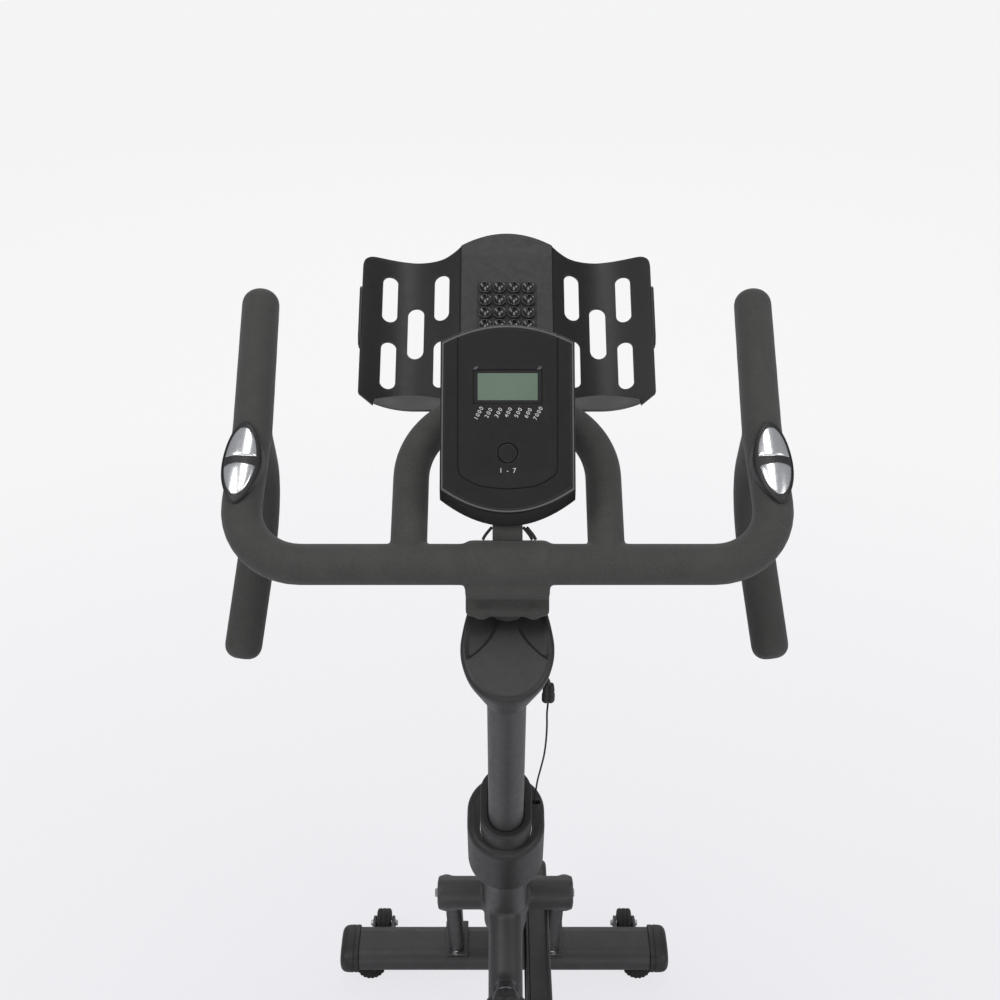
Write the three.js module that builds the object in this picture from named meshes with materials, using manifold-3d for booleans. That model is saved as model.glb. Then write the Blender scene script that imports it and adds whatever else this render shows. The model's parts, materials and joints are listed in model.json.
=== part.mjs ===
// Indoor exercise bike: front flywheel, belt drive, adjustable saddle and a multi-grip handlebar.
// Millimetres, +Z up, the rider faces +Y, and the origin is under the middle of the bike on the floor.

import * as THREE from "three";
import { mergeVertices } from "three/addons/utils/BufferGeometryUtils.js";
import Module from "manifold-3d";

const wasm = await Module();
wasm.setup();

const FLATNESS = 0.05;              // how far simplified surfaces may lie from the joined ones

// ---------------------------------------------------------------- driving dimensions

const BAR_HEIGHT = 1070;            // centre of the straight handlebar above the floor
const LENGTH_SHIFT = 57.5;          // moves the bar's own Y = 0 to the middle of the bike
const POST_LEAN = 17.4;             // degrees that the handlebar post leans back at its top
const SEAT_LEAN = 18;               // degrees that the seat tube leans back at its top
const GAP = 0.3;                    // clearance between pieces that touch
const OVAL_STEPS = 4;               // facets in each quarter of a flat-oval tube

const BAR_RADIUS = 18;              // coated handlebar tube
const BAR_HALF_SPAN = 237;          // side tubes, centre to the middle of the bike
const BAR_BEND = 55;
const SIDE_RISE = 32;               // degrees of the first part of the side tubes
const SIDE_KINK = 131;              // length of that first part
const SIDE_TIP = [247, 133];        // end of the side tubes, forward and up
const DROP_BEND = 95;
const LOOP_RADIUS = 16.25;
const LOOP_HALF_WIDTH = 86;
const LOOP_REACH = 162;
const LOOP_RISE = 28;
const LOOP_BEND = 75;
const BAR_SLEEVE_WIDTH = 71;        // welded sleeve in the middle of the bar
const SLEEVE_RADIUS = BAR_RADIUS + 3;
const BOLT_HEAD = 6;                // radius of the two bolt heads on the sleeve's foot
const BOLT_X = 24;

const POST_WIDTH = 38;              // flat-oval posts of handlebar and saddle
const POST_DEPTH = 70;
const POST_WALL = 2.5;
const POST_FIT = 0.5;               // clearance of a post in its bushing, each side
const TUBE_WALL = 3;
const BUSH_WALL = 3;
const COLLAR_RIM = 8.5;             // collar rim beyond the bushing bore
const PIN_BELOW = 108;              // post's pull pin below the head tube's top
const PIN_PITCH = 20;
const PIN_HOLE = 5.2;               // radius

const HEAD_AT = [135.2, 638.7];     // middle of the head tube's top, along and up
const HEAD_LENGTH = 238;
const COLLAR_HEIGHT = 30;           // collar's rim above the head tube
const COLLAR_SLEEVE = 70;           // bushing below the rim
const POST_INSERT = 173;            // post inside the head tube
const POST_TOP = 48;                // from the bar down to the bar's neck
const COVER_FOOT = 178;             // from the bar down to the cover's foot
const SHROUD_SIDE = 24;             // shroud beyond the post, across and along
const SHROUD_END = 17;
const SHROUD_LENGTH = 84;
const SHROUD_WALL = 3;

const BEAM_WIDTH = 40;
const BEAM_DEPTH = 70;
const BEAM_FRONT = [180, 445];      // main beam's centre line, along and up
const BEAM_REAR = [-600, 75];
const SEAT_FOOT_ALONG = -285;       // where the seat tube stands on the beam
const SEAT_TUBE_LENGTH = 380;
const SEAT_POST_START = 215;
const SEAT_POST_TOP = 560;

const FLYWHEEL_RADIUS = 180;
const FLYWHEEL_RIM = 26;
const FLYWHEEL_WEB = 10;
const HUB = [365, 262];
const AXLE_RADIUS = 6;
const FORK_WIDTH = 22;
const FORK_CLEARANCE = 3.5;         // fork leg to belt cover
const FORK_DEPTH = 44;

const CRANK = [-242, 300];
const CRANK_LENGTH = 170;
const CRANK_CLEARANCE = 4;          // crank arm to belt cover
const SPINDLE_RADIUS = 8.5;
const SHELL_RADIUS = 25;
const SHELL_PROUD = 0.2;            // bracket shell beyond the frame tube, each side
const PEDAL_LENGTH = 96;
const PEDAL_WIDTH = 84;
const PEDAL_THICK = 24;
const PEDAL_OUT = 12;               // pedal's inner edge beyond the middle of the crank arm
const PEDAL_SPINDLE = 6.5;          // radius
const CRANK_THICK = 13;

const BELT_OUT = 16;                // belt's middle from the bracket shell's end
const BELT_WIDTH = 12;
const BELT_THICK = 3.2;
const BIG_PULLEY = 95;
const SMALL_PULLEY = 31;
const PULLEY_FLANGE = 1.5;
const COVER_INNER_OUT = 2;          // inner cover's rim from the bracket shell's end
const COVER_OUTER_OUT = 15.5;       // outer cover's face from the belt's middle
const COVER_MARGIN = 10;            // belt to cover wall
const COVER_WALL = 2.4;

const STABILIZER_SPAN = 440;
const STABILIZER_WIDTH = 70;
const STABILIZER_HEIGHT = 40;
const STABILIZER_CLEAR = 24;        // bar's underside above the floor
const STABILIZER_Z = STABILIZER_CLEAR + STABILIZER_HEIGHT / 2;
const FRONT_FOOT_Y = 452;
const REAR_FOOT_Y = -612;
const CAP_LENGTH = 28;
const FOOT_RADIUS = 22;
const WHEEL_RADIUS = 22;

const BRAKE_KNOB = [30, 455];       // where the brake rod leaves its knob
const BRAKE_GAP = 5;                // pad to rim with the knob up
const BRAKE_TRAVEL = 4.5;           // how far the knob can be pressed down
const ROD_RADIUS = 5;

const CONSOLE_TILT = 58;            // degrees from lying flat, face up
const CONSOLE_AT = [46, 111];
const CONSOLE_FRONT_DEPTH = 14;
const CONSOLE_DEPTH = 34;
const HOLDER_TILT = 36;
const HOLDER_AT = [166.5, 75];
const HOLDER_HALF_WIDTH = 140;
const HOLDER_WALL = 3.2;

// Distances from the middle of the bike that stack up on the frame tube's width.
const TUBE_HALF_WIDTH = POST_WIDTH / 2 + POST_FIT + BUSH_WALL + GAP + TUBE_WALL;
const SHELL_HALF = TUBE_HALF_WIDTH + SHELL_PROUD;
const BELT_X = SHELL_HALF + BELT_OUT;
const COVER_INNER_X = SHELL_HALF + COVER_INNER_OUT;
const COVER_OUTER_X = BELT_X + COVER_OUTER_OUT;
const FORK_X = COVER_OUTER_X + FORK_CLEARANCE + FORK_WIDTH / 2;
const CRANK_X = COVER_OUTER_X + CRANK_CLEARANCE + CRANK_THICK / 2;
const BELT_NEAR = BELT_X - BELT_WIDTH / 2 - GAP;
const BELT_FAR = BELT_X + BELT_WIDTH / 2 + GAP;

// ---------------------------------------------------------------- materials

function finish(color, roughness, metalness) {
  return new THREE.MeshStandardMaterial({ color, roughness, metalness });
}
const foamGrip = () => finish(0x3c3c3a, 0.9, 0);
const blackPaint = () => finish(0x2b2b2c, 0.45, 0.3);
const blackPlastic = () => finish(0x1f1f20, 0.5, 0);
const glossBlack = () => finish(0x0d0d0e, 0.15, 0);
const blackRubber = () => finish(0x161616, 0.85, 0);
const chromed = () => finish(0xd8dadc, 0.08, 1);
const bareSteel = () => finish(0x9a9c9f, 0.35, 1);
const castIron = () => finish(0x4a4c50, 0.5, 0.9);
const alloy = () => finish(0xb4b6b8, 0.4, 0.9);
const felt = () => finish(0x77706a, 1, 0);
const lcdGlass = () => finish(0x6f8470, 0.25, 0);

// ---------------------------------------------------------------- solids

const rad = THREE.MathUtils.degToRad;
const vec = (x, y, z) => new THREE.Vector3(x, y, z);

function signedVolume(geometry) {
  const at = geometry.attributes.position;
  const index = geometry.index.array;
  const a = vec();
  const b = vec();
  const c = vec();
  let sum = 0;
  for (let i = 0; i < index.length; i += 3) {
    a.fromBufferAttribute(at, index[i]);
    b.fromBufferAttribute(at, index[i + 1]);
    c.fromBufferAttribute(at, index[i + 2]);
    sum += a.dot(b.cross(c)) / 6;
  }
  return sum;
}

// A closed copy of a geometry: shared corners, no slivers on an axis, faces pointing out.
function weld(geometry) {
  const bare = geometry.clone();
  bare.deleteAttribute("normal");
  bare.deleteAttribute("uv");
  const merged = mergeVertices(bare, 1e-4);
  const old = merged.index.array;
  const kept = [];
  for (let i = 0; i < old.length; i += 3) {
    const [a, b, c] = [old[i], old[i + 1], old[i + 2]];
    if (a !== b && b !== c && c !== a) kept.push(a, b, c);
  }
  merged.setIndex(kept);
  if (signedVolume(merged) < 0) {
    for (let i = 0; i < kept.length; i += 3) [kept[i + 1], kept[i + 2]] = [kept[i + 2], kept[i + 1]];
    merged.setIndex(kept);
  }
  return merged;
}

function solidOf(geometry) {
  const closed = weld(geometry);
  return new wasm.Manifold(new wasm.Mesh({
    numProp: 3,
    vertProperties: new Float32Array(closed.attributes.position.array),
    triVerts: new Uint32Array(closed.index.array),
  }));
}

// The solid as a geometry, without the corners that a straight edge or a flat face doesn't need.
function geometryOf(solid) {
  const mesh = solid.asOriginal().simplify(FLATNESS).getMesh();
  const geometry = new THREE.BufferGeometry();
  geometry.setAttribute("position", new THREE.BufferAttribute(mesh.vertProperties, 3));
  geometry.setIndex(new THREE.BufferAttribute(mesh.triVerts, 1));
  return geometry;
}

function join(...geometries) {
  return geometryOf(geometries.map(solidOf).reduce((sum, next) => sum.add(next)));
}

function cut(geometry, ...tools) {
  return geometryOf(tools.map(solidOf).reduce((rest, tool) => rest.subtract(tool), solidOf(geometry)));
}

function common(geometry, ...others) {
  return geometryOf(others.map(solidOf).reduce((rest, next) => rest.intersect(next), solidOf(geometry)));
}

function part(name, geometry, material) {
  const closed = weld(geometry);
  closed.computeVertexNormals();
  const mesh = new THREE.Mesh(closed, material);
  mesh.name = name;
  return mesh;
}

// ---------------------------------------------------------------- forms

function box(x0, x1, y0, y1, z0, z1) {
  const block = new THREE.BoxGeometry(x1 - x0, y1 - y0, z1 - z0);
  return block.translate((x0 + x1) / 2, (y0 + y1) / 2, (z0 + z1) / 2);
}

// A shape drawn in x and y, made thick along z.
function slab(shape, z0, z1, curveSegments = 6) {
  const geometry = new THREE.ExtrudeGeometry(shape, {
    depth: z1 - z0, bevelEnabled: false, curveSegments,
  });
  return geometry.translate(0, 0, z0);
}

// A side view drawn along and up the bike, made thick across it.
function sidePlate(shape, x0, x1, curveSegments = 6) {
  const across = new THREE.Matrix4().makeBasis(vec(0, 1, 0), vec(0, 0, 1), vec(1, 0, 0));
  return slab(shape, 0, x1 - x0, curveSegments).applyMatrix4(across).translate(x0, 0, 0);
}

// A round bar across the bike.
function crossBar(radius, x0, x1, y, z, sides = 16) {
  const bar = new THREE.CylinderGeometry(radius, radius, x1 - x0, sides);
  return bar.rotateZ(-Math.PI / 2).translate((x0 + x1) / 2, y, z);
}

// A round bar along z.
function upright(radius, z0, z1, sides = 16, topRadius = radius) {
  const bar = new THREE.CylinderGeometry(topRadius, radius, z1 - z0, sides);
  return bar.rotateX(Math.PI / 2).translate(0, 0, (z0 + z1) / 2);
}

// A turned piece: [radius, height] pairs that close on the axis or on themselves.
function turned(profile, sides = 32) {
  const points = profile.map(([r, h]) => new THREE.Vector2(r, h));
  return new THREE.LatheGeometry(points, sides).rotateX(Math.PI / 2);
}

function ring(inner, outer, z0, z1, sides = 32) {
  return turned([[inner, z0], [outer, z0], [outer, z1], [inner, z1], [inner, z0]], sides);
}

// A piece turned about z, laid across the bike with its z toward +X.
function layAcross(geometry, y, z) {
  return geometry.rotateY(Math.PI / 2).translate(0, y, z);
}

function flatOval(width, depth) {
  const r = Math.min(width, depth) / 2;
  const reach = Math.abs(depth - width) / 2;
  const shape = new THREE.Shape();
  if (depth > width) {
    shape.absarc(0, reach, r, 0, Math.PI);
    shape.absarc(0, -reach, r, Math.PI, 2 * Math.PI);
  } else {
    shape.absarc(reach, 0, r, -Math.PI / 2, Math.PI / 2);
    shape.absarc(-reach, 0, r, Math.PI / 2, 1.5 * Math.PI);
  }
  shape.closePath();
  return shape;
}

function roundedRect(width, height, corner) {
  const shape = new THREE.Shape();
  const w = width / 2 - corner;
  const h = height / 2 - corner;
  shape.absarc(w, h, corner, 0, Math.PI / 2);
  shape.absarc(-w, h, corner, Math.PI / 2, Math.PI);
  shape.absarc(-w, -h, corner, Math.PI, 1.5 * Math.PI);
  shape.absarc(w, -h, corner, 1.5 * Math.PI, 2 * Math.PI);
  shape.closePath();
  return shape;
}

function strip(width, height) {
  const shape = new THREE.Shape();
  shape.moveTo(-width / 2, -height / 2);
  shape.lineTo(width / 2, -height / 2);
  shape.lineTo(width / 2, height / 2);
  shape.lineTo(-width / 2, height / 2);
  shape.closePath();
  return shape;
}

function disc(radius) {
  const shape = new THREE.Shape();
  shape.absarc(0, 0, radius, 0, 2 * Math.PI);
  return shape;
}

// A bent tube's centre line: straight runs joined by arcs, sampled only where it bends.
class BentPath extends THREE.Curve {
  constructor(corners, radii, arcSteps = 6) {
    super();
    this.stations = [{ at: corners[0], along: corners[1].clone().sub(corners[0]).normalize() }];
    for (let i = 1; i < corners.length - 1; i += 1) {
      const into = corners[i].clone().sub(corners[i - 1]).normalize();
      const out = corners[i + 1].clone().sub(corners[i]).normalize();
      const turn = into.angleTo(out);
      const inset = radii[i - 1] * Math.tan(turn / 2);
      const start = corners[i].clone().addScaledVector(into, -inset);
      const toCentre = out.clone().addScaledVector(into, -into.dot(out)).normalize();
      const centre = start.clone().addScaledVector(toCentre, radii[i - 1]);
      for (let k = 0; k <= arcSteps; k += 1) {
        const angle = (turn * k) / arcSteps;
        const at = centre.clone().addScaledVector(into, radii[i - 1] * Math.sin(angle));
        at.addScaledVector(toCentre, -radii[i - 1] * Math.cos(angle));
        const along = into.clone().multiplyScalar(Math.cos(angle));
        along.addScaledVector(toCentre, Math.sin(angle));
        this.stations.push({ at, along });
      }
    }
    const last = corners.length - 1;
    const along = corners[last].clone().sub(corners[last - 1]).normalize();
    this.stations.push({ at: corners[last], along });
  }

  get steps() {
    return this.stations.length - 1;
  }

  getPointAt(u) {
    return this.stations[Math.round(u * this.steps)].at.clone();
  }

  getTangentAt(u) {
    return this.stations[Math.round(u * this.steps)].along.clone();
  }
}

function sweep(section, path, curveSegments = 8) {
  return new THREE.ExtrudeGeometry(section, {
    steps: path.steps, bevelEnabled: false, extrudePath: path, curveSegments,
  });
}

// A round tube along a bent path.
function bentTube(corners, radii, radius, sides = 16, arcSteps = 6) {
  return sweep(disc(radius), new BentPath(corners, radii, arcSteps), sides / 2);
}

// A cord: a round section carried along a smooth curve through its points.
function cord(points, radius, steps, sides = 8) {
  const curve = new THREE.CatmullRomCurve3(points, false, "centripetal");
  return new THREE.ExtrudeGeometry(disc(radius), {
    steps, bevelEnabled: false, extrudePath: curve, curveSegments: sides / 2,
  });
}

// A body through rings of equally many points, closed by a flat fan at each end.
function loft(rings) {
  const count = rings[0].length;
  const positions = [];
  const index = [];
  const push = (p) => positions.push(p.x, p.y, p.z);
  rings.forEach((points) => points.forEach(push));
  for (let r = 0; r < rings.length - 1; r += 1) {
    for (let i = 0; i < count; i += 1) {
      const j = (i + 1) % count;
      const [a, b, c, d] = [r * count + i, r * count + j, (r + 1) * count + j, (r + 1) * count + i];
      index.push(a, b, c, a, c, d);
    }
  }
  [rings[0], rings[rings.length - 1]].forEach((points, end) => {
    const centre = points.reduce((sum, p) => sum.add(p), vec(0, 0, 0)).divideScalar(count);
    const hub = positions.length / 3;
    push(centre);
    const first = end === 0 ? 0 : (rings.length - 1) * count;
    for (let i = 0; i < count; i += 1) {
      const j = (i + 1) % count;
      if (end === 0) index.push(hub, first + j, first + i);
      else index.push(hub, first + i, first + j);
    }
  });
  const geometry = new THREE.BufferGeometry();
  geometry.setAttribute("position", new THREE.Float32BufferAttribute(positions, 3));
  geometry.setIndex(index);
  return geometry;
}

// An oval ring in the plane z, its squareness raising an ellipse toward a rounded rectangle.
function ovalRing(halfX, halfY, z, count = 24, squareness = 2, y = 0) {
  const points = [];
  for (let i = 0; i < count; i += 1) {
    const angle = (2 * Math.PI * (i + 0.5)) / count;
    const c = Math.cos(angle);
    const s = Math.sin(angle);
    const reach = (Math.abs(c) ** squareness + Math.abs(s) ** squareness) ** (-1 / squareness);
    points.push(vec(halfX * reach * c, y + halfY * reach * s, z));
  }
  return points;
}

// Turns a section drawn in x and y to stand across the bike's length, its y up and its z backward.
const ALONG_BIKE = new THREE.Matrix4().makeBasis(vec(1, 0, 0), vec(0, 0, 1), vec(0, -1, 0));

// A section made thick from y0 to y1 along the bike.
function runAlong(shape, y0, y1, curveSegments) {
  return slab(shape, -y1, -y0, curveSegments).applyMatrix4(ALONG_BIKE);
}

// Copies of a piece set evenly round the z axis.
function aroundAxis(piece, count, radius, start = 0) {
  return Array.from({ length: count }, (_, i) => {
    const angle = start + (i * 2 * Math.PI) / count;
    return piece.clone().translate(radius * Math.cos(angle), radius * Math.sin(angle), 0);
  });
}

function leaned(degrees, y, z) {
  const frame = new THREE.Matrix4().makeRotationX(rad(degrees));
  return frame.setPosition(0, y, z);
}

function framed(matrix, name) {
  const group = new THREE.Group();
  group.name = name;
  matrix.decompose(group.position, group.quaternion, group.scale);
  return group;
}

// The post's line runs through the head tube; the bar stands on it at its own height.
const HEAD_TOP = (BAR_HEIGHT - HEAD_AT[1]) / Math.cos(rad(POST_LEAN));
const BAR_ALONG = HEAD_AT[0] - HEAD_TOP * Math.sin(rad(POST_LEAN));
const PIN_AT = HEAD_TOP + PIN_BELOW;
const POST_FRAME = leaned(POST_LEAN, BAR_ALONG, BAR_HEIGHT);
const ALONG_POST = leaned(POST_LEAN, 0, 0);
const BEAM_SLOPE = (BEAM_FRONT[1] - BEAM_REAR[1]) / (BEAM_FRONT[0] - BEAM_REAR[0]);
const beamHeight = (y) => BEAM_FRONT[1] + BEAM_SLOPE * (y - BEAM_FRONT[0]);
const SEAT_FRAME = leaned(SEAT_LEAN, SEAT_FOOT_ALONG, beamHeight(SEAT_FOOT_ALONG));
const CONSOLE_FRAME = leaned(CONSOLE_TILT, CONSOLE_AT[0], CONSOLE_AT[1]);
const HOLDER_FRAME = leaned(HOLDER_TILT, HOLDER_AT[0], HOLDER_AT[1]);

// ---------------------------------------------------------------- handlebar and grips

const sideDirection = vec(0, Math.cos(rad(SIDE_RISE)), Math.sin(rad(SIDE_RISE)));
const sideKink = (side) => vec(side * BAR_HALF_SPAN, 0, 0).addScaledVector(sideDirection, SIDE_KINK);
const sideTip = (side) => vec(side * BAR_HALF_SPAN, SIDE_TIP[0], SIDE_TIP[1]);

function loopCorners() {
  const reach = (along) => [along * Math.cos(rad(LOOP_RISE)), along * Math.sin(rad(LOOP_RISE))];
  return [
    vec(-LOOP_HALF_WIDTH, ...reach(0)), vec(-LOOP_HALF_WIDTH, ...reach(LOOP_REACH)),
    vec(LOOP_HALF_WIDTH, ...reach(LOOP_REACH)), vec(LOOP_HALF_WIDTH, ...reach(0)),
  ];
}

const innerLoop = (radius) => bentTube(loopCorners(), [LOOP_BEND, LOOP_BEND], radius, 14, 5);

function mainBar(radius) {
  const corners = [
    sideTip(-1), sideKink(-1), vec(-BAR_HALF_SPAN, 0, 0),
    vec(BAR_HALF_SPAN, 0, 0), sideKink(1), sideTip(1),
  ];
  return bentTube(corners, [150, BAR_BEND, BAR_BEND, 150], radius, 16, 4);
}

function roundEnd(at) {
  return new THREE.SphereGeometry(BAR_RADIUS - 0.05, 10, 6).translate(at.x, at.y, at.z);
}

function dropHandle(side) {
  const start = sideKink(side).addScaledVector(sideDirection, -4);
  const corner = vec(side * (BAR_HALF_SPAN + 3), 175, -29);
  const end = vec(side * (BAR_HALF_SPAN + 18), 83, -146);
  return join(bentTube([start, corner, end], [DROP_BEND], BAR_RADIUS, 14, 5), roundEnd(end));
}

// Welded sleeve round the middle of the bar, with the hollowed foot that bolts to the post.
function barSleeve() {
  const half = BAR_SLEEVE_WIDTH / 2;
  const r = SLEEVE_RADIUS;
  const sleeve = crossBar(r, -half, half, 0, 0, 20);
  const skirt = new THREE.Shape();
  skirt.moveTo(-r, 0);
  skirt.quadraticCurveTo(-r - 5, -4, -r - 5, -12);
  skirt.quadraticCurveTo(-r - 1, -22, -r - 5, -31);
  skirt.quadraticCurveTo(-r - 7, -44, -r + 4, -44);
  skirt.lineTo(r + 8, -44);
  skirt.lineTo(r, 0);
  skirt.closePath();
  const block = sidePlate(skirt, -half + 0.5, half - 0.5, 4);
  const head = turned([[0, -4], [BOLT_HEAD, -4], [BOLT_HEAD, 1], [BOLT_HEAD - 2, 3.5], [0, 4.5]], 10);
  head.rotateX(Math.PI / 2);
  const bolts = [-1, 1].map((side) => head.clone().translate(side * BOLT_X, -r - 4, -34));
  return join(sleeve, join(block, ...bolts).applyMatrix4(ALONG_POST));
}

function handlebar() {
  const grips = join(
    mainBar(BAR_RADIUS), roundEnd(sideTip(-1)), roundEnd(sideTip(1)),
    dropHandle(-1), dropHandle(1), innerLoop(LOOP_RADIUS), barSleeve(), neck(),
  );
  return part("handlebar", grips, foamGrip());
}

// ---------------------------------------------------------------- pulse sensors on the bends

const SENSOR_ALONG = 99;            // from the bar's corner to the middle of the pad
const SENSOR_HALF = [41, BAR_RADIUS + 0.8];                 // pad's outline: along the tube, across
const DOME_HALF = [60, BAR_RADIUS + 2, BAR_RADIUS + 1];     // dome over the pad: along, across, out
const SENSOR_LIFT = 6;
const PLATE_HALF = [36, 14.4];
const BAND_HALF = 3.2;
const SENSOR_TURN = 14;             // degrees that the pad faces outward

// Local frame of a pad: x across the tube, y along it, z out of it toward the rider.
function sensorFrame(side) {
  const turn = new THREE.Matrix4().makeRotationX(rad(SIDE_RISE));
  const outward = new THREE.Matrix4().makeRotationY(rad(side * SENSOR_TURN));
  const place = vec(side * BAR_HALF_SPAN, 0, 0).addScaledVector(sideDirection, SENSOR_ALONG);
  return turn.multiply(outward).setPosition(place);
}

function dome(shrink) {
  const [along, across, out] = DOME_HALF;
  const ball = new THREE.SphereGeometry(1, 16, 10).scale(across - shrink, along - shrink, out - shrink);
  return ball.translate(0, 0, SENSOR_LIFT);
}

function ovalPrism([along, across], grow, bottom) {
  const shape = new THREE.Shape();
  shape.absellipse(0, 0, across + grow, along + grow, 0, 2 * Math.PI);
  return slab(shape, bottom, 40, 8);
}

function pulseSensor(side, label) {
  const frame = sensorFrame(side);
  const tube = mainBar(BAR_RADIUS + GAP).applyMatrix4(frame.clone().invert());
  const window = (grow) => ovalPrism(PLATE_HALF, grow, 8);
  const band = (grow) => box(-40, 40, -BAND_HALF - grow, BAND_HALF + grow, 0, 60);
  const plate = cut(common(dome(0), window(0)), dome(2), cut(band(GAP), dome(1)));
  const shell = cut(common(dome(0), ovalPrism(SENSOR_HALF, 0, 0)), tube, cut(window(GAP), dome(2 + GAP)));
  const bridge = cut(common(dome(0), window(2), band(0)), dome(1 - GAP));
  return [
    part(`pulse_sensor_base_${label}`, join(shell, bridge).applyMatrix4(frame), glossBlack()),
    part(`pulse_sensor_plate_${label}`, plate.applyMatrix4(frame), chromed()),
  ];
}

// ---------------------------------------------------------------- console

const LCD = [0, 33.5, 51, 23];      // centre and size of the window
const BUTTON_Y = -23;
const BUTTON_RADIUS = 8.2;
const BUTTON_FIT = 0.4;
const BUTTON_BORE = 12;             // depth of the button's bore
const GROOVE_WIDTH = 1.2;
const GROOVE_DEPTH = 0.9;
const GROOVE_TOP = 95;              // beyond the face's top edge, so the groove runs out of it
const GROOVE_TURN = -32;            // where it starts to round the button
const STEM_WIDTH = 26;
const STEM_THICK = 5;
const STEM_FRONT = -16;             // front face of the stem behind the console's face

// Console outline: bowed top and bottom edges between straight sides.
function consoleRing(grow, z, bottom, bottomApex) {
  const points = [];
  const arc = (halfWidth, y, apex, from, to) => {
    for (let i = 0; i <= 10; i += 1) {
      const t = i / 10;
      const x = halfWidth * (from + (to - from) * t);
      const bow = 1 - (x / halfWidth) ** 2;
      points.push(vec(x, y + (apex - y) * bow, z));
    }
  };
  arc(56.6 + grow, 72 + grow, 86 + grow, 1, -1);
  points.push(vec(-57.2 - grow, 4, z));
  arc(57.6 + grow, bottom - grow, bottomApex - grow, -1, 1);
  points.push(vec(57.2 + grow, 4, z));
  return points;
}

// Fine groove down both sides of the face and round the button, drawn between two parallel lines.
function insetGroove() {
  const side = 43;
  const shape = new THREE.Shape();
  const trace = (inset, towardRight) => {
    const edge = side - inset;
    const from = towardRight ? -1 : 1;
    shape.lineTo(from * edge, GROOVE_TURN);
    shape.quadraticCurveTo(from * edge, -42 + inset, from * (34 - inset), -46 + inset);
    shape.quadraticCurveTo(0, -62 + inset, -from * (34 - inset), -46 + inset);
    shape.quadraticCurveTo(-from * edge, -42 + inset, -from * edge, GROOVE_TURN);
    shape.lineTo(-from * edge, GROOVE_TOP);
  };
  shape.moveTo(-side, GROOVE_TOP);
  trace(0, true);
  shape.lineTo(side - GROOVE_WIDTH, GROOVE_TOP);
  trace(GROOVE_WIDTH, false);
  shape.closePath();
  return slab(shape, -GROOVE_DEPTH, 2, 6);
}

function consoleFront() {
  const shell = loft([
    consoleRing(0, -CONSOLE_FRONT_DEPTH, -62.5, -85),
    consoleRing(0.4, -CONSOLE_FRONT_DEPTH + 3, -62.5, -85),
    consoleRing(-0.6, -1.6, -54, -73),
    consoleRing(-2.2, 0, -53, -71.5),
  ]);
  const [x, y, width, height] = LCD;
  const window = box(x - width / 2 - 2, x + width / 2 + 2, y - height / 2 - 2, y + height / 2 + 2, -3, 3);
  const bore = upright(BUTTON_RADIUS + BUTTON_FIT, -BUTTON_BORE, 3, 24).translate(0, BUTTON_Y, 0);
  return part("console_front", cut(shell, window, bore, insetGroove()), blackPlastic());
}

function consoleLens() {
  const [x, y, width, height] = LCD;
  const shape = roundedRect(width + 4 - 2 * GAP, height + 4 - 2 * GAP, 1);
  return part("console_lens", slab(shape, -3 + GAP, -0.4, 2).translate(x, y, 0), lcdGlass());
}

function modeButton() {
  const r = BUTTON_RADIUS;
  const cap = turned([[0, -9], [r - 1, -9], [r - 1, -4], [r, -4], [r, -0.6], [r - 1.2, 0.6], [0, 0.9]], 24);
  return part("mode_button", cap.translate(0, BUTTON_Y, 0), blackPlastic());
}

function consoleBack() {
  const back = -CONSOLE_FRONT_DEPTH - GAP;
  const shell = loft([
    consoleRing(-16, -CONSOLE_DEPTH, -46, -58),
    consoleRing(-7, -CONSOLE_DEPTH + 4, -56, -72),
    consoleRing(-0.6, back - 5, -62.5, -84.4),
    consoleRing(-0.4, back, -62.5, -84.6),
  ]);
  const half = STEM_WIDTH / 2 + GAP;
  const channel = box(-half, half, -100, 12 + GAP, -CONSOLE_DEPTH - 5, STEM_FRONT + GAP);
  return part("console_back", cut(shell, channel), blackPlastic());
}

// Flat steel stem that carries the console, hooked over the bar's sleeve.
function consoleStem() {
  const half = STEM_WIDTH / 2;
  const blade = box(-half, half, -104, 12, STEM_FRONT - STEM_THICK, STEM_FRONT);
  const hook = box(-half, half, -104, -92, STEM_FRONT - STEM_THICK - 12, STEM_FRONT);
  const inverse = CONSOLE_FRAME.clone().invert();
  const sleeve = crossBar(SLEEVE_RADIUS + GAP, -60, 60, 0, 0, 32).applyMatrix4(inverse);
  return part("console_stem", cut(join(blade, hook), sleeve), blackPaint());
}

// Pulse leads from beside the stem down to the bar's sleeve, for the right side.
const LEAD_ROUTE = [[14, 16.5, 27], [16.5, 15.5, 24.5], [19, 14, 21.5], [21, 12.6, 19]];
const PULSE_LEAD_RADIUS = 1.4;

function pulseLead(side, label) {
  const points = LEAD_ROUTE.map(([x, y, z]) => vec(side * x, y, z));
  return part(`pulse_lead_${label}`, cord(points, PULSE_LEAD_RADIUS, 5), blackRubber());
}

// ---------------------------------------------------------------- tablet holder

const PANEL_HALF = 45.5;            // raised middle panel of the holder
const WING_DEPTH = 12;
const SLOT_WIDTH = 14.4;
const SLOT_LENGTH = 51;
const SLOT_ROWS = [110, 72, 38];
const SLOT_COLUMNS = [63, 88, 113.5];
const LEDGE_DEPTH = 36;             // reach of the ledge's control line at its middle
const LIP_WALL = 3.5;
const TAB_SPAN = [52, 113];
const TAB_DEPTH = 13;
const TAB_WALL = 2.6;
const RIB_X = 30;
const RIB_WALL = 2.4;
const RIB_DEPTH = 7;
const RIB_TOP = 166;
const CUP_PITCH = 13.8;
const CUP_RADIUS = 6;
const CUP_BASE = 2;
const CUP_FIRST_ROW = 120;
const CUP_ROWS = 6;
const CUP_COLUMNS = 4;

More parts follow.
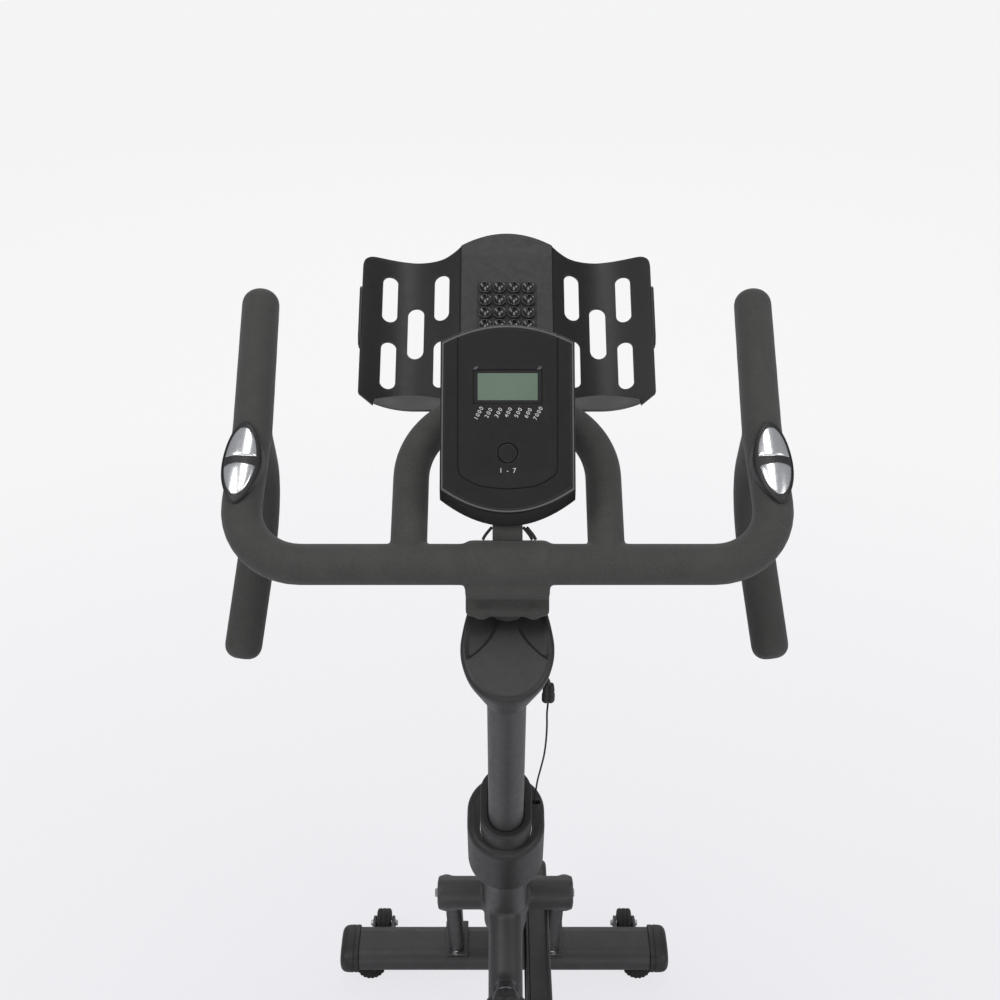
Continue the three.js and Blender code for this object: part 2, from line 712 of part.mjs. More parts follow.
// Cross-section of the plate: crowned panel, sunken wings, and side edges that turn up.
function wingHeight(x) {
  const side = Math.abs(x);
  if (side <= PANEL_HALF) return 1.5 * (1 - (side / PANEL_HALF) ** 2);
  const across = (side - PANEL_HALF) / (HOLDER_HALF_WIDTH - PANEL_HALF);
  const hollow = Math.sin(Math.PI * Math.min(1, across ** 0.75));
  return -WING_DEPTH * Math.min(1, 1.25 * hollow) - 1.5 * (1 - hollow);
}

function holderSection() {
  const stations = [];
  for (let x = -HOLDER_HALF_WIDTH; x <= HOLDER_HALF_WIDTH; x += HOLDER_HALF_WIDTH / 14) stations.push(x);
  const shape = new THREE.Shape();
  shape.setFromPoints([
    ...stations.map((x) => new THREE.Vector2(x, wingHeight(x))),
    ...stations.reverse().map((x) => new THREE.Vector2(x, wingHeight(x) - HOLDER_WALL)),
  ]);
  return runAlong(shape, -10, 200);
}

// Front view of the plate: arched middle, dipped wing tops, rounded and clipped corners.
function holderOutline() {
  const w = HOLDER_HALF_WIDTH;
  const shape = new THREE.Shape();
  shape.moveTo(-w + 22, -5);
  shape.lineTo(-w + 4, 8);
  shape.quadraticCurveTo(-w, 12, -w, 18);
  shape.lineTo(-w, 142);
  shape.quadraticCurveTo(-w, 155, -w + 12, 155);
  shape.quadraticCurveTo(-88, 141, -58, 156);
  shape.quadraticCurveTo(-49, 160, -PANEL_HALF, 169);
  shape.quadraticCurveTo(0, 195, PANEL_HALF, 169);
  shape.quadraticCurveTo(49, 160, 58, 156);
  shape.quadraticCurveTo(88, 141, w - 12, 155);
  shape.quadraticCurveTo(w, 155, w, 142);
  shape.lineTo(w, 18);
  shape.quadraticCurveTo(w, 12, w - 4, 8);
  shape.lineTo(w - 22, -5);
  shape.closePath();
  return slab(shape, -30, 20, 4);
}

function slot(x, y) {
  return slab(flatOval(SLOT_WIDTH, SLOT_LENGTH), -30, 20, 3).translate(x, y, 0);
}

function holderSlots() {
  const [inner, middle, outer] = SLOT_COLUMNS;
  const [top, centre, bottom] = SLOT_ROWS;
  const places = [[inner, top], [inner, bottom], [middle, centre], [outer, top], [outer, bottom]];
  return places.flatMap(([x, y]) => [slot(x, y), slot(-x, y)]);
}

// Bottom ledge, deepest in the middle, with a low lip along its bowed front.
function holderLedge() {
  const half = HOLDER_HALF_WIDTH - 14;
  const plan = (depth, ends) => {
    const shape = new THREE.Shape();
    shape.moveTo(-half, -WING_DEPTH - 2);
    shape.lineTo(half, -WING_DEPTH - 2);
    shape.lineTo(half, ends);
    shape.quadraticCurveTo(0, 2 * depth - ends, -half, ends);
    shape.closePath();
    return shape;
  };
  const behindLip = box(-half - 1, half + 1, -9, 9, -30, 5);
  const floor = runAlong(plan(LEDGE_DEPTH, 6), -5, -1.5, 6);
  const front = runAlong(plan(LEDGE_DEPTH, 6), -4, 6, 6);
  const tray = runAlong(plan(LEDGE_DEPTH - LIP_WALL, 2.5), -6, 8, 6);
  return join(floor, cut(front, tray, behindLip));
}

// Upright tab along each side edge, level with the plate's face.
function sideTab(side) {
  const shape = new THREE.Shape();
  shape.moveTo(TAB_SPAN[0], -TAB_DEPTH);
  shape.lineTo(TAB_SPAN[1], -TAB_DEPTH);
  shape.quadraticCurveTo(TAB_SPAN[1] + 4, -TAB_DEPTH / 2, TAB_SPAN[1], 0);
  shape.lineTo(TAB_SPAN[0] + 4, 0);
  shape.quadraticCurveTo(TAB_SPAN[0] - 4, -TAB_DEPTH / 2, TAB_SPAN[0], -TAB_DEPTH);
  shape.closePath();
  const [x0, x1] = [HOLDER_HALF_WIDTH - TAB_WALL, HOLDER_HALF_WIDTH];
  return side > 0 ? sidePlate(shape, x0, x1, 3) : sidePlate(shape, -x1, -x0, 3);
}

// Stiffening rib behind the middle panel, tapered toward the panel's arched top.
function backRib(x) {
  const shape = new THREE.Shape();
  shape.moveTo(30, -1);
  shape.lineTo(30, -HOLDER_WALL - RIB_DEPTH);
  shape.quadraticCurveTo(110, -HOLDER_WALL - RIB_DEPTH, RIB_TOP, -HOLDER_WALL + 1);
  shape.lineTo(RIB_TOP, -1);
  shape.closePath();
  return sidePlate(shape, x - RIB_WALL / 2, x + RIB_WALL / 2, 4);
}

function tabletHolder() {
  const inverse = HOLDER_FRAME.clone().invert();
  const rim = common(holderSection(), holderOutline());
  const apex = vec(0, LOOP_REACH * Math.cos(rad(LOOP_RISE)), LOOP_REACH * Math.sin(rad(LOOP_RISE)));
  apex.applyMatrix4(inverse);
  const clamp = crossBar(LOOP_RADIUS + 5, -22, 22, apex.y, apex.z, 16);
  const spine = box(-16, 16, apex.y - 14, 40, -HOLDER_WALL - 5, -1);
  const web = box(-16, 16, apex.y - 14, apex.y + 14, -HOLDER_WALL - 5, apex.z);
  const bore = innerLoop(LOOP_RADIUS + GAP + 0.3).applyMatrix4(inverse);
  const plate = cut(rim, ...holderSlots());
  const ribs = [backRib(-RIB_X), backRib(RIB_X)];
  const solid = join(plate, holderLedge(), sideTab(-1), sideTab(1), ...ribs, clamp, spine, web);
  return part("tablet_holder", cut(solid, bore), blackPlastic());
}

function suctionPad() {
  const height = CUP_ROWS * CUP_PITCH;
  const middle = CUP_FIRST_ROW - (CUP_ROWS - 1) * CUP_PITCH / 2;
  const width = CUP_COLUMNS * CUP_PITCH;
  const base = slab(roundedRect(width + 2, height + 2, 4), 1.5 + GAP, 1.5 + GAP + CUP_BASE, 2);
  const cups = [];
  for (let row = 0; row < CUP_ROWS; row += 1) {
    for (let column = 0; column < CUP_COLUMNS; column += 1) {
      const cup = upright(CUP_RADIUS - 1.5, 1.5 + CUP_BASE, 1.5 + CUP_BASE + 3.5, 6, CUP_RADIUS);
      const x = (column - (CUP_COLUMNS - 1) / 2) * CUP_PITCH;
      cups.push(cup.translate(x, CUP_FIRST_ROW - row * CUP_PITCH, 0));
    }
  }
  return part("suction_pad", join(base.translate(0, middle, 0), ...cups), glossBlack());
}

// ---------------------------------------------------------------- handlebar post and its cover

const NECK = [30, 40];              // bar's foot that stands in the post
const CONNECTOR_AT = [POST_WIDTH / 2 + 22.5, 12, 205];
const CONNECTOR_LENGTH = 32;
const CONNECTOR_RADIUS = 4.5;
const LEAD_RADIUS = 2;
const WIRE_RADIUS = 1;
const WIRE_OUT = 15;                // slot in the shroud for the wire: beyond the post and forward
const WIRE_FORWARD = 15;
const WIRE_SLOT = [9, 5];
const SEAT_PIN_AT = 335;            // pull pin, up the seat tube
const PIN_RADIUS = 4.7;
const PIN_LIFT = 30;                // pin knob's face from the tube wall

const boreWidth = POST_WIDTH + 2 * POST_FIT;
const boreDepth = POST_DEPTH + 2 * POST_FIT;
const grownOval = (grow) => flatOval(boreWidth + 2 * grow, boreDepth + 2 * grow);
const tubeInner = BUSH_WALL + GAP;
const tubeOuter = BUSH_WALL + GAP + TUBE_WALL;
const tubeHalfDepth = boreDepth / 2 + tubeOuter;

function postInside(gap) {
  const shrink = 2 * (POST_WALL + gap);
  return flatOval(POST_WIDTH - shrink, POST_DEPTH - shrink);
}

// Flat-oval post with adjustment holes in its front (face 1) or back (face -1).
function ovalPost(z0, z1, holes, face) {
  const outside = slab(flatOval(POST_WIDTH, POST_DEPTH), z0, z1, OVAL_STEPS);
  const hollow = slab(postInside(0), z0 - 1, z1 + 1, OVAL_STEPS);
  const drills = holes.map((z) => {
    const drill = upright(PIN_HOLE, 10, 60, 8).rotateX(-face * Math.PI / 2);
    return drill.translate(0, 0, z);
  });
  return cut(outside, hollow, ...drills);
}

function handlebarPost() {
  const holes = [-3, -2, -1, 0, 1, 2].map((k) => -PIN_AT - k * PIN_PITCH);
  return part("handlebar_post", ovalPost(-HEAD_TOP - POST_INSERT, -POST_TOP - 14, holes, 1), blackPaint());
}

// Foot of the bar's sleeve: a short neck and the plug that fits inside the post.
function neck() {
  const foot = slab(flatOval(...NECK), -POST_TOP - 16, -30, OVAL_STEPS);
  const plug = slab(postInside(GAP), -92, -62.4, OVAL_STEPS);
  return join(foot, plug).applyMatrix4(ALONG_POST);
}

const SHIELD_FALL = 30;             // degrees that the cover's face falls toward the rider
const SHIELD_AT = [12, -52];        // origin of the face's outline from the bar, along and up
const SHIELD_EDGE = [
  [0, -46], [16, -43], [27, -32], [32, -14], [35, 2], [39, 20],
  [41.5, 38], [40, 54], [34, 70], [24, 82], [12, 88.5], [0, 90],
];
const SHIELD_POINTS = 30;
const CHEEK_DEPTH = 2.3;            // sunken cheeks on both sides of the cover's tongue
const TONGUE_HALF = [9, 28];        // tongue's half width at its narrow and wide end
const FOOT_WALL = 3;                // cover's wall at its foot

// Depth of the cheeks at a point of the face: nothing on the flared tongue or at the upper end.
function cheekDepth(x, q) {
  const share = Math.min(1, Math.max(0, (q + 30) / 70));
  const edge = THREE.MathUtils.lerp(...TONGUE_HALF, share ** 1.9);
  const beside = THREE.MathUtils.clamp((Math.abs(x) - edge) / 2.6, 0, 1);
  const fade = THREE.MathUtils.clamp((42 - q) / 9, 0, 1);
  return share > 0 ? CHEEK_DEPTH * beside * fade : 0;
}

// Ring of the cover's face, drawn in smaller by inset, lowered by drop and by a share of the cheeks.
function shieldRing(inset, drop, cheeks = 0) {
  const right = SHIELD_EDGE.map(([x, q]) => vec(x, q, 0));
  const left = SHIELD_EDGE.slice(1, -1).reverse().map(([x, q]) => vec(-x, q, 0));
  const rim = new THREE.CatmullRomCurve3([...right, ...left], true);
  const middle = 22;
  return rim.getPoints(SHIELD_POINTS).slice(0, SHIELD_POINTS).map((p) => {
    const x = p.x * (1 - inset / 42);
    const q = middle + (p.y - middle) * (1 - inset / 68);
    const fall = rad(SHIELD_FALL);
    const down = drop + cheeks * cheekDepth(x, q);
    const y = SHIELD_AT[0] - q * Math.cos(fall) + down * Math.sin(fall);
    return vec(x, y, SHIELD_AT[1] - q * Math.sin(fall) - down * Math.cos(fall));
  });
}

// Rounded-rectangle ring round the post where the cover ends.
function footRing(grow, down) {
  const points = [];
  for (let i = 0; i < SHIELD_POINTS; i += 1) {
    const angle = (2 * Math.PI * i) / SHIELD_POINTS;
    const [s, c] = [Math.sin(angle), Math.cos(angle)];
    const reach = (Math.abs(s) ** 2.6 + Math.abs(c) ** 2.6) ** (-1 / 2.6);
    const halfX = POST_WIDTH / 2 + FOOT_WALL + grow;
    const halfY = POST_DEPTH / 2 + FOOT_WALL + grow;
    points.push(vec(halfX * reach * s, halfY * reach * c, -down));
  }
  return points.map((p) => p.applyMatrix4(ALONG_POST));
}

function postHeadCover() {
  const wall = shieldRing(1, 16);
  const foot = footRing(2, COVER_FOOT);
  const waist = wall.map((p, i) => p.clone().lerp(foot[i], 0.45));
  const face = [shieldRing(32, 0), shieldRing(22, 0, 1), shieldRing(13, 0, 1), shieldRing(7, 0, 1)];
  const rim = [shieldRing(4.5, 0, 0.4), shieldRing(1, 1.5), shieldRing(0, 5)];
  const shell = loft([...face, ...rim, wall, waist, foot]);
  const fit = ([width, depth]) => flatOval(width + 2 * GAP, depth + 2 * GAP);
  const bore = slab(fit([POST_WIDTH, POST_DEPTH]), -COVER_FOOT - 30, -POST_TOP - 13.5, OVAL_STEPS);
  const neckHole = slab(fit(NECK), -POST_TOP - 30, -20, OVAL_STEPS);
  const leadHole = connectorLead(LEAD_RADIUS + GAP);
  const holes = [bore, neckHole, leadHole].map((hole) => hole.applyMatrix4(ALONG_POST));
  return part("post_head_cover", cut(shell, ...holes), blackPlastic());
}

// Cable from the connector up into the cover's wall.
function connectorLead(radius) {
  const [x, y, down] = CONNECTOR_AT;
  const rise = [[0, 0, -3], [-1.5, -1, 8], [-9, -4, 24], [-17, -6, 36], [-19, -6.5, 44]];
  return cord(rise.map(([dx, dy, up]) => vec(x + dx, y + dy, up - down)), radius, 7, 8);
}

function wireConnector() {
  const [x, y, down] = CONNECTOR_AT;
  const r = CONNECTOR_RADIUS;
  const body = turned([
    [0, 0], [r - 1.5, 0], [r, 2], [r, 13], [r - 0.8, 14], [r - 0.8, CONNECTOR_LENGTH - 8],
    [2, CONNECTOR_LENGTH - 1], [0, CONNECTOR_LENGTH - 1],
  ], 14);
  const plug = body.translate(x, y, -down - CONNECTOR_LENGTH);
  return part("wire_connector", join(plug, connectorLead(LEAD_RADIUS)), blackRubber());
}

// Sensor wire from the connector down into the shroud, beside the collar: distance beyond the
// post, distance forward, and share of the way down.
const WIRE_ROUTE = [
  [22.5, 12, 0], [22.5, 13, 0.03], [22.2, 14.5, 0.11], [22.8, 15, 0.2], [22.6, 15, 0.31], [21.3, 15, 0.42],
  [18.4, 15, 0.53], [15.6, 15, 0.62], [14, 15, 0.72], [13.4, 15, 0.81], [13.4, 15, 1],
];
const WIRE_INSIDE = 48;             // wire's end below the head tube's top

function sensorWire() {
  const start = CONNECTOR_AT[2] + CONNECTOR_LENGTH + 0.4;
  const length = HEAD_TOP + WIRE_INSIDE - start;
  const points = WIRE_ROUTE.map(([out, y, share]) => vec(POST_WIDTH / 2 + out, y, -start - share * length));
  return part("sensor_wire", cord(points, WIRE_RADIUS, 20, 6), blackRubber());
}

// Bushing that lines a frame tube, with the tall rim that shows round the post.
function collar(name, rimStart, rimEnd, sleeveEnd, pinAt) {
  const bottom = Math.min(sleeveEnd, rimEnd);
  const sleeve = slab(grownOval(BUSH_WALL), sleeveEnd, rimStart + 1, OVAL_STEPS);
  const rim = new THREE.ExtrudeGeometry(grownOval(COLLAR_RIM - 1.5), {
    depth: rimEnd - rimStart - 3, bevelEnabled: true, bevelThickness: 1.5, bevelSize: 1.5,
    bevelSegments: 1, curveSegments: OVAL_STEPS,
  }).translate(0, 0, rimStart + 1.5);
  const bore = slab(grownOval(0), bottom - 10, rimEnd + 10, OVAL_STEPS);
  const drill = crossBar(PIN_RADIUS + 1, -60, 60, 0, 0, 12).rotateZ(Math.PI / 2).translate(0, 0, pinAt);
  return part(name, cut(join(sleeve, rim), bore, drill), blackPlastic());
}

function headTubeShroud() {
  const shroudWidth = POST_WIDTH + 2 * SHROUD_SIDE;
  const shroudDepth = POST_DEPTH + 2 * SHROUD_END;
  const size = [shroudWidth - 8, shroudDepth - 8];
  const outside = new THREE.ExtrudeGeometry(flatOval(...size), {
    depth: SHROUD_LENGTH - 8, bevelEnabled: true, bevelThickness: 4, bevelSize: 4,
    bevelSegments: 2, curveSegments: 7,
  }).translate(0, 0, -HEAD_TOP + 2 - SHROUD_LENGTH + 4);
  const inner = [shroudWidth - 2 * SHROUD_WALL, shroudDepth - 2 * SHROUD_WALL];
  const hollow = slab(flatOval(...inner), -HEAD_TOP - SHROUD_LENGTH - 10, -HEAD_TOP - SHROUD_WALL, 7);
  const mouth = slab(grownOval(COLLAR_RIM + GAP), -HEAD_TOP - 20, -HEAD_TOP + 20, OVAL_STEPS);
  const wireSlot = slab(flatOval(...WIRE_SLOT), -HEAD_TOP - 20, -HEAD_TOP + 20, 4);
  const shell = cut(outside, hollow, mouth, wireSlot.translate(POST_WIDTH / 2 + WIRE_OUT, WIRE_FORWARD, 0));
  const rib = (from, to) => box(-1.5, 1.5, from, to, -HEAD_TOP - SHROUD_LENGTH + 10, -HEAD_TOP - 1);
  const wall = shroudDepth / 2 - 1;
  const seat = tubeHalfDepth + GAP;
  return part("head_tube_shroud", join(shell, rib(seat, wall), rib(-wall, -seat)), blackPlastic());
}

// Pull-pin knob along +z with its pin inward; z = 0 is the tube's outer wall.
function pinKnob(name) {
  const reach = -(BUSH_WALL + GAP + TUBE_WALL + POST_FIT) + 0.5;
  const pin = upright(PIN_RADIUS, reach, PIN_LIFT + 2, 12);
  const head = turned([
    [0, PIN_LIFT], [9, PIN_LIFT], [13, PIN_LIFT + 4], [16, PIN_LIFT + 16], [19, PIN_LIFT + 24],
    [19, PIN_LIFT + 30], [15, PIN_LIFT + 35], [0, PIN_LIFT + 37],
  ], 18);
  const flutes = aroundAxis(upright(5, PIN_LIFT - 2, PIN_LIFT + 50, 6), 6, 21.5);
  return part(name, join(pin, cut(head, ...flutes)), blackPlastic());
}

const pinNut = () => ring(PIN_RADIUS + GAP, 12, -3, PIN_LIFT - 9, 16);

// ---------------------------------------------------------------- frame

const postPoint = (down) => vec(0, 0, -down).applyMatrix4(POST_FRAME);
const seatPoint = (up) => vec(0, 0, up).applyMatrix4(SEAT_FRAME);
const CROWN_BELOW = 198;            // fork crown below the head tube's top
const CROWN_RADIUS = 20;
const PLATE_THICK = 5;
const STABILIZER_TOP = STABILIZER_Z + STABILIZER_HEIGHT / 2;
const BRAKE_SLEEVE = [30, 140];     // along the brake rod from its knob
const BEARING_FIT = 0.3;

const brakeRun = [HUB[0] - BRAKE_KNOB[0], HUB[1] - BRAKE_KNOB[1]];
const brakeReach = Math.hypot(...brakeRun);
const brakeLean = THREE.MathUtils.radToDeg(Math.atan2(brakeRun[0], -brakeRun[1]));
// Local frame of the brake: z points back up the rod from the flywheel, origin at the knob's foot.
const BRAKE_FRAME = leaned(brakeLean, BRAKE_KNOB[0], BRAKE_KNOB[1]);

// Welded plate that sits on a stabilizer.
function footPlate(x0, x1, y) {
  return box(x0, x1, y - 32, y + 32, STABILIZER_TOP + GAP, STABILIZER_TOP + PLATE_THICK);
}

function forkLeg(side) {
  const crown = postPoint(HEAD_TOP + CROWN_BELOW);
  const x = side * FORK_X;
  const corners = [
    vec(x, crown.y, crown.z), vec(x, HUB[0], HUB[1]), vec(x, FRONT_FOOT_Y, STABILIZER_TOP + 2),
  ];
  const leg = sweep(flatOval(FORK_WIDTH, FORK_DEPTH), new BentPath(corners, [120], 4), 4);
  const top = crossBar(FORK_DEPTH / 2, x - FORK_WIDTH / 2, x + FORK_WIDTH / 2, crown.y, crown.z, 16);
  const below = box(x - 60, x + 60, 0, 900, -100, STABILIZER_TOP + GAP);
  return cut(join(leg, top, footPlate(x - 17, x + 17, FRONT_FOOT_Y)), below);
}

function beam() {
  const rise = (y) => vec(0, y, beamHeight(y));
  const line = new BentPath([rise(BEAM_FRONT[0]), rise(BEAM_REAR[0] - 45)], []);
  const tube = sweep(flatOval(BEAM_WIDTH, BEAM_DEPTH), line, OVAL_STEPS);
  const below = box(-80, 80, -900, -300, -100, STABILIZER_TOP + GAP);
  return cut(join(tube, footPlate(-45, 45, REAR_FOOT_Y)), below);
}

// Triangular gusset between the seat tube and the beam, behind the crank.
function gusset() {
  const foot = seatPoint(0);
  const shape = new THREE.Shape();
  shape.moveTo(foot.y, foot.z);
  shape.lineTo(foot.y - 110, beamHeight(foot.y - 110));
  shape.quadraticCurveTo(foot.y - 70, foot.z + 20, ...[seatPoint(150).y - 20, seatPoint(150).z]);
  shape.closePath();
  return sidePlate(shape, -3, 3, 5);
}

function mainFrame() {
  const tube = (grow, z0, z1, frame) => slab(grownOval(grow), z0, z1, OVAL_STEPS).applyMatrix4(frame);
  const headTube = tube(tubeOuter, -HEAD_TOP - HEAD_LENGTH, -HEAD_TOP, POST_FRAME);
  const seatTube = tube(tubeOuter, 0, SEAT_TUBE_LENGTH, SEAT_FRAME);
  const crown = postPoint(HEAD_TOP + CROWN_BELOW);
  const crownTube = crossBar(CROWN_RADIUS, -FORK_X, FORK_X, crown.y, crown.z, 18);
  const shell = crossBar(SHELL_RADIUS, -SHELL_HALF, SHELL_HALF, CRANK[0], CRANK[1], 20);
  const sleeve = upright(11, -BRAKE_SLEEVE[1], -BRAKE_SLEEVE[0], 16).applyMatrix4(BRAKE_FRAME);
  const quarter = Math.PI / 2;
  const onPost = (piece, y) => piece.rotateX(-quarter).translate(0, y, -PIN_AT).applyMatrix4(POST_FRAME);
  const onSeat = (piece, y) => piece.rotateX(quarter).translate(0, y, SEAT_PIN_AT).applyMatrix4(SEAT_FRAME);
  const bosses = [-60, 60].map((y) => crossBar(7, 0, SHELL_HALF, y, beamHeight(y) - 12, 12));
  const tubes = join(
    beam(), headTube, seatTube, crownTube, shell, sleeve, gusset(),
    forkLeg(-1), forkLeg(1), onPost(pinNut(), tubeHalfDepth), onSeat(pinNut(), -tubeHalfDepth), ...bosses,
  );
  const headBore = tube(tubeInner, -HEAD_TOP - HEAD_LENGTH - 40, -HEAD_TOP + 10, POST_FRAME);
  const seatBore = tube(tubeInner, 60, SEAT_TUBE_LENGTH + 10, SEAT_FRAME);
  const bearing = crossBar(SPINDLE_RADIUS + BEARING_FIT, -60, 60, CRANK[0], CRANK[1], 16);
  const axleHole = crossBar(AXLE_RADIUS + GAP, -120, 120, HUB[0], HUB[1], 20);
  const rodBore = upright(ROD_RADIUS + GAP, -200, 10, 16).applyMatrix4(BRAKE_FRAME);
  const pinBore = () => upright(PIN_RADIUS + GAP, 10, 200, 16);
  const pinBores = [onPost(pinBore(), 0), onSeat(pinBore(), 0)];
  const solid = cut(tubes, headBore, seatBore, bearing, axleHole, rodBore, ...pinBores);
  return part("main_frame", solid, blackPaint());
}

// ---------------------------------------------------------------- stabilizers, feet and wheels

const FOOT_X = 205;
const WHEEL_X = 188;
const WHEEL_WIDTH = 22;
const WHEEL_OUT = STABILIZER_WIDTH / 2 + WHEEL_RADIUS + 3;
const WHEEL_Z = 32;
const CHEEK_RADIUS = 11;
const WHEEL_AXLE_RADIUS = 4;
const STABILIZER_WALL = 2.5;
const FOOT_STEM = 5;

// Two cheeks and the axle that hold a transport wheel ahead of the bar.
function wheelFork(side, y) {
  const axleY = y + WHEEL_OUT;
  const shape = new THREE.Shape();
  shape.moveTo(y + 10, STABILIZER_Z - 8);
  shape.lineTo(axleY, WHEEL_Z - CHEEK_RADIUS);
  shape.absarc(axleY, WHEEL_Z, CHEEK_RADIUS, -Math.PI / 2, Math.PI / 2);
  shape.lineTo(y + 10, STABILIZER_Z + 12);
  shape.closePath();
  const middle = side * WHEEL_X;
  const cheeks = [-1, 1].map((cheek) => {
    const x = middle + cheek * (WHEEL_WIDTH / 2 + 3.5);
    return sidePlate(shape, x - 2, x + 2, 3);
  });
  const half = WHEEL_WIDTH / 2 + 3;
  return [...cheeks, crossBar(WHEEL_AXLE_RADIUS, middle - half, middle + half, axleY, WHEEL_Z, 12)];
}

// Hollow flat-oval floor bar; the front one carries the transport wheels.
function stabilizer(name, y, wheels) {
  const end = STABILIZER_SPAN / 2;
  const bar = sidePlate(flatOval(STABILIZER_WIDTH, STABILIZER_HEIGHT), -end, end, OVAL_STEPS);
  const inside = flatOval(STABILIZER_WIDTH - 2 * STABILIZER_WALL, STABILIZER_HEIGHT - 2 * STABILIZER_WALL);
  const hollow = sidePlate(inside, -end - 1, end + 1, OVAL_STEPS);
  const forks = wheels ? [...wheelFork(-1, y), ...wheelFork(1, y)] : [];
  const holes = [-1, 1].map((side) => {
    return upright(FOOT_STEM + GAP, 0, STABILIZER_Z, 14).translate(side * FOOT_X, y, 0);
  });
  const solid = join(bar.translate(0, y, STABILIZER_Z), ...forks);
  return part(name, cut(solid, hollow.translate(0, y, STABILIZER_Z), ...holes), blackPaint());
}

function transportWheel(side, label) {
  const r = WHEEL_RADIUS;
  const w = WHEEL_WIDTH / 2 - GAP;
  const bore = WHEEL_AXLE_RADIUS + GAP;
  const profile = [[bore, -w], [r - 3, -w], [r, -w + 4], [r, w - 4], [r - 3, w], [bore, w], [bore, -w]];
  const tyre = layAcross(turned(profile, 16), FRONT_FOOT_Y + WHEEL_OUT, WHEEL_Z);
  return part(`transport_wheel_${label}`, tyre.translate(side * WHEEL_X, 0, 0), blackRubber());
}

function endCap(name, side, y) {
  const root = side * (STABILIZER_SPAN / 2 + GAP);
  const size = (grow) => [STABILIZER_WIDTH / 2 + grow, STABILIZER_HEIGHT / 2 + grow];
  const outline = (grow, x) => {
    const [halfY, halfZ] = size(grow);
    return ovalRing(halfY, halfZ, 0, 18, 2.8).map((p) => vec(x, y + p.x, STABILIZER_Z + p.y));
  };
  const rings = [[2.5, 0], [3, 4], [2.5, CAP_LENGTH - 10], [-1, CAP_LENGTH - 3], [-6, CAP_LENGTH]];
  return part(name, loft(rings.map(([grow, out]) => outline(grow, root + side * out))), blackPlastic());
}

function levelingFoot(name, side, y) {
  const shoulder = STABILIZER_CLEAR - 2;
  const profile = [
    [0, 0], [FOOT_RADIUS - 2, 0], [FOOT_RADIUS, 2], [FOOT_RADIUS, 10], [FOOT_RADIUS - 4, 15],
    [9, 17], [9, shoulder], [FOOT_STEM, shoulder], [FOOT_STEM, shoulder + 18], [0, shoulder + 18],
  ];
  return part(name, turned(profile, 12).translate(side * FOOT_X, y, 0), blackRubber());
}

// ---------------------------------------------------------------- flywheel, cranks and belt

function flywheel() {
  const r = FLYWHEEL_RADIUS;
  const rim = FLYWHEEL_RIM / 2;
  const web = FLYWHEEL_WEB / 2;
  const bore = AXLE_RADIUS + GAP;
  const hubEnd = BELT_NEAR - PULLEY_FLANGE - 0.2;
  const disk = turned([
    [bore, -FORK_X + FORK_WIDTH / 2 + GAP], [13, -FORK_X + FORK_WIDTH / 2 + GAP], [13, -26],
    [28, -web], [r - 34, -web], [r - 30, -rim], [r - 2, -rim], [r, 2 - rim], [r, rim - 2], [r - 2, rim],
    [r - 30, rim], [r - 34, web], [28, web], [24, hubEnd], [bore, hubEnd],
    [bore, -FORK_X + FORK_WIDTH / 2 + GAP],
  ], 26);
  const holes = aroundAxis(upright(20, -20, 20, 8), 6, 86);
  return part("flywheel", layAcross(cut(disk, ...holes), HUB[0], HUB[1]), castIron());
}

function flywheelPulley() {
  const near = BELT_NEAR;
  const far = BELT_FAR;
  const flange = PULLEY_FLANGE;
  const r = SMALL_PULLEY;
  const end = FORK_X - FORK_WIDTH / 2 - GAP;
  const bore = AXLE_RADIUS + GAP;
  const wheel = turned([
    [bore, near - flange], [r + 3, near - flange], [r + 3, near], [r, near], [r, far], [r + 3, far],
    [r + 3, far + flange], [13, far + 2], [12, end], [bore, end], [bore, near - flange],
  ], 18);
  return part("flywheel_pulley", layAcross(wheel, HUB[0], HUB[1]), alloy());
}

function flywheelAxle() {
  const outer = FORK_X + FORK_WIDTH / 2;
  const rod = crossBar(AXLE_RADIUS, -outer - 14, outer + 14, HUB[0], HUB[1], 20);
  const nut = (side) => {
    const hex = new THREE.CylinderGeometry(11, 11, 9, 6).rotateZ(-Math.PI / 2);
    return hex.translate(side * (outer + GAP + 4.5), HUB[0], HUB[1]);
  };
  return part("flywheel_axle", join(rod, nut(-1), nut(1)), bareSteel());
}

function crankSpindle() {
  const end = CRANK_X + 4;
  return part("crank_spindle", crossBar(SPINDLE_RADIUS, -end, end, CRANK[0], CRANK[1], 16), bareSteel());
}

function crankPulley() {
  const near = BELT_NEAR;
  const far = BELT_FAR;
  const r = BIG_PULLEY;
  const bore = SPINDLE_RADIUS + GAP;
  const wheel = turned([
    [bore, near - 3], [22, near - 3], [24, BELT_X - 2], [r - 10, BELT_X - 2], [r - 8, near], [r, near],
    [r, far], [r - 8, far], [r - 10, BELT_X + 2], [24, BELT_X + 2], [22, far + 2], [bore, far + 2],
    [bore, near - 3],
  ], 22);
  const holes = aroundAxis(upright(17, 0, 90, 8), 5, 54);
  return part("crank_pulley", layAcross(cut(wheel, ...holes), CRANK[0], CRANK[1]), alloy());
}

// Outline of a loop round two circles, from the first at (y, z) to the second.
function loopOutline([ay, az], ra, [by, bz], rb) {
  const toward = Math.atan2(bz - az, by - ay);
  const spread = Math.acos((ra - rb) / Math.hypot(by - ay, bz - az));
  const shape = new THREE.Shape();
  shape.absarc(ay, az, ra, toward + spread, toward - spread + 2 * Math.PI);
  shape.absarc(by, bz, rb, toward - spread, toward + spread);
  shape.closePath();
  return shape;
}

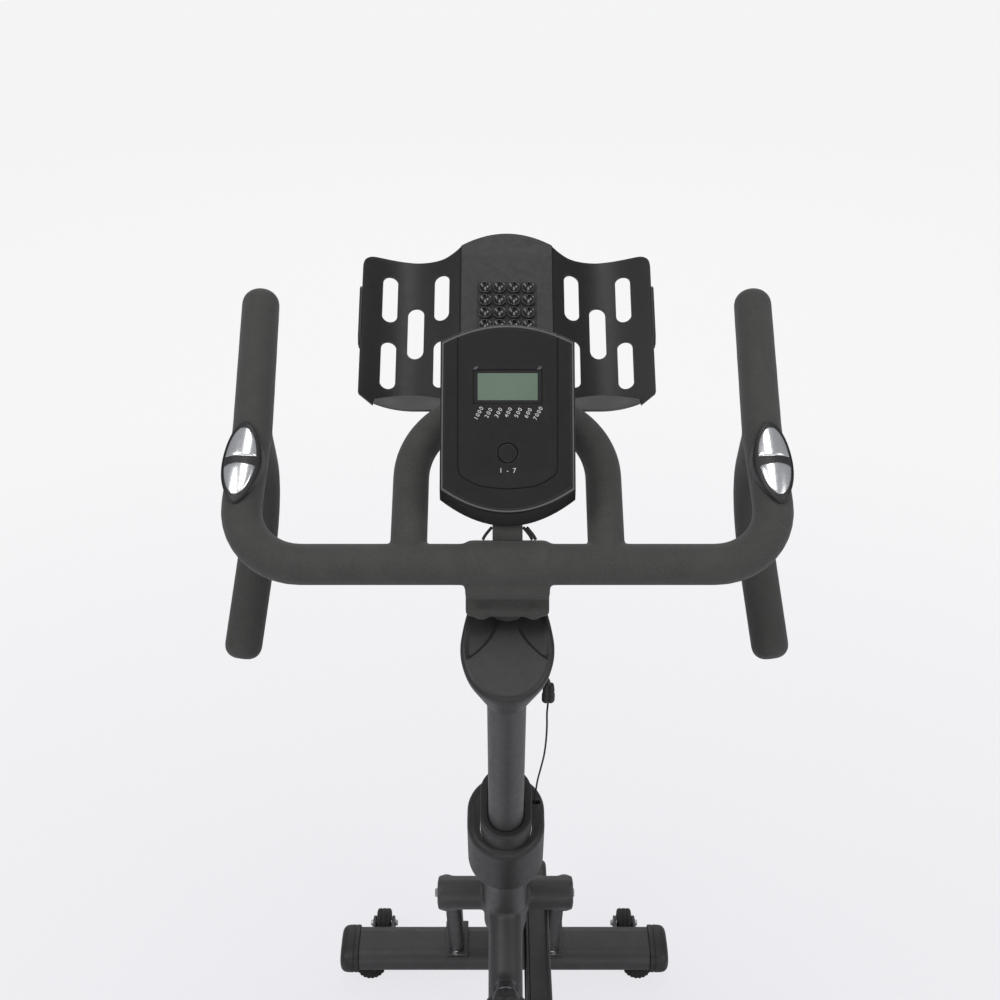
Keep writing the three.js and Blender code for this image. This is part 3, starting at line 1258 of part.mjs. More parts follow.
function driveBelt() {
  const fit = (grow) => loopOutline(CRANK, BIG_PULLEY + GAP + grow, HUB, SMALL_PULLEY + GAP + grow);
  const half = BELT_WIDTH / 2;
  const outside = sidePlate(fit(BELT_THICK), BELT_X - half, BELT_X + half, 14);
  const inside = sidePlate(fit(0), BELT_X - half - 1, BELT_X + half + 1, 15);
  return part("drive_belt", cut(outside, inside), blackRubber());
}

function coverOutline(grow) {
  const margin = BELT_THICK + COVER_MARGIN + grow;
  return loopOutline(CRANK, BIG_PULLEY + margin, HUB, SMALL_PULLEY + margin);
}

function beltCoverOuter() {
  const rim = COVER_INNER_X + COVER_WALL + GAP;
  const outside = join(
    sidePlate(coverOutline(0), rim, COVER_OUTER_X - 4, 7),
    sidePlate(coverOutline(-4), rim, COVER_OUTER_X, 7),
  );
  const hollow = sidePlate(coverOutline(-COVER_WALL - 3), rim - 5, COVER_OUTER_X - COVER_WALL, 7);
  const spindleHole = crossBar(16, 0, 100, CRANK[0], CRANK[1], 14);
  const axleHole = crossBar(15, 0, 100, HUB[0], HUB[1], 12);
  const boss = ring(26, 29, COVER_OUTER_X - 3, COVER_OUTER_X + 1, 16);
  const hubRing = layAcross(boss, CRANK[0], CRANK[1]);
  const shell = join(cut(outside, hollow), hubRing);
  return part("belt_cover_outer", cut(shell, spindleHole, axleHole), blackPlastic());
}

function beltCoverInner() {
  const near = SHELL_HALF + GAP;
  const plate = sidePlate(coverOutline(0), near, COVER_INNER_X + COVER_WALL, 7);
  const spindleHole = crossBar(SPINDLE_RADIUS + 4, 0, 100, CRANK[0], CRANK[1], 16);
  const hubHole = crossBar(28, 0, 100, HUB[0], HUB[1], 20);
  return part("belt_cover_inner", cut(plate, spindleHole, hubHole), blackPlastic());
}

// Crank arm with its pedal spindle, pointing forward for side 1 and back for side -1.
function crankArm(side, label) {
  const end = [CRANK[0] + side * CRANK_LENGTH, CRANK[1]];
  const inner = CRANK_X - CRANK_THICK / 2;
  const outer = CRANK_X + CRANK_THICK / 2;
  const [x0, x1] = side > 0 ? [inner, outer] : [-outer, -inner];
  const arm = sidePlate(loopOutline(CRANK, 19, end, 13.5), x0, x1, 6);
  const hollow = crossBar(SPINDLE_RADIUS + GAP, x0 - 5, x1 + 5, CRANK[0], CRANK[1], 16);
  const tip = CRANK_X + PEDAL_OUT + PEDAL_WIDTH + 2;
  const [p0, p1] = side > 0 ? [CRANK_X, tip] : [-tip, -CRANK_X];
  const spindle = crossBar(PEDAL_SPINDLE, p0, p1, end[0], end[1], 12);
  const flange = side > 0 ? [outer - 1, outer + 3] : [-outer - 3, -outer + 1];
  const shoulder = crossBar(10, ...flange, end[0], end[1], 12);
  return part(`crank_arm_${label}`, join(cut(arm, hollow), spindle, shoulder), alloy());
}

const STRAP_Y = 26;                 // toe strap ahead of the pedal's spindle
const STRAP_WIDTH = 26;
const CAGE_WALL = 3;
const CAGE_HEIGHT = 70;             // top of the cage above the spindle

function pedalAt(side) {
  return vec(side * (CRANK_X + PEDAL_OUT + PEDAL_WIDTH / 2), CRANK[0] + side * CRANK_LENGTH, CRANK[1]);
}

function pedal(side, label) {
  const half = PEDAL_THICK / 2;
  const rim = slab(roundedRect(PEDAL_WIDTH, PEDAL_LENGTH, 12), -half, half, 4);
  const gap = (y) => slab(roundedRect(PEDAL_WIDTH - 16, 20, 4), -half - 2, half + 2, 2).translate(0, y, 0);
  const core = crossBar(12, -PEDAL_WIDTH / 2, PEDAL_WIDTH / 2, 0, 0, 14);
  const bore = crossBar(PEDAL_SPINDLE + GAP, -80, 80, 0, 0, 12);
  const body = cut(join(cut(rim, gap(27), gap(-27)), core), bore);
  const at = pedalAt(side);
  return part(`pedal_${label}`, body.translate(at.x, at.y, at.z), blackPlastic());
}

// Toe cage: a basket round the toe and a strap over the foot, fixed to the pedal's front.
function toeCage(side, label) {
  const edge = PEDAL_WIDTH / 2 + GAP;
  const front = PEDAL_LENGTH / 2 + GAP;
  const half = PEDAL_THICK / 2;
  const toeLine = [
    vec(0, front + 1.5, -half + 2), vec(0, front + 1.5, 26), vec(0, front - 12, 64),
    vec(0, STRAP_Y - 8, CAGE_HEIGHT),
  ];
  const toe = sweep(strip(CAGE_WALL, 44), new BentPath(toeLine, [60, 24], 4));
  const strapLine = [
    vec(-edge - 1.5, STRAP_Y, -half + 3), vec(-edge - 1.5, STRAP_Y, 44), vec(-24, STRAP_Y, CAGE_HEIGHT),
    vec(24, STRAP_Y, CAGE_HEIGHT), vec(edge + 1.5, STRAP_Y, 44), vec(edge + 1.5, STRAP_Y, -half + 3),
  ];
  const strap = sweep(strip(STRAP_WIDTH, CAGE_WALL), new BentPath(strapLine, [18, 18, 18, 18], 3));
  const at = pedalAt(side);
  return part(`toe_cage_${label}`, join(toe, strap).translate(at.x, at.y, at.z), blackPlastic());
}

// ---------------------------------------------------------------- friction brake

const PAD_HALF = [11, 19];          // half width across the rim, half length along it
const SHOE_THICK = 4;
const PAD_THICK = 7;

const ROD_IN_KNOB = 32;

const rimDistance = () => brakeReach - FLYWHEEL_RADIUS;
const knobFoot = -BRAKE_SLEEVE[0] + BRAKE_TRAVEL + 2 * GAP;

function brakeRod() {
  const shoeTop = -(rimDistance() - BRAKE_GAP - PAD_THICK - SHOE_THICK);
  const rod = upright(ROD_RADIUS, shoeTop - 1, knobFoot + ROD_IN_KNOB, 16);
  const [across, along] = PAD_HALF.map((half) => half + 1);
  const shoe = box(-across, across, -along, along, shoeTop - SHOE_THICK, shoeTop);
  return part("brake_rod", join(rod, shoe), bareSteel());
}

// Felt pad hollowed to the flywheel's rim.
function brakePad() {
  const top = -(rimDistance() - BRAKE_GAP - PAD_THICK) - GAP;
  const block = box(-PAD_HALF[0], PAD_HALF[0], -PAD_HALF[1], PAD_HALF[1], top - PAD_THICK - 6, top);
  const rim = crossBar(FLYWHEEL_RADIUS + BRAKE_GAP, -40, 40, 0, -brakeReach, 60);
  return part("brake_pad", cut(block, rim), felt());
}

function resistanceKnob() {
  const foot = knobFoot;
  const bore = ROD_RADIUS + GAP;
  const body = turned([
    [bore, foot], [16, foot], [17, foot + 6], [14, foot + 14], [15, foot + 24], [22, foot + 36],
    [24, foot + 44], [24, foot + 54], [20, foot + 60], [0, foot + 62], [0, foot + ROD_IN_KNOB + 2],
    [bore, foot + ROD_IN_KNOB + GAP], [bore, foot],
  ], 20);
  const flutes = aroundAxis(upright(5, foot + 20, foot + 80, 6), 8, 27);
  return part("resistance_knob", cut(body, ...flutes), blackPlastic());
}

// ---------------------------------------------------------------- saddle and its adjustment

const RAIL_WIDTH = 38;              // seat slider, a level rectangular tube
const RAIL_HEIGHT = 28;
const RAIL_WALL = 2.5;
const RAIL_FIT = 0.4;
const RAIL_LENGTH = 250;
const SLEEVE_WALL = 4;
const SLEEVE_BACK = 88;             // sleeve reach behind and ahead of the post's top
const SLEEVE_FRONT = 42;
const KNOB_INSET = 22;              // slider knob from the sleeve's back end
const KNOB_NUT = 8;                 // height of its nut
const KNOB_STUD = 5;                // radius
const BRIDGE_GAP = 6;               // bridge plate above the sleeve
const STUB_RADIUS = 11;
const STUB_HEIGHT = 40;
const RAIL_ROD = 3.5;
const SADDLE_LENGTH = 272;
const SADDLE_RISE = 66;             // saddle's underside above the bridge plate
const PAD_HEIGHT = 52;

const seatTop = () => seatPoint(SEAT_POST_TOP);
const railZ = () => seatTop().z + SLEEVE_WALL + RAIL_HEIGHT / 2;
const saddleY = () => seatTop().y + (SLEEVE_FRONT - SLEEVE_BACK) / 2;
const bridgeZ = () => railZ() + RAIL_HEIGHT / 2 + SLEEVE_WALL + BRIDGE_GAP;

function seatPost() {
  const holes = [-3, -2, -1, 0, 1, 2, 3, 4].map((k) => SEAT_PIN_AT - k * PIN_PITCH);
  const kept = holes.filter((z) => z > SEAT_POST_START + 12);
  const post = ovalPost(SEAT_POST_START, SEAT_POST_TOP + 30, kept, -1).applyMatrix4(SEAT_FRAME);
  const top = seatTop();
  const z = railZ();
  const outer = roundedRect(RAIL_WIDTH + 2 * SLEEVE_WALL, RAIL_HEIGHT + 2 * SLEEVE_WALL, 5);
  const inner = roundedRect(RAIL_WIDTH + 2 * RAIL_FIT, RAIL_HEIGHT + 2 * RAIL_FIT, 3);
  const sleeve = runAlong(outer, top.y - SLEEVE_BACK, top.y + SLEEVE_FRONT, 3).translate(0, 0, z);
  const bore = runAlong(inner, top.y - SLEEVE_BACK - 5, top.y + SLEEVE_FRONT + 5, 3).translate(0, 0, z);
  const above = box(-60, 60, top.y - 100, top.y + 100, z - RAIL_HEIGHT / 2, z + 200);
  const under = z - RAIL_HEIGHT / 2;
  const knobNut = upright(9, under - SLEEVE_WALL - KNOB_NUT, under - 1, 16);
  const knobBore = upright(KNOB_STUD + GAP, z - 60, z, 16);
  const knobY = top.y - SLEEVE_BACK + KNOB_INSET;
  const trimmed = cut(post, above);
  const frame = join(trimmed, sleeve, knobNut.translate(0, knobY, 0));
  return part("seat_post", cut(frame, bore, knobBore.translate(0, knobY, 0)), blackPaint());
}

function sliderKnob() {
  const under = railZ() - RAIL_HEIGHT / 2;
  const z = under - SLEEVE_WALL - KNOB_NUT - GAP;
  const knobY = seatTop().y - SLEEVE_BACK + KNOB_INSET;
  const stud = upright(KNOB_STUD, z - 4, under - RAIL_FIT - 0.5, 14);
  const lobes = aroundAxis(upright(8, z - 16, z - 2, 10), 3, 15, Math.PI / 2);
  const hub = upright(15, z - 18, z, 16);
  return part("slider_knob", join(hub, stud, ...lobes).translate(0, knobY, 0), blackPlastic());
}

// Level tube that slides in the post's sleeve, bridged by the plate and stub that hold the saddle.
function seatSlider() {
  const y = saddleY();
  const z = railZ();
  const half = RAIL_LENGTH / 2;
  const wide = RAIL_WIDTH / 2;
  const inside = roundedRect(RAIL_WIDTH - 2 * RAIL_WALL, RAIL_HEIGHT - 2 * RAIL_WALL, 2);
  const tube = runAlong(roundedRect(RAIL_WIDTH, RAIL_HEIGHT, 3), y - half, y + half, 3).translate(0, 0, z);
  const hollow = runAlong(inside, y - half - 5, y + half + 5, 3).translate(0, 0, z);
  const plate = box(-wide, wide, y - half, y + half, bridgeZ(), bridgeZ() + PLATE_THICK);
  const foot = (from) => box(-wide, wide, from, from + 8, z + RAIL_HEIGHT / 2 - 1, bridgeZ() + 1);
  const stub = upright(STUB_RADIUS, bridgeZ() + 2, bridgeZ() + STUB_HEIGHT - 2 - GAP).translate(0, y, 0);
  const body = join(cut(tube, hollow), plate, foot(y - half), foot(y + half - 8), stub);
  return part("seat_slider", body, blackPaint());
}

// Saddle clamp on the stub, with the two steel rails that carry the saddle shell.
function saddleClamp() {
  const y = saddleY();
  const z = bridgeZ() + STUB_HEIGHT;
  const block = box(-27, 27, y - 20, y + 20, z - 22, z + 4);
  const bore = upright(STUB_RADIUS + GAP, z - 30, z - 2).translate(0, y, 0);
  const under = bridgeZ() + SADDLE_RISE - RAIL_ROD - GAP;
  const rail = (side) => bentTube([
    vec(side * 30, y - 118, under), vec(side * 24, y - 88, under),
    vec(side * 22, y - 45, z - 3), vec(side * 22, y + 45, z - 3),
    vec(side * 16, y + 84, under), vec(side * 12, y + 112, under),
  ], [20, 24, 24, 24], RAIL_ROD, 8, 2);
  return part("saddle_clamp", join(cut(block, bore), rail(-1), rail(1)), bareSteel());
}

// Saddle outline, nose forward, as half widths along its length.
const SADDLE_EDGE = [
  [0, 1], [16, 0.985], [24, 0.9], [28, 0.7], [38, 0.52], [62, 0.36], [88, 0.22], [97, 0.1], [88, 0.02],
  [50, -0.005], [16, 0.015],
];
const SADDLE_POINTS = 28;

function saddleRing(inset, z, crown = 0) {
  const y0 = saddleY() - SADDLE_LENGTH / 2;
  const right = SADDLE_EDGE.map(([x, t]) => vec(x, t * SADDLE_LENGTH, 0));
  const left = SADDLE_EDGE.slice(1).reverse().map(([x, t]) => vec(-x, t * SADDLE_LENGTH, 0));
  const rim = new THREE.CatmullRomCurve3([...right, ...left], true);
  return rim.getSpacedPoints(SADDLE_POINTS).slice(0, SADDLE_POINTS).map((p) => {
    const shrinkX = Math.max(0.2, 1 - inset / 40);
    const middle = 0.42 * SADDLE_LENGTH;
    const along = middle + (p.y - middle) * (1 - inset / 130);
    const tail = Math.max(0, 0.3 - p.y / SADDLE_LENGTH) * crown;
    return vec(p.x * shrinkX, y0 + along, z + tail);
  });
}

function saddleShell() {
  const z = bridgeZ() + SADDLE_RISE;
  return part("saddle_shell", loft([
    saddleRing(14, z), saddleRing(5, z + 3), saddleRing(1, z + 9), saddleRing(0, z + 15),
  ]), blackPlastic());
}

function saddlePad() {
  const z = bridgeZ() + SADDLE_RISE + 15 + GAP;
  const top = z + PAD_HEIGHT - 15;
  return part("saddle_pad", loft([
    saddleRing(0.5, z), saddleRing(-1, z + 8), saddleRing(1, z + 20, 20),
    saddleRing(8, top - 8, 36), saddleRing(20, top, 44),
  ]), blackRubber());
}

// ---------------------------------------------------------------- assembly

const bike = new THREE.Group();
bike.name = "exercise_bike";
bike.position.set(0, LENGTH_SHIFT, 0);

const cockpit = new THREE.Group();
cockpit.position.set(0, BAR_ALONG, BAR_HEIGHT);
const consoleGroup = framed(CONSOLE_FRAME, "console");
const holderGroup = framed(HOLDER_FRAME, "holder");
const postGroup = framed(POST_FRAME, "post_line");
const seatGroup = framed(SEAT_FRAME, "seat_line");
const brakeGroup = framed(BRAKE_FRAME, "brake_line");

consoleGroup.add(consoleFront(), consoleBack(), consoleLens(), modeButton(), consoleStem());
holderGroup.add(tabletHolder(), suctionPad());
cockpit.add(handlebar(), postHeadCover(), consoleGroup, holderGroup);
for (const [side, label] of [[-1, "left"], [1, "right"]]) {
  cockpit.add(...pulseSensor(side, label), pulseLead(side, label));
}

postGroup.add(
  handlebarPost(), wireConnector(), sensorWire(), headTubeShroud(),
  collar("post_collar", -HEAD_TOP + GAP, -HEAD_TOP + COLLAR_HEIGHT, -HEAD_TOP - COLLAR_SLEEVE, -PIN_AT),
);
const postPin = pinKnob("post_pin_knob");
postPin.rotation.x = -Math.PI / 2;
postPin.position.set(0, tubeHalfDepth, -PIN_AT);
postGroup.add(postPin);

seatGroup.add(collar(
  "seat_collar", SEAT_TUBE_LENGTH + GAP, SEAT_TUBE_LENGTH + COLLAR_HEIGHT,
  SEAT_TUBE_LENGTH - COLLAR_SLEEVE, SEAT_PIN_AT,
));
const seatPin = pinKnob("seat_pin_knob");
seatPin.rotation.x = Math.PI / 2;
seatPin.position.set(0, -tubeHalfDepth, SEAT_PIN_AT);
seatGroup.add(seatPin);

brakeGroup.add(brakeRod(), brakePad(), resistanceKnob());

bike.add(cockpit, postGroup, seatGroup, brakeGroup, mainFrame());
bike.add(stabilizer("front_stabilizer", FRONT_FOOT_Y, true));
bike.add(stabilizer("rear_stabilizer", REAR_FOOT_Y, false));
bike.add(flywheel(), flywheelPulley(), flywheelAxle(), crankSpindle(), crankPulley(), driveBelt());
bike.add(beltCoverInner(), beltCoverOuter());
bike.add(seatPost(), sliderKnob(), seatSlider(), saddleClamp(), saddleShell(), saddlePad());
for (const [side, label] of [[-1, "left"], [1, "right"]]) {
  bike.add(crankArm(side, label), pedal(side, label), toeCage(side, label), transportWheel(side, label));
  for (const [end, y] of [["front", FRONT_FOOT_Y], ["rear", REAR_FOOT_Y]]) {
    bike.add(endCap(`${end}_cap_${label}`, side, y), levelingFoot(`${end}_foot_${label}`, side, y));
  }
}

export default bike;
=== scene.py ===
"""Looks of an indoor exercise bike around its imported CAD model.

Lengths are written in millimetres and turned into metres where a mesh is made.
"""

import json
import math

import bmesh
import bpy
import numpy as np
from mathutils import Matrix, Vector
from mathutils.bvhtree import BVHTree

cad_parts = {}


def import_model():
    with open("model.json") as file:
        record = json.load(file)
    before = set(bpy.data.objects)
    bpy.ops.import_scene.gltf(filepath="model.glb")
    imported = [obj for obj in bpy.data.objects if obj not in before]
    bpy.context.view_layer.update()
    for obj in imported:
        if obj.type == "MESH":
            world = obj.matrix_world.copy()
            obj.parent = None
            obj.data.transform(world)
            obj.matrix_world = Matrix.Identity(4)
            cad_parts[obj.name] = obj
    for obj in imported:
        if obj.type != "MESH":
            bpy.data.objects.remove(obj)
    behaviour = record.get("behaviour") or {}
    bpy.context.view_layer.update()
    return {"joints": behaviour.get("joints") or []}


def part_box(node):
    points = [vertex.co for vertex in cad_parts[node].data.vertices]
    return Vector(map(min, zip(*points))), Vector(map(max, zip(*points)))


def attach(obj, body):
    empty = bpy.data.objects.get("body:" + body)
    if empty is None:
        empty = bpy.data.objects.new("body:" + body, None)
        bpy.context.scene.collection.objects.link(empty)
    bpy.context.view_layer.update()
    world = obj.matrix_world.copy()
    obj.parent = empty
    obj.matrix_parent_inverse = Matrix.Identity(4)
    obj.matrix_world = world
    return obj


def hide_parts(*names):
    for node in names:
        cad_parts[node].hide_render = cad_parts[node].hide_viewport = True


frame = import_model()
JOINTS = {joint["name"]: joint for joint in frame["joints"]}
MM = 0.001
SIDES = ((-1, "left"), (1, "right"))


# ---------------------------------------------------------------- anchors from the frame


def joint_at(name):
    return Vector(JOINTS[name]["pos_m"]) / MM


def joint_axis(name):
    return Vector(JOINTS[name]["axis"]).normalized()


def extent(node):
    low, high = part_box(node)
    return low / MM, high / MM


HUB = joint_at("flywheel_spin")
CRANK = joint_at("crank_spin")
POST_UP = joint_axis("handlebar_height")
SEAT_UP = joint_axis("saddle_height")
POST_LEAN = math.atan2(-POST_UP.y, POST_UP.z)
SEAT_LEAN = math.atan2(-SEAT_UP.y, SEAT_UP.z)
GAP = 0.3                                   # what touching CAD pieces keep between them
FOAM_RADIUS, TIP_CORNER = 18.0, 13          # coated handlebar tube, and the rounding of its ends
BAR = Vector((0, HUB.y - 365, 1070))        # middle of the straight bar
HALF_SPAN = extent("handlebar")[1].x - 36     # side tubes from the middle of the bike
BEAM_START, BEAM_RISE = (180, 445), 370 / 780        # front end of the main beam, and its slope
SEAT_FOOT = Vector((0, BAR.y - 285, BEAM_START[1] + BEAM_RISE * (-285 - BEAM_START[0])))


# ---------------------------------------------------------------- meshes


def added(name, data):
    """A new object in the scene."""
    obj = bpy.data.objects.new(name, data)
    bpy.context.scene.collection.objects.link(obj)
    return obj


def new_piece(name, verts, faces):
    """A mesh object from points in millimetres."""
    mesh = bpy.data.meshes.new(name)
    mesh.from_pydata([tuple(Vector(v) * MM) for v in verts], [], faces)
    mesh.validate()
    mesh.shade_smooth()
    return added(name, mesh)


def turns(count):
    """Angles spread evenly round a circle."""
    return [2 * math.pi * k / count for k in range(count)]


def looped(line):
    """A line that runs back to its first point."""
    return line + line[:1]


def outward(obj):
    """Turns every face to point out of its closed body."""
    work = bmesh.new()
    work.from_mesh(obj.data)
    bmesh.ops.recalc_face_normals(work, faces=work.faces)
    work.to_mesh(obj.data)
    work.free()
    return obj


def loft(name, rings, capped=True, fan=True):
    """A closed body through rings of equally many points."""
    count = len(rings[0])
    verts = [Vector(p) for ring in rings for p in ring]
    faces = []
    for r in range(len(rings) - 1):
        for i in range(count):
            j = (i + 1) % count
            faces.append((r * count + i, r * count + j, (r + 1) * count + j, (r + 1) * count + i))
    for end in (0, len(rings) - 1) if capped else ():
        first = end * count
        if fan:
            hub = len(verts)
            verts.append(sum((verts[first + i] for i in range(count)), Vector()) / count)
            faces += [(hub, first + i, first + (i + 1) % count) for i in range(count)]
        else:
            faces.append(tuple(first + i for i in range(count)))
    return outward(new_piece(name, verts, faces))


def turned(name, profile, sides=32):
    """A body of revolution about z from (radius, height) pairs, closed on itself or on the axis."""
    verts, faces, rows = [], [], []
    closed = profile[0] == profile[-1]
    for radius, height in (profile[:-1] if closed else profile):
        if radius < 1e-6:
            rows.append([len(verts)])
            verts.append((0, 0, height))
        else:
            rows.append([len(verts) + k for k in range(sides)])
            verts += [(radius * math.cos(turn), radius * math.sin(turn), height) for turn in turns(sides)]
    pairs = list(zip(rows, rows[1:])) + ([(rows[-1], rows[0])] if closed else [])
    for lower, upper in pairs:
        for k in range(sides):
            n = (k + 1) % sides
            corners = [lower[k % len(lower)], lower[n % len(lower)], upper[n % len(upper)],
                       upper[k % len(upper)]]
            kept = list(dict.fromkeys(corners))
            if len(kept) > 2:
                faces.append(tuple(kept))
    return outward(new_piece(name, verts, faces))


def rod(name, radius, low, high, sides=32):
    """A round bar about z."""
    return turned(name, [(0, low), (radius, low), (radius, high), (0, high)], sides)


def prism(name, outline, low, high):
    """An outline of (x, y) pairs made thick along z."""
    return loft(name, [[(x, y, low) for x, y in outline], [(x, y, high) for x, y in outline]], fan=False)


def arc(cx, cy, radius, start, end, steps):
    """Points on an arc, angles in degrees."""
    angles = [math.radians(start + (end - start) * k / steps) for k in range(steps + 1)]
    return [(cx + radius * math.cos(t), cy + radius * math.sin(t)) for t in angles]


def flat_oval(width, depth, steps=20):
    r = min(width, depth) / 2
    reach = abs(depth - width) / 2
    if depth > width:
        return arc(0, reach, r, 0, 180, steps) + arc(0, -reach, r, 180, 360, steps)
    return arc(reach, 0, r, -90, 90, steps) + arc(-reach, 0, r, 90, 270, steps)


def rounded_rect(width, height, corner, steps=6):
    w, h = width / 2 - corner, height / 2 - corner
    return (arc(w, h, corner, 0, 90, steps) + arc(-w, h, corner, 90, 180, steps)
            + arc(-w, -h, corner, 180, 270, steps) + arc(w, -h, corner, 270, 360, steps))


def curve_through(points, steps, closed=False):
    """Points on a smooth curve through the given ones."""
    points = [Vector(p) for p in points]
    count = len(points)
    out = []
    for i in range(count if closed else count - 1):
        a, b, c, d = (points[(i + k) % count] if closed else points[min(max(i + k, 0), count - 1)]
                      for k in (-1, 0, 1, 2))
        for k in range(steps):
            t = k / steps
            out.append(0.5 * (2 * b + (c - a) * t + (2 * a - 5 * b + 4 * c - d) * t * t
                              + (3 * b - a - 3 * c + d) * t ** 3))
    if not closed:
        out.append(points[-1])
    return out


def bent_path(corners, radii, steps=10, run=12.0):
    """A bent tube's centre line: straight runs joined by arcs."""
    corners = [Vector(c) for c in corners]
    path = [corners[0]]

    def straight(end):
        start = path[-1]
        parts = max(1, int((end - start).length / run))
        path.extend(start.lerp(end, k / parts) for k in range(1, parts + 1))

    for before, corner, after, radius in zip(corners, corners[1:], corners[2:], radii):
        into, out = (corner - before).normalized(), (after - corner).normalized()
        turn = into.angle(out)
        start = corner - into * radius * math.tan(turn / 2)
        across = (out - into * into.dot(out)).normalized()
        centre = start + across * radius
        straight(start)
        for k in range(1, steps + 1):
            angle = turn * k / steps
            path.append(centre + into * radius * math.sin(angle) - across * radius * math.cos(angle))
    straight(corners[-1])
    return path


def sweep(name, path, section, up=(1, 0, 0), scale=None):
    """A section of (across, rising) pairs carried along a path; `up` stays the section's first axis."""
    path = [Vector(p) for p in path]
    rings = []
    side = Vector(up)
    for i, at in enumerate(path):
        ahead = (path[min(i + 1, len(path) - 1)] - path[max(i - 1, 0)]).normalized()
        side = (side - ahead * side.dot(ahead)).normalized()
        rise = ahead.cross(side)
        grow = scale[i] if scale else 1
        rings.append([at + side * (a * grow) + rise * (b * grow) for a, b in section])
    return loft(name, rings)


def squared(turn, power):
    """A point on a circle swollen toward its four corners."""
    c, s = math.cos(turn), math.sin(turn)
    reach = (abs(s) ** power + abs(c) ** power) ** (-1 / power)
    return reach * c, reach * s


def circle(radius, sides=32):
    return arc(0, 0, radius, 0, 360 - 360 / sides, sides - 1)


def round_ended(path, start=False):
    """A grip's path with its end, or both ends, drawn in, and the scale of its section at each point."""
    path = [Vector(p) for p in path]
    bits = [(TIP_CORNER * math.sin(t), 1 - TIP_CORNER / FOAM_RADIUS * (1 - math.cos(t)))
            for t in (math.pi / 2 * k / 7 for k in range(1, 8))]

    def drawn_in(tip, before):
        ahead = (tip - before).normalized()
        return [tip + ahead * reach for reach, _ in bits]

    shrunk = [size for _, size in bits]
    whole, scale = path + drawn_in(path[-1], path[-2]), [1.0] * len(path) + shrunk
    if start:
        whole, scale = drawn_in(path[0], path[1])[::-1] + whole, shrunk[::-1] + scale
    return whole, scale


def place(obj, matrix):
    """Moves a piece's own points; its object stays at the origin."""
    scale = Matrix.Diagonal((MM, MM, MM, 1))
    obj.data.transform(scale @ matrix @ scale.inverted())
    return obj


def shift(x, y, z):
    return Matrix.Translation((x, y, z))


def spin(axis, angle=math.pi / 2):
    return Matrix.Rotation(angle, 4, axis)


def mirror(side):
    """Turns z round for the left side."""
    return Matrix.Scale(side, 4, (0, 0, 1))


def leaned(angle, at):
    return shift(*at) @ spin("X", angle)


def across_bike(at):
    """Lays a piece made about z across the bike, its z toward +X."""
    return shift(*at) @ spin("Y")


def side_view(x0=0):
    """Takes (along, up, out) to the bike's (y, z, x)."""
    return Matrix(((0, 0, 1, x0), (1, 0, 0, 0), (0, 1, 0, 0), (0, 0, 0, 1)))


def mesh_of(obj):
    """The mesh that an object makes with its modifiers."""
    graph = bpy.context.evaluated_depsgraph_get()
    return bpy.data.meshes.new_from_object(obj.evaluated_get(graph), depsgraph=graph)


def settle(obj):
    """Applies a piece's modifiers."""
    mesh = mesh_of(obj)
    old = obj.data
    obj.modifiers.clear()
    obj.data = mesh
    bpy.data.meshes.remove(old)
    return obj


def remove(*objs):
    for obj in objs:
        mesh = obj.data
        bpy.data.objects.remove(obj)
        bpy.data.meshes.remove(mesh)


def welded(obj):
    """Joins a closed body's doubled points."""
    weld = obj.modifiers.new("weld", "WELD")
    weld.merge_threshold = 0.01 * MM
    return outward(settle(obj))


def hoop(name, rings):
    """A body whose last ring is its first one again."""
    return welded(loft(name, rings, capped=False))


def booled(base, operation, *tools, solver="EXACT"):
    for tool in tools:
        change = base.modifiers.new(operation.lower(), "BOOLEAN")
        change.operation = operation
        change.object = tool
        change.solver = solver
        settle(base)
        remove(tool)
    return base


def cut(base, *tools):
    return booled(base, "DIFFERENCE", *tools)


def merged(name, *objs):
    """One object holding several bodies."""
    work = bmesh.new()
    for obj in objs:
        work.from_mesh(obj.data)
    mesh = bpy.data.meshes.new(name)
    work.to_mesh(mesh)
    work.free()
    mesh.shade_smooth()
    remove(*objs)
    return added(name, mesh)


def melted(name, voxel, rounds, *objs):
    """Several bodies grown together, with soft fillets where they meet."""
    whole = merged(name, *objs)
    remesh = whole.modifiers.new("remesh", "REMESH")
    remesh.mode = "VOXEL"
    remesh.voxel_size = voxel * MM
    remesh.use_smooth_shade = True
    settle(whole)
    if rounds:
        smooth = whole.modifiers.new("smooth", "SMOOTH")
        smooth.factor = 0.5
        smooth.iterations = rounds
        settle(whole)
    whole.data.shade_smooth()
    return whole


def sharpened(obj, angle):
    """Keeps the edges that bend more than an angle crisp."""
    obj.data.set_sharp_from_angle(angle=math.radians(angle))
    return obj


def eased(obj, width, segments=3, angle=32, sharp=35):
    """Rounds the edges and shades them smooth, flat faces staying flat."""
    if width:
        bevel = obj.modifiers.new("edges", "BEVEL")
        bevel.width = width * MM
        bevel.segments = segments
        bevel.limit_method = "ANGLE"
        bevel.angle_limit = math.radians(angle)
        bevel.harden_normals = False
        bevel.use_clamp_overlap = True
        settle(obj)
    obj.data.shade_smooth()
    return sharpened(obj, sharp)


# ---------------------------------------------------------------- materials


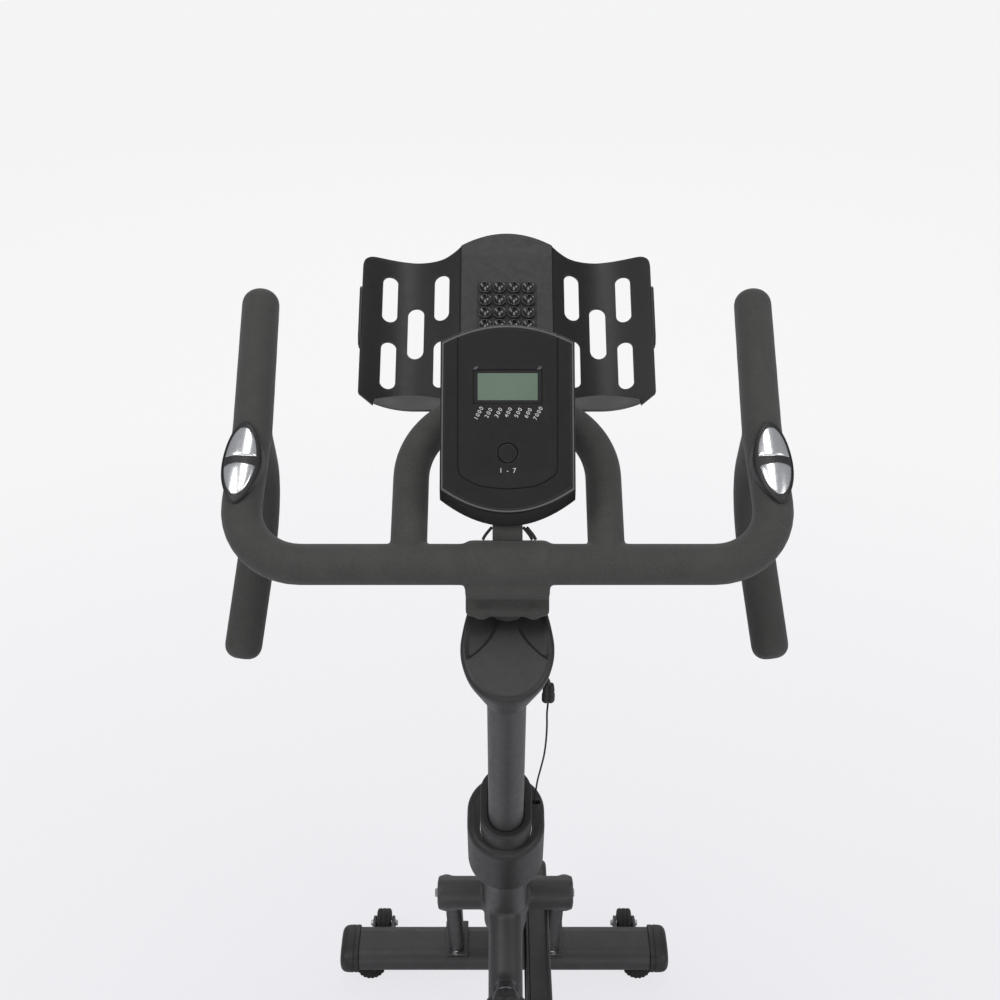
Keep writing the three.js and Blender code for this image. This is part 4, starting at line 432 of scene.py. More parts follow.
class Surface:
    """A node material whose colour, roughness and bump vary over the object's own coordinates."""

    def __init__(self, name, colour, roughness, metallic=0.0, **constants):
        self.material = bpy.data.materials.new(name)
        self.material.use_nodes = True
        self.tree = self.material.node_tree
        self.shader = self.tree.nodes["Principled BSDF"]
        self.set("Base Color", (*colour, 1))
        self.set("Roughness", roughness)
        self.set("Metallic", metallic)
        for socket, value in constants.items():
            self.set(socket.replace("_", " "), value)
        self.colour = colour
        self.place = self.node("ShaderNodeTexCoord").outputs["Object"]
        self.normal = None

    def set(self, socket, value):
        self.shader.inputs[socket].default_value = value

    def node(self, kind, **settings):
        node = self.tree.nodes.new(kind)
        for key, value in settings.items():
            if key in node.inputs:
                node.inputs[key].default_value = value
            else:
                setattr(node, key, value)
        return node

    def link(self, out, into):
        self.tree.links.new(out, into)

    def textured(self, texture, output, size, stretch=(1, 1, 1)):
        """A texture whose features are about `size` millimetres across."""
        mapping = self.node("ShaderNodeMapping", Scale=[s / (size * MM) for s in stretch])
        self.link(self.place, mapping.inputs["Vector"])
        self.link(mapping.outputs["Vector"], texture.inputs["Vector"])
        return texture.outputs[output]

    def noise(self, size, detail=3.0, roughness=0.55, stretch=(1, 1, 1)):
        texture = self.node("ShaderNodeTexNoise", Scale=1.0, Detail=detail, Roughness=roughness)
        return self.textured(texture, "Fac", size, stretch)

    def cells(self, size, feature="F1"):
        texture = self.node("ShaderNodeTexVoronoi", Scale=1.0)
        texture.feature = feature
        return self.textured(texture, "Distance", size)

    def ramp(self, factor, stops):
        ramp = self.node("ShaderNodeValToRGB")
        elements = ramp.color_ramp.elements
        while len(elements) < len(stops):
            elements.new(0.5)
        for element, (at, value) in zip(elements, stops):
            element.position = at
            element.color = (*value, 1) if isinstance(value, tuple) else (value, value, value, 1)
        self.link(factor, ramp.inputs["Fac"])
        return ramp.outputs["Color"]

    def tint(self, factor, low, high, span=(0.3, 0.7)):
        """Colour from `low` to `high` times the base colour as the factor rises."""
        stops = [(span[0], tuple(c * low for c in self.colour)),
                 (span[1], tuple(c * high for c in self.colour))]
        self.link(self.ramp(factor, stops), self.shader.inputs["Base Color"])
        return self

    def mix_in(self, factor, colour, span, amount=1.0):
        """Lays a second colour over the present one where the factor is high."""
        mask = self.ramp(factor, [(span[0], 0.0), (span[1], amount)])
        mix = self.node("ShaderNodeMix", data_type="RGBA")
        socket = self.shader.inputs["Base Color"]
        if socket.is_linked:
            self.link(socket.links[0].from_socket, mix.inputs[6])
        else:
            mix.inputs[6].default_value = (*self.colour, 1)
        mix.inputs[7].default_value = (*colour, 1)
        self.link(mask, mix.inputs[0])
        self.link(mix.outputs[2], socket)
        return self

    def rough(self, factor, low, high, span=(0.3, 0.7)):
        self.link(self.ramp(factor, [(span[0], low), (span[1], high)]), self.shader.inputs["Roughness"])
        return self

    def bump(self, height, depth, strength=1.0):
        """A bump of `depth` millimetres, laid over the ones before it."""
        bump = self.node("ShaderNodeBump", Strength=strength, Distance=depth * MM)
        self.link(height, bump.inputs["Height"])
        if self.normal:
            self.link(self.normal, bump.inputs["Normal"])
        self.normal = bump.outputs["Normal"]
        self.link(self.normal, self.shader.inputs["Normal"])
        return self

    def edge_wear_and_highlight(self, colour, amount):
        """Paler raised edges: wear, and where the amount is raised, as on the console, a painted highlight.
        """
        raised = self.node("ShaderNodeNewGeometry").outputs["Pointiness"]
        return self.mix_in(raised, colour, (0.53, 0.6), amount)


def foam():
    s = Surface("bar_coating", (0.043, 0.043, 0.0405), 0.82, Sheen_Weight=0.12, Specular_IOR_Level=0.35)
    grain = s.noise(0.9, 4.0, 0.65)
    s.tint(grain, 0.72, 1.35, (0.32, 0.7))
    s.mix_in(s.noise(42, 2.0), (0.06, 0.06, 0.056), (0.5, 0.75), 0.35)
    s.rough(s.noise(14), 0.76, 0.9)
    s.bump(grain, 0.16, 0.75).bump(s.noise(4.5, 2.0), 0.12, 0.5)
    return s.material


def paint():
    s = Surface("powder_paint", (0.04, 0.04, 0.041), 0.46, Specular_IOR_Level=0.45)
    peel = s.noise(1.3, 3.0, 0.6)
    s.tint(s.noise(30, 3.0), 0.9, 1.12)
    s.rough(s.noise(9), 0.42, 0.54)
    s.bump(peel, 0.05, 0.5)
    s.edge_wear_and_highlight((0.075, 0.075, 0.076), 0.3)
    return s.material


def moulded(name, colour, roughness, grain=0.45, depth=0.05, edge=0.35, shine=0.42):
    s = Surface(name, colour, roughness, Specular_IOR_Level=shine)
    s.tint(s.noise(24, 3.0), 0.95, 1.06)
    s.rough(s.noise(6), roughness - 0.03, roughness + 0.05)
    s.bump(s.cells(grain), depth, 0.55).bump(s.noise(38, 2.0), 0.08, 0.1)
    s.edge_wear_and_highlight(tuple(c * 2.4 for c in colour), edge)
    return s.material


def glossy(name, colour=(0.011, 0.011, 0.012), roughness=0.14):
    s = Surface(name, colour, roughness, Coat_Weight=0.4, Coat_Roughness=0.08)
    s.rough(s.noise(9, 4.0), roughness - 0.03, roughness + 0.08)
    s.bump(s.noise(7, 2.0), 0.03, 0.2)
    return s.material


def chrome():
    s = Surface("chromed_steel", (0.82, 0.83, 0.84), 0.06, 1.0)
    s.rough(s.noise(5, 5.0, 0.7), 0.22, 0.3, (0.35, 0.75))
    s.bump(s.noise(9, 1.0), 0.01, 0.05)
    return s.material


def metal(name, colour, roughness, streak=(1, 1, 1), size=1.2, depth=0.02):
    s = Surface(name, colour, roughness, 1.0)
    lines = s.noise(size, 5.0, 0.7, streak)
    s.tint(lines, 0.82, 1.1)
    s.rough(lines, roughness - 0.08, roughness + 0.1)
    s.bump(lines, depth, 0.4)
    return s.material


def iron():
    s = Surface("cast_iron_paint", (0.052, 0.053, 0.056), 0.5, 0.35)
    s.tint(s.noise(11, 4.0), 0.8, 1.25)
    s.rough(s.noise(7), 0.42, 0.6)
    s.bump(s.noise(2.2, 5.0, 0.7), 0.14, 0.5)
    s.edge_wear_and_highlight((0.2, 0.2, 0.21), 0.4)
    return s.material


def rubber():
    s = Surface("black_rubber", (0.018, 0.018, 0.018), 0.74)
    s.tint(s.noise(12, 4.0), 0.8, 1.3)
    s.rough(s.noise(5), 0.68, 0.82)
    s.bump(s.noise(0.8, 3.0), 0.05, 0.5)
    return s.material


def vinyl():
    s = Surface("saddle_vinyl", (0.022, 0.022, 0.022), 0.52, Specular_IOR_Level=0.4)
    pebbles = s.cells(1.7, "SMOOTH_F1")
    s.tint(s.noise(26, 3.0), 0.85, 1.2)
    s.rough(s.noise(8), 0.46, 0.6)
    s.bump(pebbles, 0.35, 0.35).bump(s.noise(0.6, 3.0), 0.05, 0.35)
    return s.material


def felt():
    s = Surface("felt", (0.2, 0.185, 0.165), 0.95, Sheen_Weight=0.4)
    fibre = s.noise(1.2, 6.0, 0.75, (1, 3, 1))
    s.tint(fibre, 0.7, 1.25)
    s.bump(fibre, 0.4, 0.8)
    return s.material


def display():
    s = Surface("display", (0.115, 0.163, 0.118), 0.3, Coat_Weight=0.6, Coat_Roughness=0.1)
    s.tint(s.noise(60, 1.0), 0.93, 1.08)
    s.bump(s.noise(0.35, 1.0, 0.5), 0.01, 0.2)
    return s.material


def thread():
    s = Surface("sewing_thread", (0.06, 0.06, 0.06), 0.7)
    s.tint(s.noise(0.5, 2.0), 0.8, 1.3)
    return s.material


def print_ink(name, shade):
    s = Surface(name, (shade, shade, shade * 0.97), 0.6)
    s.tint(s.noise(0.7, 3.0), 0.85, 1.05)
    return s.material


FOAM = foam()
PAINT = paint()
PLASTIC = moulded("moulded_plastic", (0.0205, 0.0205, 0.0212), 0.48)
# edges paled twice as much as for wear alone: partly a painted highlight on the console's rims
CONSOLE_PLASTIC = moulded("console_plastic", (0.0095, 0.0094, 0.0092), 0.46, 0.35, 0.02, 0.7, 0.32)
# pale bead colour: a painted highlight on the console's rim
RIM_PAINTED_HIGHLIGHT = moulded("rim_painted_highlight", (0.075, 0.075, 0.073), 0.4, 0.35, 0.02, 0.3, 0.5)
HOLDER_PLASTIC = moulded("holder_plastic", (0.0085, 0.0085, 0.0088), 0.42, 0.5, 0.04, 0.5, 0.34)
# pale ledge colour: a painted reflection of the bright backdrop on the holder's dark plastic
LEDGE_PAINTED_REFLECTION = moulded("ledge_painted_reflection", (0.062, 0.062, 0.063), 0.7, 0.5, 0.04, 0.3)
GLOSS = glossy("gloss_black")
CUP_RUBBER = glossy("cup_rubber", (0.007, 0.007, 0.007), 0.17)
CHROME = chrome()
STEEL = metal("turned_steel", (0.46, 0.47, 0.48), 0.32, (1, 8, 8))
ALLOY = metal("satin_alloy", (0.52, 0.53, 0.54), 0.36, (1, 1, 1), 0.9, 0.03)
IRON = iron()
RUBBER = rubber()
VINYL = vinyl()
FELT = felt()
DISPLAY = display()
THREAD = thread()
INK = print_ink("white_print", 0.62)
DIM_INK = print_ink("dim_print", 0.25)


def dress(obj, material, body, *replaced):
    """Gives a piece its material and its body, and hides the CAD nodes that it stands for."""
    obj.data.materials.clear()
    obj.data.materials.append(material)
    if material not in (FOAM, VINYL, FELT, THREAD, INK, DIM_INK, CHROME):
        flat = obj.modifiers.new("flat_faces", "WEIGHTED_NORMAL")
        flat.keep_sharp = True
        settle(obj)
    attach(obj, body)
    if replaced:
        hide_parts(*replaced)
    return obj


# ---------------------------------------------------------------- camera, light and stage

PITCH = 32                                  # degrees that the camera looks down
EYE = BAR + Vector((-6.5, -988, 683))
LAMPS = [                                   # place and size in metres, and watts
    ("key", (-1.9, -0.9, 3.1), (1.2, 1.6), 31), ("fill", (2.4, -1.2, 2.3), (1.4, 1.8), 25),
    ("top", (0, 0.1, 3.5), (0.9, 2.4), 23), ("front", (0, 4.2, 2.4), (3.0, 1.6), 30),
    ("low", (0, -2.6, 0.9), (2.5, 1.2), 20),
]
FLOOR_FRONT, WALL_BACK, WALL_TOP = -9.0, 7.0, 7.0   # backdrop, in metres
FLOOR_CURVE, FLOOR_HALF = 2.5, 12.0
AMBIENT, BACKGROUND = 0.34, 0.905           # world's strength on the bike, and behind it
GLOW_SHARE, GLOW_REACH = 0.88, 8            # glow's part in the floor, and its reach in metres
FLOOR_GLOW_PAINTED_SHADOW = [(0.0, (0.8, 0.795, 0.84)), (0.08, (0.87, 0.865, 0.9)), (0.3, (0.97, 0.97, 0.975)),
              (0.8, (0.985, 0.985, 0.985))]  # outward from the bike, dimmer near it as a painted shadow


def camera():
    data = bpy.data.cameras.new("camera")
    data.lens = 50
    data.sensor_width = 36
    data.clip_end = 100
    obj = added("camera", data)
    obj.location = EYE * MM
    obj.rotation_euler = (math.radians(90 - PITCH), 0, 0)
    bpy.context.scene.camera = obj


def area_light(name, at, size, watts):
    """A soft lamp that looks at the handlebar."""
    data = bpy.data.lights.new(name, "AREA")
    data.shape = "RECTANGLE"
    data.size, data.size_y = size
    data.energy = watts
    obj = added(name, data)
    obj.location = at
    obj.rotation_euler = (BAR * MM - Vector(at)).to_track_quat("-Z", "Y").to_euler()


def sweep_backdrop():
    """A pale floor that curves up into a wall far behind the bike, its glow dimmed round the bike as a
    painted shadow.
    """
    start = WALL_BACK - FLOOR_CURVE
    bend = arc(start, FLOOR_CURVE, FLOOR_CURVE, -90, 0, 16)
    profile = [(FLOOR_FRONT, 0.0)] + bend + [(WALL_BACK, WALL_TOP)]
    verts = [(x / MM, y / MM, z / MM) for x in (-FLOOR_HALF, FLOOR_HALF) for y, z in profile]
    count = len(profile)
    faces = [(i, i + 1, count + i + 1, count + i) for i in range(count - 1)]
    floor = new_piece("studio_floor", verts, faces)
    surface = Surface("studio_paper", (0.84, 0.84, 0.86), 0.85)
    surface.tint(surface.noise(900, 2.0), 0.985, 1.0)
    surface.bump(surface.noise(3, 2.0), 0.05, 0.1)
    tree, shader = surface.tree, surface.shader
    flat = surface.node("ShaderNodeVectorMath", operation="MULTIPLY")
    flat.inputs[1].default_value = (1 / GLOW_REACH, 1 / GLOW_REACH, 0)
    surface.link(surface.place, flat.inputs[0])
    away = surface.node("ShaderNodeVectorMath", operation="LENGTH")
    surface.link(flat.outputs[0], away.inputs[0])
    # the glow dims toward the bike: a painted shadow on the floor
    glow = surface.node("ShaderNodeEmission")
    surface.link(surface.ramp(away.outputs["Value"], FLOOR_GLOW_PAINTED_SHADOW), glow.inputs["Color"])
    paths = surface.node("ShaderNodeLightPath")
    shown = surface.node("ShaderNodeMixShader")
    shown.inputs[0].default_value = GLOW_SHARE
    surface.link(shader.outputs[0], shown.inputs[1])
    surface.link(glow.outputs[0], shown.inputs[2])
    choice = surface.node("ShaderNodeMixShader")
    surface.link(paths.outputs["Is Camera Ray"], choice.inputs[0])
    surface.link(shader.outputs[0], choice.inputs[1])
    surface.link(shown.outputs[0], choice.inputs[2])
    surface.link(choice.outputs[0], tree.nodes["Material Output"].inputs["Surface"])
    floor.data.materials.append(surface.material)


def world():
    sky = bpy.data.worlds.new("studio")
    bpy.context.scene.world = sky
    sky.use_nodes = True
    tree = sky.node_tree
    background = tree.nodes["Background"]
    background.inputs["Color"].default_value = (0.95, 0.96, 1.0, 1)
    background.inputs["Strength"].default_value = AMBIENT
    paths = tree.nodes.new("ShaderNodeLightPath")
    white = tree.nodes.new("ShaderNodeBackground")
    white.inputs["Color"].default_value = (1, 1, 1, 1)
    white.inputs["Strength"].default_value = BACKGROUND
    mix = tree.nodes.new("ShaderNodeMixShader")
    tree.links.new(paths.outputs["Is Camera Ray"], mix.inputs[0])
    tree.links.new(background.outputs[0], mix.inputs[1])
    tree.links.new(white.outputs[0], mix.inputs[2])
    tree.links.new(mix.outputs[0], tree.nodes["World Output"].inputs["Surface"])


def studio():
    world()
    sweep_backdrop()
    for name, at, size, watts in LAMPS:
        area_light(name, at, size, watts)
    bpy.context.scene.view_settings.view_transform = "Standard"


camera()
studio()


# ---------------------------------------------------------------- sensor wire

# Route down the right of the post: across, forward and down the post from the bar.
WIRE_ROUTE = [
    (41.5, 12, 237.4), (41.5, 13, 245), (41.2, 14.5, 265), (41.8, 15, 290), (41.6, 15, 318),
    (40.3, 15, 347), (37.4, 15, 375), (34.6, 15, 400), (33, 15, 425), (32.4, 15, 450), (32.4, 15, 500),
]
POST_LINE = leaned(POST_LEAN, BAR)
SEAT_LINE = leaned(SEAT_LEAN, SEAT_FOOT)


def post_point(x, forward, down):
    return POST_LINE @ Vector((x, forward, -down))


def sensor_wire():
    path = curve_through([post_point(*p) for p in WIRE_ROUTE], 8)
    tube = sweep("sensor_wire_cord", path, circle(1.0, 12))
    dress(tube, RUBBER, "bar_post", "sensor_wire")
    length = sum((b - a).length for a, b in zip(path, path[1:])) * MM
    return tube, path, length


wire, wire_path, wire_length = sensor_wire()


# ---------------------------------------------------------------- handlebar

SIDE_RISE = math.radians(32)
SIDE_RUN = Vector((0, math.cos(SIDE_RISE), math.sin(SIDE_RISE)))
KINK_RUN, KINK_IN = 131, 6.5               # bend of the side tubes, along them and inward
LOOP_RISE = math.radians(28)
LOOP_HALF, LOOP_REACH, LOOP_RADIUS = 86, 162, 16.25
SLEEVE_HALF, SLEEVE_RADIUS = 35.5, 21
TUBE_TIP = (247, 133)                       # end of the side tubes, forward and up
DROP_BEND, DROP_TIP = (-1, 170, -33), (18, 79, -150)     # outward from the side tubes, forward and up
NECK, NECK_HOLE, PLUG = (29.4, 39.4), (30.8, 40.8), (31.2, 63.2)


def side_kink(side):
    return BAR + Vector((side * (HALF_SPAN - KINK_IN), 0, 0)) + SIDE_RUN * KINK_RUN


def main_bar(name="bar", inset=0):
    """Cross bar with its raised side tubes, thinner by `inset` where it serves as a cutter."""
    tips = [BAR + Vector((side * HALF_SPAN, *TUBE_TIP)) for side in (-1, 1)]
    corners = [tips[0], side_kink(-1), BAR - Vector((HALF_SPAN, 0, 0)), BAR + Vector((HALF_SPAN, 0, 0)),
               side_kink(1), tips[1]]
    path, scale = round_ended(bent_path(corners, [150, 55, 55, 150]), start=True)
    size = (FOAM_RADIUS - inset) / FOAM_RADIUS
    return sweep(name, path, circle(FOAM_RADIUS), up=(0, -0.5, 0.8), scale=[s * size for s in scale])


def drop_handle(side):
    bend, tip = (BAR + Vector((side * (HALF_SPAN + out), y, z)) for out, y, z in (DROP_BEND, DROP_TIP))
    path = bent_path([side_kink(side) - SIDE_RUN * 4, bend, tip], [95], 16)
    path, scale = round_ended(path)
    return sweep("drop", path, circle(FOAM_RADIUS), scale=scale)


def loop_point(x, reach):
    """A point in the inner loop's own plane."""
    return BAR + Vector((x, reach * math.cos(LOOP_RISE), reach * math.sin(LOOP_RISE)))


def loop_tube(name, radius):
    corners = [loop_point(x * LOOP_HALF, y * LOOP_REACH) for x, y in ((-1, 0), (-1, 1), (1, 1), (1, 0))]
    return sweep(name, bent_path(corners, [75, 75], 18), circle(radius), up=(0, 0.5, -0.88))


def bracket():
    """Welded foot under the sleeve: a lip, a shallow hollow and the flange over the bolts."""
    spine = [(0, -19.5), (-22.5, -4), (-27.5, -10), (-26.5, -15), (-21, -19.5), (-21.5, -26), (-28.5, -32),
             (-29, -37), (-24, -40.5), (-14, -41), (20, -40), (27, -36), (24, -22), (21, 0)]
    smooth = curve_through([(0, y, z) for y, z in spine[1:]], 5)
    outline = [(p.y, p.z) for p in smooth]
    rings = []
    for x, shrink in ((-36.5, 3.2), (-35.2, 1.0), (-33, 0), (33, 0), (35.2, 1.0), (36.5, 3.2)):
        rings.append([BAR + Vector((x, y * (1 - shrink / 40), z * (1 - shrink / 60))) for y, z in outline])
    block = loft("bracket", rings, fan=False)
    return place(block, leaned(POST_LEAN, BAR) @ Matrix.Translation(-BAR))


def sleeve_ring():
    ends = [(SLEEVE_HALF + 1.5, 18.2), (SLEEVE_HALF - 1, 20.4), (SLEEVE_HALF - 4, SLEEVE_RADIUS)]
    stations = [(-x, radius) for x, radius in ends] + ends[::-1]
    return loft("sleeve", [[BAR + Vector((x, a, b)) for a, b in circle(radius, 48)]
                           for x, radius in stations])


def bolt_bump(side):
    """Dome of a bolt head under the bracket's lower edge."""
    head = turned("bolt", [(0, -4), (7.5, -4), (7.5, 0), (6.6, 2.4), (4, 4), (0, 4.6)], 24)
    at = post_point(side * 22.5, -27, 35)
    return place(head, Matrix.Translation(at) @ spin("X", 1.9))


def bar_foot():
    """Neck under the bracket and the plug that stands in the post."""
    parts = (prism("neck", flat_oval(*NECK), -66, -25), prism("plug", flat_oval(*PLUG), -91, -63))
    return [place(part, POST_LINE) for part in parts]


def handlebar():
    parts = [main_bar(), drop_handle(-1), drop_handle(1), loop_tube("loop", LOOP_RADIUS), sleeve_ring(),
             bracket(), bolt_bump(-1), bolt_bump(1), *bar_foot()]
    dress(melted("handlebar_coated", 1.9, 9, *parts), FOAM, "bar_post", "handlebar")


handlebar()


# ---------------------------------------------------------------- pulse sensors

SENSOR_ALONG = 90
DOME = (20, 60, 19)                         # across the tube, along it, and out of it
DOME_LIFT = 6
SENSOR_FACE = (18.8, 41)
BAND_HALF = 4.6
PLATE_SIZE, PLATE_POWER = (14.4, 33.0), 2.0
PLATE_SINK = -0.35                          # bed of the contact areas, from the dome
SENSOR_STEPS, PLATE_GRID = 72, (28, 30)


def sensor_frame(side):
    inward = KINK_IN * SENSOR_ALONG / KINK_RUN
    at = BAR + Vector((side * (HALF_SPAN - inward), 0, 0)) + SIDE_RUN * SENSOR_ALONG
    turn = spin("Z", side * math.atan(KINK_IN / KINK_RUN))
    tilt = spin("X", SIDE_RISE) @ turn @ spin("Y", side * math.radians(8))
    return Matrix.Translation(at) @ tilt


def dome_height(x, y, raised=0.0):
    a, b, c = DOME
    inside = max(0.0, 1 - (x / a) ** 2 - (y / b) ** 2)
    return DOME_LIFT + (c + raised) * math.sqrt(inside)


def leaf(half_x, half_y, turn, power=1.72):
    """A point on an outline with softly pointed ends."""
    c, s = squared(turn, power)
    narrow = 1 - 0.1 * max(0.0, -math.sin(turn)) ** 2
    return half_x * c * narrow, half_y * s


def sensor_base(name, side):
    """Domed housing with a rolled rim, hollowed to sit on the tube."""
    half_x, half_y = SENSOR_FACE
    rings = []
    for grow, lift in ((0, 0), (0.2, 2.2), (0.1, 3.0), (-0.5, 3.7)):
        line = [leaf(half_x + grow - 0.4, half_y + grow - 0.6, turn) for turn in turns(SENSOR_STEPS)]
        rings.append([(x, y, dome_height(x * 0.94, y * 0.94) - 3.6 + lift if lift else 6) for x, y in line])
    for inset in (1.5, 2.6, 6, 10, 14):
        line = [leaf(half_x - inset, half_y - inset * 1.4, turn) for turn in turns(SENSOR_STEPS)]
        rings.append([(x, y, dome_height(x, y, PLATE_SINK)) for x, y in line])
    return cut(loft(name, rings), place(main_bar("core", inset=0.6), sensor_frame(side).inverted()))


def turn_at(half_x, half_y, y):
    """Where the outline reaches a height, as its angle."""
    low, high = -math.pi / 2, math.pi / 2
    for _ in range(40):
        middle = (low + high) / 2
        below = leaf(half_x, half_y, middle, PLATE_POWER)[1] < y
        low, high = (middle, high) if below else (low, middle)
    return low


def sensor_plate(name, low, high):
    """A chrome patch of the dome between two lines across it."""
    columns, rows = PLATE_GRID
    start, end = turn_at(*PLATE_SIZE, low), turn_at(*PLATE_SIZE, high)
    upward = 1 if low > 0 else -1
    top, bottom = [], []
    for j in range(rows + 1):
        width, y = leaf(*PLATE_SIZE, start + (end - start) * j / rows, PLATE_POWER)
        near = 1 - j / rows if low > 0 else j / rows
        for i in range(columns + 1):
            u = -math.cos(math.pi * i / columns)
            x = width * u
            bow = 1.5 * upward * (u * u - 1) * near ** 3
            rim = min(1.0, 5 * (1 - abs(u)), 7 * j / rows, 7 * (1 - j / rows))
            bed = dome_height(x, y, PLATE_SINK)
            top.append((x, y + bow, bed + 0.75 * math.sqrt(max(0.0, 1 - (1 - rim) ** 2))))
            bottom.append((x, y + bow, bed - 0.5))
    wide, count = columns + 1, len(top)
    faces = []
    for j in range(rows):
        for i in range(columns):
            a, b, c, d = j * wide + i, j * wide + i + 1, (j + 1) * wide + i + 1, (j + 1) * wide + i
            faces += [(a, b, c, d), (count + d, count + c, count + b, count + a)]
    border = (list(range(wide)) + [j * wide + columns for j in range(1, rows + 1)]
              + [rows * wide + i for i in range(columns - 1, -1, -1)]
              + [j * wide for j in range(rows - 1, 0, -1)])
    faces += [(a, count + a, count + b, b) for a, b in zip(border, border[1:] + border[:1])]
    return outward(new_piece(name, top + bottom, faces))


def pulse_sensors():
    end = PLATE_SIZE[1] - 0.15
    for side, label in SIDES:
        where = sensor_frame(side)
        base = place(sensor_base(f"pulse_sensor_rim_{label}", side), where)
        dress(eased(base, 0, sharp=50), PLASTIC, "bar_post", f"pulse_sensor_base_{label}")
        plates = merged(f"pulse_sensor_contacts_{label}",
                        sensor_plate("upper", BAND_HALF + 0.4, end), sensor_plate("lower", -end, -BAND_HALF))
        dress(place(plates, where), CHROME, "bar_post", f"pulse_sensor_plate_{label}")


pulse_sensors()


# ---------------------------------------------------------------- console

CONSOLE = leaned(math.radians(58), BAR + Vector((0, 46, 111)))
FRONT_DEPTH, CONSOLE_DEPTH, STEM_HALF = 14, 34, 13
LCD = (0, 33.5, 51, 23)                     # centre and size of the display
BUTTON_Y, BUTTON_RADIUS = -23, 8.2
GROOVE_HALF, GROOVE_TOP = 43, 95
FACE_FOOT = (-54.9, -74.2)                  # lower edge of the face, at its corners and its middle
LEAD_ROUTE = [(13.6, 16.5, 27.5), (16.5, 15.6, 24), (19.2, 14.0, 21), (21.4, 12.2, 17.5)]   # from the bar


def console_ring(grow, z, bottom, apex, steps=22):
    """Bowed top and bottom edges between straight sides, with softened corners."""
    ring = []

    def bowed(half, y, peak, first, last):
        for k in range(steps + 1):
            x = half * (first + (last - first) * k / steps)
            ring.append((x, y + (peak - y) * (1 - (x / half) ** 2), z))

    bowed(56.6 + grow, 72 + grow, 86 + grow, 1, -1)
    ring.append((-57.2 - grow, 4, z))
    bowed(57.6 + grow, bottom - grow, apex - grow, -1, 1)
    ring.append((57.2 + grow, 4, z))
    return ring


def panel_line(inset):
    """Outline of the console's inset panel, open at the top edge."""
    half = GROOVE_HALF - inset
    left = curve_through([(-half, -32, 0), (-half + 0.6, -38, 0), (-half + 4, -43.5 + inset * 0.7, 0),
                          (-half * 0.55, -51.5 + inset, 0), (0, -54.2 + inset, 0)], 6)
    right = [Vector((-p.x, p.y, 0)) for p in reversed(left)][1:]
    return [(-half, GROOVE_TOP)] + [(p.x, p.y) for p in left + right] + [(half, GROOVE_TOP)]


def console_front():
    rows = [(0, -FRONT_DEPTH, -62.5, -85), (0.45, -FRONT_DEPTH + 0.6, -62.5, -85),
            (0.5, -FRONT_DEPTH + 3.2, -62.2, -84.6), (0.45, -7, -59.4, -80.0)]
    rows += [(-2.4 + 2.8 * math.cos(turn), -2.4 + 2.9 * math.sin(turn), *FACE_FOOT)
             for turn in (math.pi / 2 * k / 7 for k in range(8))]
    rows += [(-3.1, 0.42, *FACE_FOOT), (-3.7, 0.15, *FACE_FOOT), (-4.1, 0, *FACE_FOOT)]
    shell = loft("console_face", [console_ring(*row) for row in rows], fan=False)
    groove = prism("groove", panel_line(0) + list(reversed(panel_line(1.15))), -1.3, 3)
    x, y, width, height = LCD
    window = place(prism("window", rounded_rect(width + 8, height + 6.4, 1.4), -2.6, 3), shift(x, y, 0))
    mouth = BUTTON_RADIUS + 0.45
    bore = turned("bore", [(0, -11), (mouth, -11), (mouth, -0.6), (mouth + 0.85, 0.02), (mouth + 0.85, 3),
                           (0, 3)], 48)
    cut(shell, groove, window, place(bore, shift(0, BUTTON_Y, 0)))
    dress(place(eased(shell, 0.18, 2, sharp=28), CONSOLE), CONSOLE_PLASTIC, "bar_post", "console_front")


def console_rim():
    """Thin bead round the console's face, a little proud of it; its pale colour is a painted highlight along
    the rim.
    """
    rings = [console_ring(-1.6 + 0.75 * math.cos(turn), 0.3 + 0.75 * math.sin(turn), *FACE_FOOT)
             for turn in turns(10)]
    bead = hoop("console_rim", looped(rings))
    dress(place(bead, CONSOLE), RIM_PAINTED_HIGHLIGHT, "bar_post")


def console_display():
    x, y, width, height = LCD
    at = CONSOLE @ shift(x, y, 0)
    frame_plate = eased(prism("display_frame", rounded_rect(width + 7.6, height + 6, 1.3), -2.4, -1.0), 0.3,
                        2)
    dress(place(frame_plate, at), CONSOLE_PLASTIC, "bar_post")
    glass = eased(prism("display_glass", rounded_rect(width, height, 0.7), -1.3, -0.72), 0.12, 2)
    dress(place(glass, at), DISPLAY, "bar_post", "console_lens")
    marks = []
    for side in (-1, 1):
        for k in (0, 1):
            spot = shift(side * (width / 2 + 1.6) + 1.5 * k - 0.8, height / 2 + 4.3, 0)
            tick = prism("tick", rounded_rect(0.42, 3.4, 0.2, 2), 0.0, 0.07)
            marks.append(place(tick, at @ spot @ spin("Z", math.radians(-36))))
    dress(merged("display_ticks", *marks), DIM_INK, "bar_post")


def figures(text, size, x, y, turn=0.0):
    """Plain printed figures on the console's face."""
    data = bpy.data.curves.new("figure", "FONT")
    data.body = text
    data.size = size * MM
    data.extrude = 0.03 * MM
    data.align_x = "CENTER"
    data.align_y = "CENTER"
    data.space_character = 1.3
    text_object = added("figure", data)
    mesh = mesh_of(text_object)
    bpy.data.objects.remove(text_object)
    bpy.data.curves.remove(data)
    return place(added("figure", mesh), CONSOLE @ shift(x, y, 0.035) @ spin("Z", math.radians(turn)))


def console_print():
    rows = [figures(text, 4.9, -24.5 + 8.4 * k, 11.5 - 0.25 * abs(k - 3), 62)
            for k, text in enumerate(("1000", "200", "300", "400", "500", "600", "7000"))]
    dress(merged("console_figures", *rows, figures("1 - 7", 5.8, 0, -38)), INK, "bar_post")


